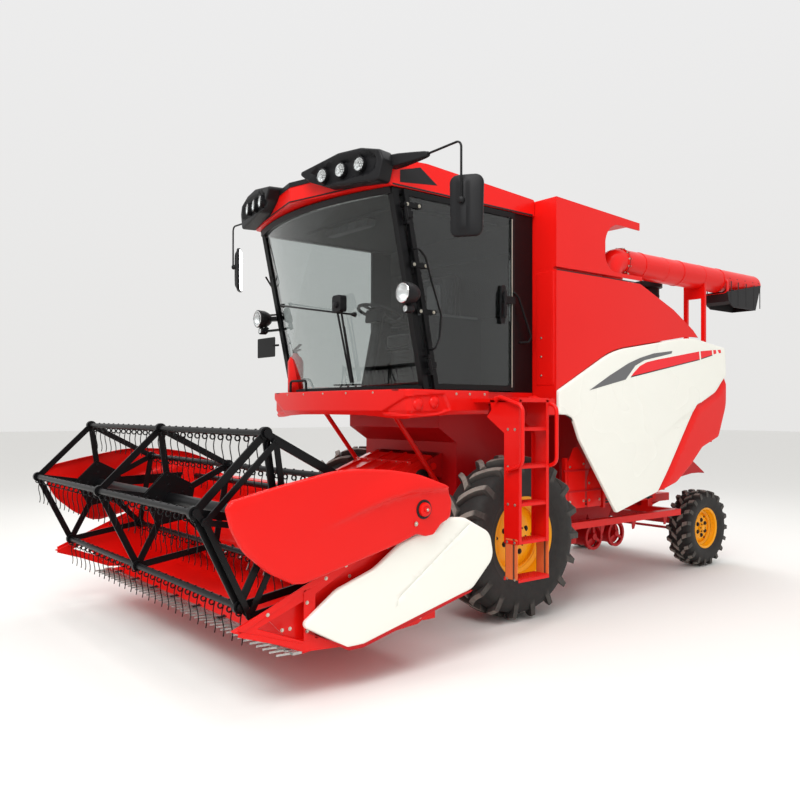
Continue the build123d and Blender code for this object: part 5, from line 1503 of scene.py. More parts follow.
# ---------------------------------------------------------------- side panels and tank
@dataclass
class SideDoor:
    """One of the big hinged side panels: a white field, a red tail behind it and stripe films."""
    side: int
    face: float = 1229
    white: tuple = ((330, 1612, 26), (330, 1806, 20), (1060, 2165, 1200), (2250, 2345, 1500), (2872, 2270, 46),
                    (2886, 1990, 8), (2826, 1950, 60), (2687, 1826, 160), (2437, 1723, 110), (2357, 1700, 40),
                    (2257, 1581, 300), (1874, 1099, 300), (1706, 905, 10), (1092, 759, 30), (593, 1402, 300),
                    (508, 1580, 60), (440, 1609, 40))
    red: tuple = ((2888, 1983, 8), (2884, 1700, 300), (2746, 1389, 60), (2451, 1292, 60), (2246, 1126, 200),
                  (2010, 977, 200), (1712, 900, 8), (1879, 1095, 300), (2262, 1577, 300), (2361, 1695, 40),
                  (2440, 1718, 110), (2690, 1821, 160), (2829, 1945, 60))
    seam: tuple = ((1709, 903), (1874, 1097), (2257, 1581), (2357, 1700), (2437, 1723), (2687, 1826),
                   (2826, 1950), (2888, 1986))
    fold: tuple = ((2480, 1748), (2357, 1691), (2081, 1582), (1818, 1457), (1500, 1330))
    tail_fall: float = 27           # how far the red tail slopes in towards the seam
    tail_slope: float = 66          # width of that slope
    fold_fall: float = 7            # how far the white falls below its soft fold
    film_lift: float = 1.2          # the films' height over the white
    edge: tuple = ((452, 1601), (510, 1572), (598, 1400), (1093, 768))
    # ends (y, z) of the ribs behind the panel
    ribs: tuple = ((420, 1640, 2700, 2130), (1100, 830, 1160, 2050), (2100, 1500, 2160, 2180), (600, 1500, 2060, 1500))
    stripes: tuple = (
        (GREY_STRIPE, ((715, 1813), (1215, 1915), (1258, 1953), (1358, 2042), (1496, 2096), (1920, 2174),
                       (1933, 2199), (1637, 2163), (1426, 2113), (1257, 2059), (979, 1940))),
        (RED_STRIPE, ((1296, 1944), (1326, 1972), (1426, 2041), (1531, 2079), (1672, 2105), (2387, 2215),
                      (2399, 2142))),
        (RED_STRIPE, ((2412, 2219), (2424, 2149), (2623, 2193), (2615, 2238))),
        (RED_STRIPE, ((2640, 2240), (2650, 2199), (2698, 2209), (2690, 2244))),
        (RED_STRIPE, ((2722, 2245), (2750, 2213), (2786, 2221), (2778, 2250))),
        (DARK_STRIPE, ((1290, 1935), (2401, 2134), (2399, 2142), (1300, 1947))),
        (DARK_STRIPE, ((2424, 2140), (2625, 2185), (2623, 2193), (2424, 2149))))

    def white_relief(self, p: Vector) -> float:
        """A soft fold across the white field, below which the sheet falls away.

        Args:
            p: the point's (y, z).

        Returns:
            The height of the sheet there.
        """
        gap, off = gap_to(self.fold, p, closed=False)
        strength = eased((p.x - 1500) / 700)
        fall = self.fold_fall * strength * (eased(gap / 34) if off.y < 0 else 0)
        return -fall * (1 - eased((gap - 34) / 420))

    def tail_relief(self, p: Vector) -> float:
        """The tail slopes in towards the seam from a crisp crease."""
        gap = gap_to(self.seam, p, closed=False)[0]
        return -self.tail_fall * max(0.0, 1 - gap / self.tail_slope)

    def build(self) -> None:
        """Builds the two pressings, films, seal and inner ribs of one side."""
        word = "left" if self.side > 0 else "right"
        body = f"{word}_side_door"
        white = Pressing(self.white, self.face, roll=9, flange=26, grid=46, relief=self.white_relief,
                         lines=beside(self.fold, (-34, -22, -10, 0, 10, 34), 30))
        tail = Pressing(self.red, self.face, roll=7, flange=26, grid=40, relief=self.tail_relief,
                        lines=beside(self.seam, (self.tail_slope, -self.tail_slope, 30, -30), 26))
        pieces = ((white, "white_side_panel", WHITE, (f"side_door_{word}",)), (tail, "red_tail_panel", RED, ()))
        for pressing, name, finish, replaced in pieces:
            place_panel(self.on_side(pressing.stock()), f"{word}_{name}", finish, body, replaced, 3)
        for k, (finish, shape) in enumerate(self.stripes):
            place_panel(self.on_side(self.film(shape)), f"{word}_stripe_film_{k + 1}", finish, body, sheet=0.6)
        seal, ribs = Stock(), Stock()
        run = rounded([(y, z, 70) for y, z in self.edge], 20, closed=False)
        seal.pipe([(self.side * (self.face - 20), y + 10, z - 1) for y, z in run], 7, 8)
        place(seal, f"{word}_panel_edge_seal", RUBBER, body, smooth=60)
        x = self.side * (self.face - 14)
        for y0, z0, y1, z1 in self.ribs:
            ribs.bar((x, y0, z0), (x, y1, z1), 30, 18)
        place(ribs, f"{word}_panel_inner_ribs", WHITE, body, bevel=1)

    def on_side(self, stock: Stock) -> Stock:
        """The same stock on this panel's side of the machine."""
        return stock if self.side > 0 else stock.mirror()

    def film(self, shape: tuple) -> Stock:
        """A stripe film lying on the white field.

        Args:
            shape: its corners (y, z).

        Returns:
            The film, for the left side.
        """
        line = [Vector(p) for p in shape]
        points, faces = filled(divided(line + line[:1], 30)[:-1], gridded(line, 40, 12, False))
        stock = Stock()
        stock.put([Vector((self.face + self.white_relief(p) + self.film_lift, p.x, p.y)) for p in points], faces)
        stock.face_along(Vector((1, 0, 0)))
        return stock


@dataclass
class TankDress:
    """Pressed corner panels, seams, screws and the black joint line round the grain tank."""
    front: float = 330
    side_face: float = 1200
    corner: tuple = (985, 1180, 1850, 2780)     # inner, outer, lowest and highest edge
    front_screws: Triple = (2240, 2086, 1931)   # heights
    side_screws: tuple = (380, 700, 1020, 1340)

    def build(self) -> None:
        """Builds the tank's dress on both sides."""
        screws, seams = Stock(), Stock()
        inner, outer, low, high = self.corner
        for side in (1, -1):
            corner = [(side * u, v, 20) for u, v in ((inner, low), (inner, high), (outer, high), (outer, low))]
            panel = Pressing(corner, self.front - 5, -1, Flat.FRONT, roll=5, flange=5, grid=60)
            place_panel(panel.stock(), f"tank_corner_panel_{'left' if side > 0 else 'right'}", RED, "root",
                        sheet=3)
            for z in self.front_screws:
                screws.bolt((side * 1044, self.front - 5, z), FORWARDS, 12)
            seams.prism(rectangle((332, 2783), (1470, 2790)), side * (self.side_face - 4),
                        side * (self.side_face + 1.5))
            for y in self.side_screws:
                screws.bolt((side * (self.side_face - 34), y, 2860), (side, 0, 0), 12)
        place(screws, "tank_screws", ZINC, "root")
        place(seams, "tank_cover_joint_line", RUBBER, "root")


# ---------------------------------------------------------------- cab
@dataclass
class Chin:
    """The faceted red bumper round the cab's floor, with a pressed pocket and two domes on each side."""
    half: float = 976
    back: float = -214
    nose: float = -1130             # its front in the middle; the front bows back from there
    bow: float = 1.05e-4
    corner: float = 70
    top: float = 1800
    waist: float = 1642             # below it the sheet tucks in
    # distance along the plan from the rear end, height of the lowest edge, how far it tucks in
    foot: tuple = ((0, 1615, 9), (400, 1611, 12), (680, 1593, 26), (860, 1581, 30), (1000, 1585, 28),
                   (1150, 1598, 22), (1300, 1607, 16), (2000, 1612, 14))
    inner: float = 60               # depth of the ledge on its top
    pitch: float = 11
    pocket: tuple = ((976, -606, 1649), (976, -672, 1773), (976, -960, 1753), (930, -1040, 1742),
                     (723, -1076, 1642), (697, -1079, 1618), (900, -1046, 1606), (976, -860, 1604),
                     (976, -738, 1612))
    pocket_depth: float = 17
    wall: float = 13                # width of the pocket's sloping wall
    dome_radius: float = 47
    domes: tuple = ((-929, 1686), (-772, 1704))
    side_bolts: Triple = (-260, -420, -560)
    front_bolts: tuple = (-620, -310, 0, 310, 620)

    def plan(self) -> list[tuple[float, Vector]]:
        """The outer face seen from above.

        Returns:
            (distance along it, point) from the rear end to the nose.
        """
        front = [(Vector((x, self.nose + self.bow * x * x)), 0) for x in range(860, -1, -60)]
        turn = Vector((self.half, self.nose + self.bow * self.half ** 2))
        line = rounded([(Vector((self.half, self.back)), 0), (turn, self.corner)] + front, 6, closed=False)
        made, run = [], 0.0
        for a, b in zip(line, line[1:]):
            parts = max(1, ceil((b - a).length / self.pitch))
            made.extend((run + (b - a).length * k / parts, a.lerp(b, k / parts)) for k in range(parts))
            run += (b - a).length
        made.append((run, line[-1]))
        return made

    def foot_at(self, run: float) -> Pair:
        """The bumper's lowest edge.

        Args:
            run: distance along the plan.

        Returns:
            The edge's height and tuck there.
        """
        for (a, z0, t0), (b, z1, t1) in zip(self.foot, self.foot[1:]):
            if run <= b:
                share = (run - a) / (b - a)
                return z0 + (z1 - z0) * share, t0 + (t1 - t0) * share
        return self.foot[-1][1], self.foot[-1][2]

    def section(self, run: float) -> list[Pair]:
        """The sheet's section.

        Args:
            run: distance along the plan.

        Returns:
            (depth behind the face, height) from the ledge on top to the lower lip.
        """
        low, tuck = self.foot_at(run)
        line = [(self.inner, self.top - 4), (9, self.top), (2, self.top - 3)]
        steps = ceil((self.top - 10 - self.waist) / self.pitch)
        line += [(0, self.top - 10 + (self.waist - self.top + 10) * k / steps) for k in range(steps + 1)]
        line += [(tuck * share, self.waist + (low + 8 - self.waist) * share) for share in (0.25, 0.5, 0.75, 1.0)]
        return line + [(tuck + 5, low), (tuck + 24, low + 2)]

    def build(self) -> None:
        """Builds the bumper's skin, its domes and its fastenings."""
        skin = self.skin()
        place_panel(skin, "pressed_cab_bumper", RED, "root", ("cab_bumper",), 4, smooth=30)
        domes, bolts = Stock(), Stock()
        r = self.dome_radius
        profile = [(-6, 0), (-6, r), (2, r), (7, r * 0.94), (14, r * 0.78), (19, r * 0.52), (21, 0)]
        for side in (1, -1):
            for y, z in self.domes:
                domes.turned(profile, (side * (self.half - self.pocket_depth), y, z), (side, 0, 0), 36)
            for y in self.side_bolts:
                bolts.bolt((side * (self.half - 0.5), y, 1770), (side, 0, 0), 13)
        for x in self.front_bolts:
            bolts.bolt((x, self.nose + self.bow * x * x + 1, 1778), FORWARDS, 11)
        place(domes, "bumper_domes", RED, "root", smooth=50)
        place(bolts, "bumper_bolts", ZINC, "root")

    def skin(self) -> Stock:
        """Presses the sheet: its section swept along the plan, with the pocket sunk in it.

        Returns:
            The bumper's skin.
        """
        plan = self.plan()
        outline = []
        for x, y, z in self.pocket:
            nearest = min(plan, key=lambda station: (station[1] - Vector((x, y))).length)
            outline.append(Vector((nearest[0], z)))
        outline = rounded([(p, 16) for p in outline], 8)
        loops = []
        for i, (run, p) in enumerate(plan):
            along = (plan[min(i + 1, len(plan) - 1)][1] - plan[max(i - 1, 0)][1]).normalized()
            out = Vector((-along.y, along.x))
            if out.dot(p) < 0:
                out = -out
            loop = []
            for depth, z in self.section(run):
                here = Vector((run, z))
                if depth < self.inner - 1 and inside(outline, here):
                    depth += self.pocket_depth * eased(gap_to(outline, here)[0] / self.wall)
                loop.append(Vector((p.x - out.x * depth, p.y - out.y * depth, z)))
            loops.append(loop)
        loops += [[Vector((-p.x, p.y, p.z)) for p in loop] for loop in loops[-2::-1]]
        skin = Stock()
        size = len(loops[0])
        faces = []
        for i in range(len(loops) - 1):
            faces.extend([i * size + k, i * size + k + 1, (i + 1) * size + k + 1, (i + 1) * size + k]
                         for k in range(size - 1))
        skin.put([p for loop in loops for p in loop], faces)
        skin.face_along(Vector((1, 0, 0)), 3)
        return skin


@dataclass
class WorkLamp:
    """A round work lamp: bezel, bowl, a honeycomb of diodes and a clear lens."""
    radius: float = 55
    depth: float = 36

    def add_to(self, trims: Stock, bowls: Stock, cells: Stock, lenses: Stock, at: Vector, way: Triple) -> None:
        """Adds one lamp.

        Args:
            trims, bowls, cells, lenses: where its parts go.
            at: the middle of its rim.
            way: the direction it looks.
        """
        r, d = self.radius, self.depth
        trims.lathe([(-d, r), (6, r), (8, r - 3), (8, r - 6), (2, r - 8), (-d, r - 8)], at, way, 40)
        bowls.turned([(-d, 0), (-d + 2, r * 0.4), (-d * 0.55, r * 0.78), (-2, r - 8), (-3, r - 6),
                      (-d * 0.6, r * 0.84), (-d - 3, r * 0.4), (-d - 3, 0)], at, way, 40)
        axis = Vector(way).normalized()
        side = axis.orthogonal().normalized()
        up = axis.cross(side)
        pitch = r * 0.36
        for i in range(-2, 3):
            for j in range(-2, 3):
                u, v = (i + 0.5 * (j % 2)) * pitch, j * pitch * 0.87
                if hypot(u, v) < r * 0.68:
                    cells.turned([(-4, pitch * 0.44), (0, pitch * 0.42), (4, pitch * 0.3), (6, 0)],
                                 at + side * u + up * v - axis * (d * 0.55), way, 10)
        lenses.turned([(0, 0), (0, r - 7), (3, r - 7), (5, r * 0.5), (6, 0)], at, way, 40)


@dataclass
class RoofWings:
    """The black moulded lamp wings over the windscreen, with three lamps each."""
    yaw: float = 12
    front: float = -1415
    outline: tuple = ((188, 3452, 20), (610, 3526, 120), (830, 3520, 90), (1010, 3474, 24), (1042, 3400, 24),
                      (1002, 3258, 30), (480, 3298, 60), (300, 3368, 90))
    depth: float = 130
    lamps: tuple = ((448, 3386), (632, 3394), (817, 3402))
    trough: float = 30              # how deep the lamps' trough is
    trough_line: tuple = ((400, 3380), (632, 3392), (900, 3398))
    trough_half: float = 58         # half its flat bottom
    trough_wall: float = 22
    strip: tuple = ((0, -1447), (930, -1232))       # ends (x, y) of the strips between the wings
    film: tuple = ((-1112, 3376), (-920, 3428), (-752, 3324), (-1112, 3287))

    def relief(self, p: Vector) -> float:
        """A trough along the lamps."""
        gap = gap_to(self.trough_line, p, closed=False)[0]
        return -self.trough * (1 - eased((gap - self.trough_half) / self.trough_wall))

    def build(self) -> None:
        """Builds both wings with their lamps, the strip between them and the roof's side films."""
        at = (0, self.front, 0)
        pressing = Pressing(self.outline, -self.depth, -1, Flat.FRONT, roll=16, flange=self.depth - 8, grid=24,
                            relief=self.relief)
        place_panel(pressing.stock().swung(self.yaw, at).pair(), "moulded_lamp_wings", PLASTIC, "root",
                    ("roof_visor",), 4)
        trims, bowls, cells, lenses = Stock(), Stock(), Stock(), Stock()
        for x, z in self.lamps:
            WorkLamp().add_to(trims, bowls, cells, lenses, Vector((x, -self.depth - 2, z)), FORWARDS)
        for stock, name, finish, replaced in ((trims, "wing_lamp_bezels", PLASTIC, ()),
                                              (bowls, "wing_lamp_bowls", SATIN, ()),
                                              (cells, "wing_lamp_diodes", MIRROR, ()),
                                              (lenses, "wing_lamp_lenses", LENS, ("lamps",))):
            place(stock.swung(self.yaw, at).pair(), name, finish, "root", replaced, smooth=50)
        strip, edge = Stock(), Stock()
        for side in (1, -1):
            a, b = (Vector((side * x, y)) for x, y in self.strip)
            run = (b - a).normalized()
            out = (Vector((0, -1)) - run * run.dot(Vector((0, -1)))).normalized() * 5
            for low, high in ((3398, 3436), (3279, 3288)):
                strip.prism([a, b, b + out, a + out], low, high, Flat.TOP)
            edge.prism(self.film, side * 971.5, side * 973)
            edge.pipe([(side * 968, -1180, 3266), (side * 968, 300, 3262)], 8, 8)
        place(strip, "roof_front_strips", PLASTIC, "root", bevel=1)
        place(edge, "roof_side_films_and_drip_seals", RUBBER, "root")


@dataclass
class Headlamps:
    """The two lamp pods on the cab's front pillars: a big chrome-ringed lamp over a small one."""
    at: Triple = (1052, -1150, 2478)
    radius: float = 80
    length: float = 138

    def build(self) -> None:
        """Builds both pods."""
        shells, rings, bowls, lenses, ambers = Stock(), Stock(), Stock(), Stock(), Stock()
        x, y, z = self.at
        r, back, at = self.radius, self.length, Vector(self.at)
        shells.turned([(-back, 0), (-back, r * 0.3), (-back * 0.93, r * 0.55), (-back * 0.75, r * 0.8),
                       (-back * 0.45, r * 0.97), (-6, r), (0, r - 2), (0, r - 8), (-8, r - 8),
                       (-back * 0.42, r * 0.88), (-back * 0.7, r * 0.72), (-back * 0.9, r * 0.4),
                       (-back + 6, 0)], at, FORWARDS, 48)
        rings.lathe([(-2, r - 9), (4, r - 8), (7, r - 11), (6, r - 15), (-4, r - 16)], at, FORWARDS, 48)
        bowls.turned([(-60, 0), (-58, 20), (-44, 42), (-20, r - 18), (-4, r - 15), (-6, r - 13), (-24, r - 15),
                      (-50, 42), (-64, 20), (-64, 0)], at, FORWARDS, 48)
        bowls.turned([(-58, 0), (-58, 9), (-34, 9), (-30, 6), (-29, 0)], at, FORWARDS)
        lenses.turned([(-2, 0), (-2, r - 15), (2, r - 15), (8, r * 0.55), (10, 0)], at, FORWARDS, 48)
        small = at + Vector((-4, 24, -r - 30))
        shells.turned([(-78, 0), (-78, 16), (-60, 30), (-5, 32), (0, 30), (0, 24), (-10, 22), (-50, 0)], small,
                      FORWARDS, 36)
        bowls.turned([(-34, 0), (-30, 12), (-8, 22), (-9, 23), (-32, 14), (-36, 0)], small, FORWARDS, 30)
        ambers.turned([(-4, 0), (-4, 24), (2, 23), (7, 14), (8, 0)], small, FORWARDS, 36)
        shells.bar((x - 20, y + 90, z - r + 6), (x - 20, y + 70, z - r - 24), 34, 26)
        brackets = Stock()
        brackets.bar((x - 20, y + 100, z), (940, y + 150, z), 40, 60, REARWARDS)
        brackets.bar((x - 10, y + 80, z - r - 30), (940, y + 160, z - r - 20), 18, 30, REARWARDS)
        for stock, name, finish in ((shells, "headlamp_shells", PLASTIC), (rings, "headlamp_chrome_rings", MIRROR),
                                    (bowls, "headlamp_bowls", SATIN), (lenses, "headlamp_lenses", LENS),
                                    (ambers, "headlamp_small_lenses", LENS),
                                    (brackets, "headlamp_brackets", BLACK)):
            place(stock.pair(), name, finish, "root", smooth=45)


@dataclass
class Mirrors:
    """Rear-view mirrors: a ribbed shell on a bent rod from the wing's outer end."""
    head: Triple = (1598, -1049, 3005)
    size: Pair = (232, 410)
    yaw: float = 35
    dome: float = 26
    ridge: float = 13
    # the arm's stations: x, height, depth; it starts at (x, y, z) root and runs out by slope (y, z) for each mm
    arm: tuple = ((955, 92, 96), (1060, 84, 88), (1180, 64, 58), (1262, 46, 40), (1288, 34, 30))
    root: Triple = (955, -1190, 3415)
    slope: Pair = (0.23, -0.01)
    rod: tuple = ((1270, -1118, 3412, 0), (1610, -1109, 3424, 44), (1610, -1109, 3028, 0))
    rod_radius: float = 8
    ball: Triple = (1610, -1109, 3032)

    def relief(self, p: Vector) -> float:
        """A domed back with an upright ridge and a shallow channel beside it.

        Args:
            p: the point, from the head's middle.

        Returns:
            The height of the back there.
        """
        half_u, half_v = self.size[0] / 2, self.size[1] / 2
        dome = self.dome * (1 - (p.x / half_u) ** 2 * 0.8) * (1 - (p.y / half_v) ** 4 * 0.5)
        ridge = self.ridge * (1 - eased((abs(p.x + 18 + 0.02 * p.y) - 22) / 14))
        return dome + ridge * (1 - eased((abs(p.y) - half_v * 0.72) / 40))

    def build(self) -> None:
        """Builds both mirrors with their arms."""
        half_u, half_v = self.size[0] / 2, self.size[1] / 2
        outline = [(-half_u + 8, -half_v, 44), (half_u - 8, -half_v, 50), (half_u, half_v, 56),
                   (-half_u, half_v, 56)]
        shell = Pressing(outline, -4, -1, Flat.FRONT, roll=10, flange=20, grid=16, relief=self.relief)
        glass, backing, arms, rods, joints = Stock(), Stock(), Stock(), Stock(), Stock()
        glass.prism(rounded([(u * 0.93, v * 0.95, r * 0.9) for u, v, r in outline], 10), 12, 16, Flat.FRONT)
        backing.prism(rounded([(u * 0.97, v * 0.98, r) for u, v, r in outline], 10), 4, 13, Flat.FRONT)
        loops, start = [], Vector(self.root)
        for x, height, depth in self.arm:
            out = x - start.x
            corners = rectangle((-depth / 2, -height / 2), (depth / 2, height / 2), 12, 8)
            loops.append([start + Vector((out, out * self.slope[0] + c.x, out * self.slope[1] + c.y))
                          for c in corners])
        arms.rings(loops)
        rods.pipe(bent(self.rod, 8), self.rod_radius)
        joints.turned([(-14, 0), (-14, 12), (-8, 20), (4, 24), (12, 22), (20, 30), (30, 30), (30, 0)], self.ball,
                      (-0.57, 0.82, 0), 24)
        for stock, name, finish, replaced, bevel in ((arms, "mirror_arms", PLASTIC, ("mirrors",), 3),
                                                     (rods, "mirror_rods", BLACK, (), 0),
                                                     (joints, "mirror_ball_joints", PLASTIC, (), 0)):
            place(stock.pair(), name, finish, "root", replaced, bevel=bevel, smooth=45)
        place_panel(shell.stock().swung(self.yaw, self.head).pair(), "mirror_shells", PLASTIC, "root", sheet=3)
        for stock, name, finish in ((backing, "mirror_backings", PLASTIC), (glass, "mirror_glasses", MIRROR)):
            place(stock.swung(self.yaw, self.head).pair(), name, finish, "root", bevel=1)


@dataclass
class Cushion:
    """A stuffed seat pad, blown up by a short cloth simulation between stitched lines."""
    name: str
    low: Triple
    high: Triple
    seams: tuple                    # lines that stay down: ("x" or "z" or "y", place, half width)
    bulge: Triple = UP              # the side that swells
    shrink: float = 10
    voxel: float = 9
    pressure: float = 4.0
    most: float = 24                # no point moves further than this
    frames: int = 20

    def settle(self, made: bpy.types.Object) -> bpy.types.Mesh:
        """Applies the pad's modifiers.

        Args:
            made: the pad.

        Returns:
            Its new mesh.
        """
        mesh = baked(made)
        made.modifiers.clear()
        made.vertex_groups.clear()
        made.data = mesh
        return mesh

    def start(self) -> bpy.types.Object:
        """The pad before it is blown up: a rounded block, remeshed.

        Returns:
            The pad.
        """
        stock = Stock()
        low = [v + self.shrink for v in self.low]
        high = [v - self.shrink for v in self.high]
        stock.prism(rectangle(low[:2], high[:2], 40, 10), low[2], high[2], Flat.TOP)
        made = bpy.data.objects.new(self.name, stock.mesh(self.name, bevel=14))
        bpy.context.scene.collection.objects.link(made)
        even = made.modifiers.new("even", "REMESH")
        even.mode = "VOXEL"
        even.voxel_size = self.voxel * MM
        bpy.context.view_layer.update()
        self.settle(made)
        return made

    def held(self, p: Vector) -> bool:
        """Whether a point is stitched down or on the shell's side.

        Args:
            p: the point, in the machine's millimetres.

        Returns:
            True where the cloth doesn't move.
        """
        middle = (Vector(self.low) + Vector(self.high)) / 2
        if (p - middle).dot(Vector(self.bulge)) < -8:
            return True
        return any(abs(p["xyz".index(axis)] - place_on) < half for axis, place_on, half in self.seams)

    def blow(self, made: bpy.types.Object) -> None:
        """Blows the pad up by the pressure inside its cloth.

        Args:
            made: the pad.
        """
        shift = Vector((0, DATUM_Y, 0))
        rest = [v.co.copy() for v in made.data.vertices]
        pins = made.vertex_groups.new(name="stitched")
        pins.add([i for i, p in enumerate(rest) if self.held((p - shift) / MM)], 1.0, "REPLACE")
        cloth = made.modifiers.new("cloth", "CLOTH")
        for name, value in (("vertex_group_mass", "stitched"), ("use_pressure", True),
                            ("uniform_pressure_force", self.pressure), ("quality", 5),
                            ("tension_stiffness", 12), ("bending_stiffness", 0.4)):
            setattr(cloth.settings, name, value)
        cloth.settings.effector_weights.gravity = 0
        cloth.point_cache.frame_start = 1
        cloth.point_cache.frame_end = self.frames
        for number in range(1, self.frames + 1):
            bpy.context.scene.frame_set(number)
        for v, start in zip(self.settle(made).vertices, rest):
            move = v.co - start
            if move.length > self.most * MM:
                v.co = start + move.normalized() * self.most * MM
        bpy.context.scene.frame_set(1)

    def build(self) -> bpy.types.Object:
        """Makes the pad, blows it up and sets it down.

        Returns:
            The pad.
        """
        made = self.start()
        self.blow(made)
        soft = made.modifiers.new("soft", "SUBSURF")
        soft.levels = soft.render_levels = 1
        bpy.context.view_layer.update()
        smooth = self.settle(made)
        smooth.shade_smooth()
        smooth.materials.clear()
        smooth.materials.append(CLOTH.material())
        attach(made, "root")
        log.info("%s: %d faces of cloth", self.name, len(smooth.polygons))
        return made


@dataclass
class CabInside:
    """What is seen through the glass: seat, headliner, rear trim, levers and the extinguisher."""
    bellows: tuple = (1800, 2170, 40)           # heights of the seat's bellows: first, last, pitch
    rear: float = 268                           # the rear trim's front face
    lining_half: float = 885
    radio_knobs: tuple = (-220, -110, 0, 110, 220)
    levers: tuple = ((370, -420, -30), (420, -300, 20), (470, -420, -10), (420, -150, 10))      # x, y, lean
    pedals: Triple = (-110, 0, 110)
    mat_ribs: int = 22
    mat_pitch: float = 58
    bottle: Pair = (-776, -910)
    foot_rail: tuple = ((-700, -1010, 1800, 0), (-700, -1010, 1900, 30), (-430, -1020, 1900, 30),
                        (-430, -1020, 1800, 0))

    def seat(self) -> None:
        """Builds the driver's seat: two cushions, their shell, arm rests and bellows."""
        base = Cushion("seat_base_cushion", (-228, -330, 2196), (228, 128, 2318), (("x", -120, 5), ("x", 120, 5)))
        back = Cushion("seat_back_cushion", (-218, 64, 2330), (218, 172, 2852),
                       (("x", -112, 5), ("x", 112, 5), ("z", 2700, 5)), bulge=FORWARDS)
        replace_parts(base.build(), "driver_seat")
        back.build()
        shell = Stock()
        shell.prism(rounded([(-240, 2180, 30), (240, 2180, 30), (232, 2860, 90), (-232, 2860, 90)], 12), 158, 184,
                    Flat.FRONT)
        shell.prism(rounded([(-236, -320, 50), (236, -320, 50), (236, 184, 30), (-236, 184, 30)], 12), 2180, 2204,
                    Flat.TOP)
        for z in range(*self.bellows):
            shell.prism(rectangle((-178, -250), (178, 76), 30), z, z + 30, Flat.TOP)
        for side in (1, -1):
            shell.prism(rectangle((-220, 2400), (100, 2450), 24, 8), side * 250, side * 292)
        shell.prism(rectangle((-170, -240), (170, 66)), 1792, 2182, Flat.TOP)
        place(shell, "seat_shell_and_suspension", PLASTIC, "root", bevel=3)

    def lining(self) -> None:
        """Builds the headliner and the rear trim."""
        lining, half = Stock(), self.lining_half
        lining.prism(rounded([(-900, 300, 30), (900, 300, 30), (890, -1120, 60), (0, -1290, 900),
                              (-890, -1120, 60)], 20), 3222, 3242, Flat.TOP)
        lining.prism(rounded([(-700, 200, 60), (700, 200, 60), (640, -900, 60), (-640, -900, 60)], 20), 3196, 3224,
                     Flat.TOP)
        trim = [rectangle((-half, 1795), (half, 2440)), rectangle((-half, 2980), (half, 3222))]
        trim += [[(side * half, 2440), (side * half, 2980), (side * 760, 2980), (side * 760, 2440)]
                 for side in (1, -1)]
        for outline in trim:
            lining.prism(outline, self.rear, self.rear + 22, Flat.FRONT)
        place(lining, "cab_lining", HEADLINER, "root", bevel=4)

    def controls(self) -> None:
        """Builds the console panels, levers and pedals."""
        panel, levers = Stock(), Stock()
        panel.prism(rounded([(-300, 3190, 16), (300, 3190, 16), (300, 3130, 16), (-300, 3130, 16)], 8), -900, -820,
                    Flat.FRONT)
        for x in self.radio_knobs:
            panel.turned([(0, 0), (0, 30), (6, 28), (8, 20), (4, 16), (4, 0)], (x, -900, 3160), FORWARDS)
        panel.prism(rectangle((330, -480), (520, 130), 30), 2418, 2440, Flat.TOP)
        panel.prism(rectangle((560, 2440), (690, 2640), 20, 8), -500, -470, Flat.FRONT)
        place(panel, "cab_console_panels", GREY_PLASTIC, "root", bevel=3)
        for x, y, lean in self.levers:
            levers.pipe([(x, y, 2430), (x, y + lean, 2550)], 6, 8)
            levers.turned([(0, 0), (0, 13), (20, 18), (44, 15), (52, 0)], (x, y + lean, 2545), UP, 16)
        for x in self.pedals:
            levers.prism(rectangle((x - 34, -930), (x + 34, -810), 10, 6), 1850, 1862, Flat.TOP)
            levers.pipe([(x, -870, 1855), (x, -900, 1796)], 8, 8)
        levers.prism(rounded([(-90, 2390, 20), (90, 2390, 20), (70, 2500, 20), (-70, 2500, 20)], 8), -640, -600,
                     Flat.FRONT)
        place(levers, "cab_levers_and_pedals", PLASTIC, "root", bevel=1, smooth=50)

    def mat(self) -> None:
        """Builds the ribbed floor mat."""
        mat = Stock()
        mat.prism(rectangle((-880, -1060), (880, 250), 20, 20), 1791, 1797, Flat.TOP)
        for k in range(self.mat_ribs):
            y = -1040 + k * self.mat_pitch
            mat.block((-860, y, 1796), (860, y + 14, 1800))
        place(mat, "cab_floor_mat", RUBBER, "root")

    def extinguisher(self) -> None:
        """Builds the fire extinguisher and the foot rail beside it."""
        bottle, head = Stock(), Stock()
        x, y = self.bottle
        bottle.turned([(0, 0), (0, 66), (8, 72), (280, 72), (318, 56), (340, 30), (360, 22), (360, 0)],
                      (x, y, 1800), UP, 28)
        place(bottle, "extinguisher_bottle", RED, "root", smooth=50)
        head.turned([(0, 0), (0, 17), (40, 17), (44, 0)], (x, y, 2156), UP, 14)
        head.bar((x, y, 2196), (x + 84, y, 2232), 12, 24, REARWARDS)
        head.bar((x, y, 2180), (x + 78, y, 2188), 10, 24, REARWARDS)
        head.turned([(0, 0), (0, 16), (10, 16), (12, 12), (12, 0)], (x, y - 16, 2176), FORWARDS, 16)
        head.pipe(bent(self.foot_rail, 8), 11)
        place(head, "extinguisher_head_and_foot_rail", PLASTIC, "root", smooth=50)

    def build(self) -> None:
        """Builds the cab's inside."""
        self.seat()
        self.lining()
        self.controls()
        self.mat()
        self.extinguisher()


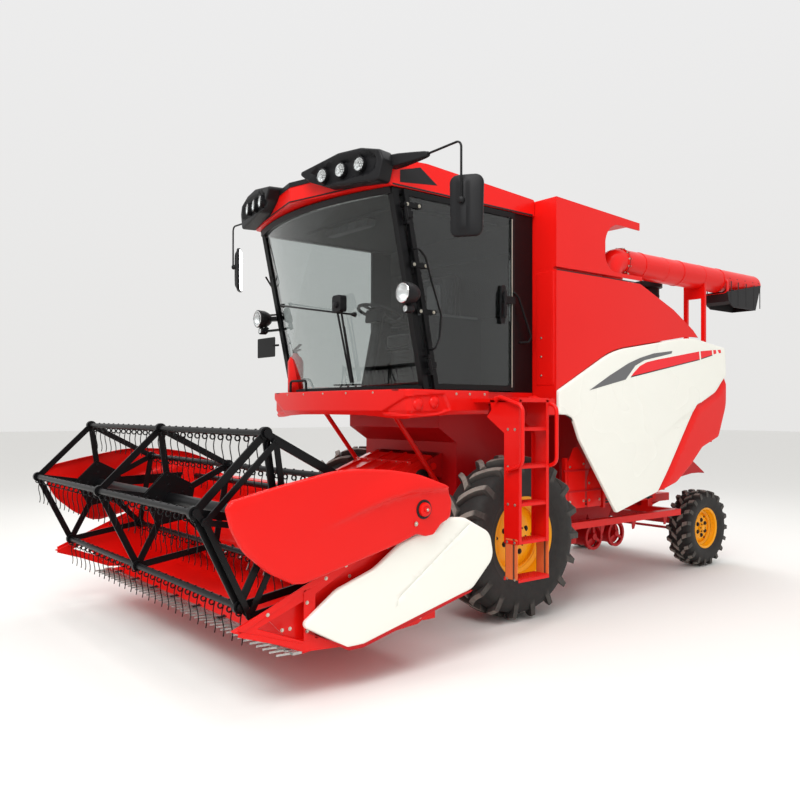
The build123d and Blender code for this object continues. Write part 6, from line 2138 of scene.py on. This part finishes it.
@dataclass
class CabOutside:
    """Glass trim, wiper, cleaning bar, grabs, door handle and hinge plates."""
    half: float = 950
    foot_y: float = -860
    foot_z: float = 1790
    rake: Pair = (310, 1465)        # the screen leans this far forward over this height
    bow: float = 165
    bar_ends: Pair = (-635, 435)
    wiper: Pair = (318, 2470)       # the motor's place (x, z)
    arm_steps: int = 8
    seals: tuple = ((1800, 26), (3208, 44))     # height, width
    door_grab: tuple = ((978, -996, 2816, 0), (1036, -990, 2816, 26), (1040, -930, 2762, 60), (1040, -868, 2584, 60),
                        (1040, -776, 2352, 50), (1040, -790, 2178, 60), (1036, -834, 2092, 26), (978, -836, 2092, 0))
    far_grab: tuple = ((-958, -1115, 2850, 0), (-1040, -990, 2760, 50), (-1046, -876, 2540, 60),
                       (-1040, -1020, 2520, 0))
    rear_grab: tuple = ((952, 58, 2590, 0), (988, 66, 2600, 16), (996, 110, 2560, 60), (1004, 250, 2250, 30),
                        (990, 236, 2206, 16), (952, 165, 2200, 0))
    hinges: tuple = ((-1076, -912, 3138), (-1010, -848, 2708), (-946, -770, 2371))      # front, rear, height

    def screen(self, x: float, z: float, proud: float) -> Vector:
        """A point that far in front of the windscreen."""
        y = self.foot_y - self.rake[0] * (z - self.foot_z) / self.rake[1]
        return Vector((x, y - self.bow * (1 - (x / self.half) ** 2) - proud, z))

    def bar_z(self, x: float) -> float:
        """Height of the cleaning bar."""
        return 2552 - (x + 600) * 0.165

    def screen_trim(self) -> None:
        """Builds the cleaning bar, the wiper and the seals of the windscreen."""
        bars, wiper, band = Stock(), Stock(), Stock()
        bars.pipe([self.screen(x, self.bar_z(x), 32) for x in range(-640, 441, 90)], 8)
        for x in self.bar_ends:
            bars.turned([(0, 0), (0, 20), (10, 18), (34, 12), (40, 0)], self.screen(x, self.bar_z(x), 4), FORWARDS)
        place(bars, "screen_cleaning_bar", BLACK, "root", smooth=50)
        top, steps = self.screen(*self.wiper, 34), self.arm_steps
        outline = rounded([(top.x - 58, top.z - 62, 22), (top.x + 58, top.z - 62, 22),
                           (top.x + 58, top.z + 66, 26), (top.x - 58, top.z + 66, 26)], 8)
        wiper.prism(outline, top.y - 34, top.y + 26, Flat.FRONT)
        wiper.turned([(0, 0), (0, 26), (16, 24), (22, 12), (22, 0)], top + Vector((0, -34, -10)), FORWARDS)
        for shift in (-26, 22):
            wiper.pipe([self.screen(300 + shift * (1 - 0.7 * k / steps), 2450 - 590 * k / steps, 34)
                        for k in range(steps + 1)], 9, 8)
        wiper.pipe([self.screen(300 - 4 * k / steps, 2300 - 440 * k / steps, 16) for k in range(steps + 1)], 10, 8)
        place(wiper, "windscreen_wiper", PLASTIC, "root", bevel=2, smooth=45)
        for z, height in self.seals:
            loops = []
            for k in range(21):
                x = -self.half + 12 + (2 * self.half - 24) * k / 20
                loops.append([self.screen(x, z + up, proud) for up, proud in ((0, 8), (height, 8), (height, 3),
                                                                             (0, 3))])
            band.rings(loops)
        place(band, "windscreen_seal", RUBBER, "root")

    def grabs(self) -> None:
        """Builds the grab rails and the plate beside the screen."""
        door_grab, grabs = Stock(), Stock()
        door_grab.pipe(bent(self.door_grab), 9)
        place(door_grab, "door_grab_tube", BLACK, "left_cab_door", smooth=50)
        grabs.pipe(bent(self.far_grab), 9)
        grabs.pipe(bent(self.rear_grab, 8), 10)
        grabs.prism(rectangle((-1312, 2136), (-990, 2318), 14, 8), -1004, -998, Flat.FRONT)
        grabs.pipe([(-1020, -1001, 2240), (-955, -985, 2240)], 10, 8)
        place(grabs, "cab_grab_rails_and_plate", BLACK, "root", bevel=1, smooth=50)

    def door(self) -> None:
        """Builds the door's handle, hinge plates and edge trim."""
        handle, plates, bolts, trim = Stock(), Stock(), Stock(), Stock()
        handle.prism(rounded([(-92, 2336, 18), (-40, 2336, 18), (-34, 2646, 18), (-86, 2646, 18)], 8), 977, 990)
        handle.prism(rounded([(-78, 2380, 12), (-52, 2380, 12), (-48, 2600, 12), (-74, 2600, 12)], 6), 1002, 1016)
        handle.block((988, -74, 2392), (1004, -54, 2412))
        handle.block((988, -72, 2570), (1004, -52, 2590))
        place(handle, "door_handle", PLASTIC, "left_cab_door", bevel=2)
        for y0, y1, z in self.hinges:
            plates.prism(rectangle((y0, z - 19), (y1, z + 19), 12, 6), 974, 982)
            for y in (y0 + 26, y1 - 26):
                bolts.bolt((982, y, z), (1, 0, 0), 15)
        place(plates, "door_hinge_plates", BLACK, "left_cab_door", bevel=1)
        place(bolts, "door_hinge_bolts", ZINC, "left_cab_door")
        trim.pipe([(981, 46, 1830), (981, 46, 3190)], 4, 8)
        place(trim, "door_edge_trim", ZINC, "left_cab_door")

    def build(self) -> None:
        """Builds the cab's outer trim."""
        self.screen_trim()
        self.grabs()
        self.door()


# ---------------------------------------------------------------- ladder, walkway and feeder
def serrated(stock: Stock, low: Pair, high: Pair, z: float, pitch: float = 22) -> None:
    """A punched anti-slip tread: rows of raised rings between folded lips.

    Args:
        stock: what the tread is added to.
        low, high: the tread's (x, y) corners.
        z: height of its top face.
        pitch: spacing of the rings; the real punching is about 15 mm, drawn a little coarser.
    """
    margin, thick, lip = 12, 4, 25
    stock.block((*low, z - thick), (*high, z))
    stock.block((*low, z - lip), (low[0] + thick, high[1], z - thick + 1))
    stock.block((high[0] - thick, low[1], z - lip), (*high, z - thick + 1))
    wide, deep = (b - a - 2 * margin for a, b in zip(low, high))
    rows, count = max(1, int(wide / pitch)), max(1, int(deep / pitch))
    for i in range(rows + 1):
        for j in range(count + 1):
            at = (low[0] + margin + wide * i / rows, low[1] + margin + deep * j / count, z)
            stock.lathe([(-1, 8), (4, 6.5), (4, 4.5), (0, 4)], at, UP, 8)


@dataclass
class Ladder:
    """The boarding ladder with folded stringers, punched treads, hand rails and the rubber-hung low step."""
    inner: float = 1300
    outer: float = 1450
    front: float = -380
    back: float = -50
    low_step: float = 410
    pitch: float = 277
    walkway_x: float = 1232
    walkway_end: float = 275
    top: float = 1735
    walkway_inner: float = 960
    walkway_pitch: float = 34       # of the walkway's coarser punching
    steps: int = 4                  # above the low step
    rail_radius: float = 15
    flange: float = 26
    strap_ribs: int = 6

    def stringer(self, stock: Stock, y: float, out: int) -> None:
        """One folded stringer: a deep channel below, widening into the plate under the walkway.

        Args:
            stock: where it goes.
            y: its place.
            out: the way its outer face looks, -1 forwards or 1 rearwards.
        """
        lines = [(self.inner, 1475), (self.inner - 180, 1595), (self.inner - 130, 1650),
                 (self.inner - 150, self.top - 5), (self.outer, self.top - 5), (self.outer, 660), (self.inner, 660)]
        low, high = (y, y + 5) if out < 0 else (y + 7, y + 12)
        stock.prism(rounded([(u, v, 8) for u, v in lines], 6), low, high, Flat.FRONT)
        inward = y + 5 if out < 0 else y + 7
        reach = self.flange if out < 0 else -self.flange
        for x in (self.outer - 4, self.inner):
            top = 1725 if x > self.inner else 1470
            stock.block((x, min(inward, inward + reach), 662), (x + 4, max(inward, inward + reach), top))
        stock.bar((self.inner + 2, inward + reach / 2, 1475), (self.inner - 172, inward + reach / 2, 1592), 4,
                  abs(reach), REARWARDS)

    def rail(self, stock: Stock, y: float) -> None:
        """One bent hand rail with its two feet.

        Args:
            stock: where it goes.
            y: its place.
        """
        stock.pipe(bent(((self.inner - 60, y, 1730, 0), (self.inner - 20, y, 1745, 20),
                         (self.outer + 55, y, 1675, 60), (self.outer + 55, y, 1250, 60),
                         (self.inner + 62, y, 1204, 0))), self.rail_radius, 14)
        for x, z in ((self.inner - 58, 1728), (self.inner + 64, 1205)):
            stock.turned([(-3, 0), (-3, 24), (4, 24), (8, 18), (8, 0)], (x, y, z), (-1, 0, -0.2), 18)

    def build(self) -> None:
        """Builds the ladder, its rails, the walkway and the low step."""
        sides, treads, rails, bolts = Stock(), Stock(), Stock(), Stock()
        self.stringer(sides, self.front, -1)
        self.stringer(sides, self.back - 12, 1)
        for k in range(1, self.steps + 1):
            z = self.low_step + k * self.pitch
            serrated(treads, (self.inner + 6, self.front + 6), (self.outer - 5, self.back - 6), z)
            for y, out in ((self.front, -1), (self.back, 1)):
                for x in (self.inner + 40, self.outer - 40):
                    bolts.bolt((x, y, z - 14), (0, out, 0), 13)
        inside = self.walkway_inner
        serrated(treads, (inside, self.front + 8), (self.outer - 4, self.back - 8), self.top, self.walkway_pitch)
        serrated(treads, (inside, self.back - 4), (self.walkway_x - 4, self.walkway_end - 4), self.top,
                 self.walkway_pitch)
        sides.prism(rectangle((self.back - 10, 1606), (self.walkway_end, self.top)), self.walkway_x - 5,
                    self.walkway_x)
        sides.prism(rectangle((self.back, 1606), (self.walkway_end, 1612)), self.walkway_x - 40, self.walkway_x)
        sides.block((inside, self.front, self.top - 30), (self.outer, self.front + 5, self.top))
        sides.block((self.outer - 5, self.front, self.top - 30), (self.outer, self.back, self.top))
        self.rail(rails, self.front - 22)
        self.rail(rails, self.back + 22)
        place(sides, "ladder_stringers", RED, "root", ("ladder",), bevel=1.5)
        place(treads, "ladder_punched_treads", RED, "root")
        place(rails, "ladder_hand_rails", RED, "root", smooth=50)
        self.hang_step(bolts)
        place(bolts, "ladder_bolts", ZINC, "root")

    def hang_step(self, bolts: Stock) -> None:
        """Builds the low step with its rubber straps and clamps.

        Args:
            bolts: where its bolts go.
        """
        straps, clamps, low = Stock(), Stock(), Stock()
        for y, out, upper, lower in ((self.front - 9, FORWARDS, -4, -2), (self.back + 3, REARWARDS, 7.5, 7.5)):
            straps.prism(rounded([(self.inner + 22, 402, 10), (self.outer - 8, 402, 10), (self.outer - 8, 700, 14),
                                  (self.inner + 22, 700, 14)], 8), y, y + 6, Flat.FRONT)
            for k in range(self.strap_ribs):
                x = self.inner + 34 + k * 18.5
                straps.block((x, y - 1.5, 410), (x + 7, y + 7.5, 690))
            clamps.block((self.inner + 18, y - 4, 662), (self.outer - 4, y, 690))
            for x in (self.inner + 44, self.outer - 32):
                bolts.bolt((x, y + upper, 676), out, 14)
                bolts.bolt((x, y + lower, 404), out, 12)
        place(straps, "low_step_rubber_straps", STRAP, "root", ("lower_step",), bevel=1)
        serrated(low, (self.inner + 2, self.front - 2), (self.outer, self.back + 2), self.low_step)
        place(low, "low_step_tread", RED, "root")
        place(clamps, "low_step_strap_clamps", RED, "root", bevel=1)


@dataclass
class Feeder:
    """Dress of the feeder house: side covers, top ribs, the chain shaft's ends and the lift lugs' bolts."""
    half: float = 400
    cover: tuple = ((-330, 1240, 20), (-340, 940, 20), (-720, 765, 30), (-1210, 470, 20), (-1210, 780, 30),
                    (-900, 1010, 40))
    field: tuple = ((-420, 1180, 20), (-420, 980, 20), (-700, 850, 30), (-1120, 590, 20), (-1120, 740, 30),
                    (-870, 940, 40))            # the cover's raised middle
    cover_bolts: tuple = ((-350, 1215), (-360, 960), (-720, 790), (-1185, 510), (-1185, 770), (-900, 985),
                          (-620, 1110))
    top: tuple = ((-330, 1272), (-900, 1066), (-1260, 862))
    long_ribs: tuple = (-300, -100, 100, 300)
    cross_ribs: tuple = ((-520, 1205), (-800, 1104), (-1060, 978))
    rib_bolts: tuple = (-350, -200, 0, 200, 350)

    def build(self) -> None:
        """Builds the feeder's dress on the header body."""
        covers, ribs, bolts, shafts = Stock(), Stock(), Stock(), Stock()
        for side in (1, -1):
            x, out = side * self.half, (side, 0, 0)
            covers.prism(rounded(self.cover, 8), x, x + side * 8)
            covers.prism(rounded(self.field, 8), x + side * 7, x + side * 14)
            for y, z in self.cover_bolts:
                bolts.bolt((x + side * 8, y, z), out, 14)
            shafts.turned([(0, 0), (0, 62), (10, 62), (14, 54), (14, 34), (26, 30), (26, 0)],
                          (x + side * 12, -1100, 668), out, 28)
            shafts.turned([(0, 0), (0, 74), (8, 74), (12, 66), (12, 44), (30, 38), (30, 0)],
                          (x + side * 12, -430, 1085), out, 28)
        for x in self.long_ribs:
            for (y0, z0), (y1, z1) in zip(self.top, self.top[1:]):
                ribs.bar((x, y0, z0 + 4), (x, y1, z1 + 4), 26, 16)
        for y, z in self.cross_ribs:
            ribs.bar((-385, y, z + 5), (385, y, z + 5), 30, 10, REARWARDS)
            for x in self.rib_bolts:
                bolts.bolt((x, y, z + 9), (0, -0.35, 1), 12)
        place(covers, "feeder_side_covers", RED, "header", bevel=2)
        place(ribs, "feeder_top_ribs", RED, "header", bevel=2)
        place(shafts, "feeder_bearing_housings", IRON, "header", bevel=1)
        place(bolts, "feeder_bolts", ZINC, "header")


# ---------------------------------------------------------------- unloader, hood and chassis
@dataclass
class Unloader:
    """Dress of the unloading auger: flange bolts, gasket, weld seams, clamp bands and the spout's collar."""
    x: float = 1050
    z: float = 2980
    radius: float = 120
    bolt_circle: float = 124
    bolts: int = 12
    bands: Triple = (1620, 2240, 2960)
    welds: Pair = (1980, 2620)
    folds: tuple = (3060, 3200, 3360, 3520, 3640)
    collar: tuple = (2984, 3020, 2840, 3002)    # its front, rear, lowest and highest edge

    def build(self) -> None:
        """Builds the tube's dress and the folded rubber spout."""
        bands, bolts, seals = Stock(), Stock(), Stock()
        centre, along, r = Vector((self.x, 0, self.z)), Vector(REARWARDS), self.radius
        for y, way in ((1350, FORWARDS), (1376, REARWARDS)):
            for k in range(self.bolts):
                turn = 2 * pi * k / self.bolts + 0.13
                bolts.bolt(centre + along * y + Vector((cos(turn), 0, sin(turn))) * self.bolt_circle, way, 12)
        seals.lathe([(0, r + 1), (0, r + 9), (6, r + 9), (6, r + 1)], centre + along * 1357, along, 48)
        for y in self.bands:
            bands.lathe([(0, r - 1), (0, r + 4), (26, r + 4), (26, r - 1)], centre + along * y, along, 48)
        for y in self.welds:
            bands.lathe([(0, r - 1), (2, r + 2), (5, r + 2), (7, r - 1)], centre + along * y, along, 48)
        bands.prism(rectangle((1480, self.z - 3), (3600, self.z + 3)), self.x - r - 2, self.x - r + 2)
        place(bands, "unloading_tube_bands_and_welds", RED, "unloader", smooth=50)
        place(seals, "unloading_tube_gasket", RUBBER, "unloader", smooth=50)
        place(bolts, "unloading_tube_bolts", ZINC, "unloader")
        folds, collar = Stock(), Stock()
        for y in self.folds:
            for side in (1, -1):
                folds.prism(rectangle((y, 2730), (y + 16, 2968), 6, 4), self.x + side * 131, self.x + side * 134)
            folds.block((self.x - 120, y, 2996), (self.x + 120, y + 16, 3003))
        place(folds, "spout_folds", RUBBER, "unloader", bevel=1)
        front, back, low, high = self.collar
        outer = rounded([(self.x - 134, low, 40), (self.x + 134, low, 40), (self.x + 134, high, 60),
                         (self.x - 134, high, 60)], 10)
        middle = Vector((self.x, (low + high) / 2))
        inner = [middle + (p - middle) * 0.94 for p in outer]
        collar.rings([[Vector((p.x, y, p.y)) for p in line]
                      for line, y in ((outer, front), (outer, back), (inner, back), (inner, front))], True, False)
        place(collar, "spout_clamp_collar", RED, "unloader", smooth=50)


@dataclass
class HoodAndTail:
    """Louvres, seams and bolts of the rear hood, and the air intake's rings."""
    louvre_columns: tuple = (-560, 561, 140)    # first, past the last, pitch
    louvre_rows: int = 7
    row_pitch: float = 46
    first_row: float = 1700
    seams: Triple = (1560, 1960, 2360)
    hood_bolts: Triple = (1500, 1800, 2100)     # heights
    intake_rings: int = 9
    first_ring: float = 2420

    def build(self) -> None:
        """Builds the rear dress."""
        louvres, seams, bolts, rings = Stock(), Stock(), Stock(), Stock()
        _, (_, rear, top) = node_box("rear_hood")
        for x in range(*self.louvre_columns):
            for k in range(self.louvre_rows):
                z = self.first_row + k * self.row_pitch
                louvres.prism([(rear - 4, z), (rear, z + 2), (rear - 2, z + 20), (rear - 6, z + 22)], x + 8, x + 118)
        place(louvres, "rear_hood_louvres", RED, "root", bevel=1)
        for y in self.seams:
            seams.block((-1100, y, top - 1), (1100, y + 8, top + 3))
        low, high = node_box("air_intake")
        centre = Vector(((low.x + high.x) / 2, (low.y + high.y) / 2, 0))
        for k in range(self.intake_rings):
            rings.lathe([(0, 108), (0, 113), (14, 113), (14, 108)],
                        centre + Vector((0, 0, self.first_ring + k * self.row_pitch)), UP, 40)
        rings.turned([(0, 0), (0, 120), (10, 132), (34, 138), (44, 132), (60, 96), (66, 40), (66, 0)],
                     centre + Vector((0, 0, high.z - 66)), UP, 40)
        place(rings, "air_intake_rings_and_cap", PLASTIC, "root", smooth=50)
        for side in (1, -1):
            for z in self.hood_bolts:
                bolts.bolt((side * 900, rear - 1, z), REARWARDS, 16)
        place(bolts, "rear_hood_bolts", ZINC, "root")
        place(seams, "hood_seams", RUBBER, "root")


@dataclass
class Chassis:
    """Arch plates, pipes, gussets and the bolts of the axles and rails."""
    arch: tuple = ((700, 930, 1330, 800), (960, 1150, 1180, 800))   # front, rear, peak and foot of each plate
    arch_bars: Pair = (940, 1120)
    rail_bolts: tuple = (900, 2500, 200)        # first, past the last, pitch
    gussets: tuple = (820, 1300, 1780, 2300)
    pipes: Pair = (752, 778)
    pipe_clips: tuple = (780, 2500, 420)        # first, past the last, pitch
    drive_bolts: int = 8
    tie_rod_end: Triple = (540, 3317, 352)

    def arch_plates(self) -> None:
        """The pointed red plates behind the front wheels, with two dark bars across them."""
        plates, bars, bolts = Stock(), Stock(), Stock()
        for side in (1, -1):
            for y0, y1, peak, low in self.arch:
                mid = (y0 + y1) / 2 - 10
                shape = [(y0, low, 10), (y1, low, 10), (y1, peak - 110, 20), (mid + 20, peak, 14),
                         (mid - 30, peak - 6, 14), (y0, peak - 130, 20)]
                plates.prism(rounded(shape, 8), side * 1010, side * 1018)
                for y, z in ((y0 + 24, low + 60), (y1 - 24, low + 60), (y0 + 24, peak - 170), (y1 - 24, peak - 150)):
                    bolts.bolt((side * 1018, y, z), (side, 0, 0), 14)
            for z in self.arch_bars:
                bars.prism(rectangle((640, z), (1240, z + 16)), side * 1014, side * 1026)
            for y, top in ((672, 1240), (1190, 1120)):
                plates.bar((side * 1004, y, 780), (side * 1004, y, top), 30, 40)
        place(plates, "arch_plates", RED, "root", bevel=1.5)
        place(bars, "arch_cross_bars", DEEP_RED, "root", bevel=2)
        place(bolts, "arch_bolts", ZINC, "root")

    def rails(self) -> None:
        """Bolts, gussets and pipe runs along the rails."""
        bolts, gussets, pipes = Stock(), Stock(), Stock()
        for side in (1, -1):
            for y in range(*self.rail_bolts):
                bolts.bolt((side * 925, y, 632), (side, 0, 0), 16)
            for y in self.gussets:
                gussets.prism([(y, 600), (y + 70, 600), (y + 40, 520), (y + 10, 520)], side * 890, side * 898)
            for z in self.pipes:
                pipes.pipe([(side * 609, 700, z), (side * 609, 2540, z)], 8)
            for y in range(*self.pipe_clips):
                pipes.block((side * 609 - 11, y, 738), (side * 609 + 11, y + 22, 792))
        place(bolts, "rail_bolts", ZINC, "root")
        place(gussets, "rail_gussets", DEEP_RED, "root", bevel=1)
        place(pipes, "brake_and_oil_pipes", BLACK, "root", smooth=50)

    def axles(self) -> None:
        """Bolts of the final drives and the steering ends."""
        bolts, boots = Stock(), Stock()
        for side in (1, -1):
            for k in range(self.drive_bolts):
                turn = 2 * pi * k / self.drive_bolts
                bolts.bolt((side * 792, 84 * cos(turn), 643 + 84 * sin(turn)), (side, 0, 0), 18, washer=False)
            x, y, z = self.tie_rod_end
            boots.turned([(0, 0), (0, 22), (8, 26), (16, 20), (22, 12), (22, 0)], (side * x, y, z), UP)
        place(bolts, "final_drive_bolts", ZINC, "root")
        place(boots, "tie_rod_end_boots", RUBBER, "steering_tie_rod", smooth=50)

    def build(self) -> None:
        """Builds the chassis's dress."""
        self.arch_plates()
        self.rails()
        self.axles()


# ---------------------------------------------------------------- studio
@dataclass
class Studio:
    """Pale floor, soft light and the camera."""
    eye: Triple = (5485.6, -4754.9, 1642.8)
    right: Triple = (0.620991, 0.783817, 0.001265)
    up: Triple = (0.001835, -0.003067, 0.999994)
    lens: float = 36.291
    shift: Pair = (0.0095, 0.0097)
    floor_half: float = 60          # metres
    floor_colour: str = "e9e8e4"
    sky: str = "fbfbfc"
    horizon: str = "f1f0ee"
    sky_strength: float = 0.9
    # each lamp's name, place, aim, width in metres and power in watts
    lamps: tuple = (("key", (4200, -5600, 7200), (0, -300, 1400), 4.0, 420),
                    ("top", (0, 500, 8200), (0, 0, 1500), 6.0, 280),
                    ("rim", (-6000, 4500, 5200), (0, 0, 1500), 4.0, 200))

    def camera(self) -> None:
        """A camera at eye, with the given right and up directions."""
        data = bpy.data.cameras.new("camera")
        data.lens = self.lens
        data.sensor_width = 36
        data.shift_x, data.shift_y = self.shift
        data.clip_end = 500
        made = bpy.data.objects.new("camera", data)
        right = Vector(self.right).normalized()
        up = Vector(self.up)
        up = (up - right * up.dot(right)).normalized()
        turn = Matrix((right, up, right.cross(up))).transposed().to_4x4()
        made.matrix_world = Matrix.Translation(spot(self.eye)) @ turn
        bpy.context.scene.collection.objects.link(made)
        bpy.context.scene.camera = made

    def lamp(self, name: str, at: Triple, aim: Triple, size: float, power: float) -> None:
        """A square soft box.

        Args:
            name: its name.
            at, aim: where it stands and what it shines at.
            size: its width in metres.
            power: its power in watts.
        """
        data = bpy.data.lights.new(name, "AREA")
        data.energy = power
        data.size = size
        made = bpy.data.objects.new(name, data)
        made.location = spot(at)
        made.visible_camera = made.visible_transmission = False
        made.rotation_euler = (spot(aim) - spot(at)).to_track_quat("-Z", "Y").to_euler()
        bpy.context.scene.collection.objects.link(made)

    def sky_dome(self) -> None:
        """A bright overcast dome, palest overhead."""
        world = bpy.data.worlds.new("studio")
        world.use_nodes = True
        tree = world.node_tree
        tree.nodes.clear()
        split = add(tree, "SeparateXYZ", links={0: add(tree, "TexCoord").outputs["Generated"]})
        height = add(tree, "MapRange", {"From Min": -0.1, "From Max": 0.7}, {"Value": split.outputs["Z"]})
        tint = add(tree, "Mix", {"data_type": "RGBA", 6: linear(self.horizon), 7: linear(self.sky)},
                   {0: height})
        glow = add(tree, "Background", {"Strength": self.sky_strength}, {"Color": tint.outputs[2]})
        add(tree, "OutputWorld", links={"Surface": glow})
        bpy.context.scene.world = world

    def floor(self) -> None:
        """A wide plain floor with a very faint mottle."""
        mesh = bpy.data.meshes.new("floor")
        half = self.floor_half
        mesh.from_pydata([(-half, -half, 0), (half, -half, 0), (half, half, 0), (-half, half, 0)], [],
                         [(0, 1, 2, 3)])
        made = bpy.data.objects.new("floor", mesh)
        bpy.context.scene.collection.objects.link(made)
        paper = bpy.data.materials.new("studio_floor")
        paper.use_nodes = True
        tree = paper.node_tree
        tree.nodes.clear()
        mottle = add(tree, "TexNoise", {"Scale": 1.5, "Detail": 3.0},
                     {"Vector": add(tree, "TexCoord").outputs["Object"]})
        rough = add(tree, "MapRange", {"To Min": 0.75, "To Max": 0.85}, {"Value": mottle.outputs["Fac"]})
        body = add(tree, "BsdfPrincipled", {"Base Color": linear(self.floor_colour)}, {"Roughness": rough})
        add(tree, "OutputMaterial", links={"Surface": body})
        mesh.materials.append(paper)

    def set_up(self) -> None:
        """Builds the studio."""
        self.camera()
        self.sky_dome()
        for lamp in self.lamps:
            self.lamp(*lamp)
        self.floor()
        bpy.context.scene.view_settings.view_transform = "Standard"


def main() -> None:
    """Builds the studio and the machine's visible pieces, sub-assembly by sub-assembly."""
    logging.basicConfig(level=logging.INFO, format="%(message)s")
    Studio().set_up()
    dress_frame()
    for wheel in wheels():
        wheel.build()
    for part in (ReelShield(), DriveCover(), Reel(), Header(), SideDoor(1), SideDoor(-1), TankDress(), Chin(),
                 RoofWings(), Headlamps(), Mirrors(), CabOutside(), CabInside(), Ladder(), Feeder(), Unloader(),
                 HoodAndTail(), Chassis()):
        part.build()


if __name__ == "__main__":
    main()
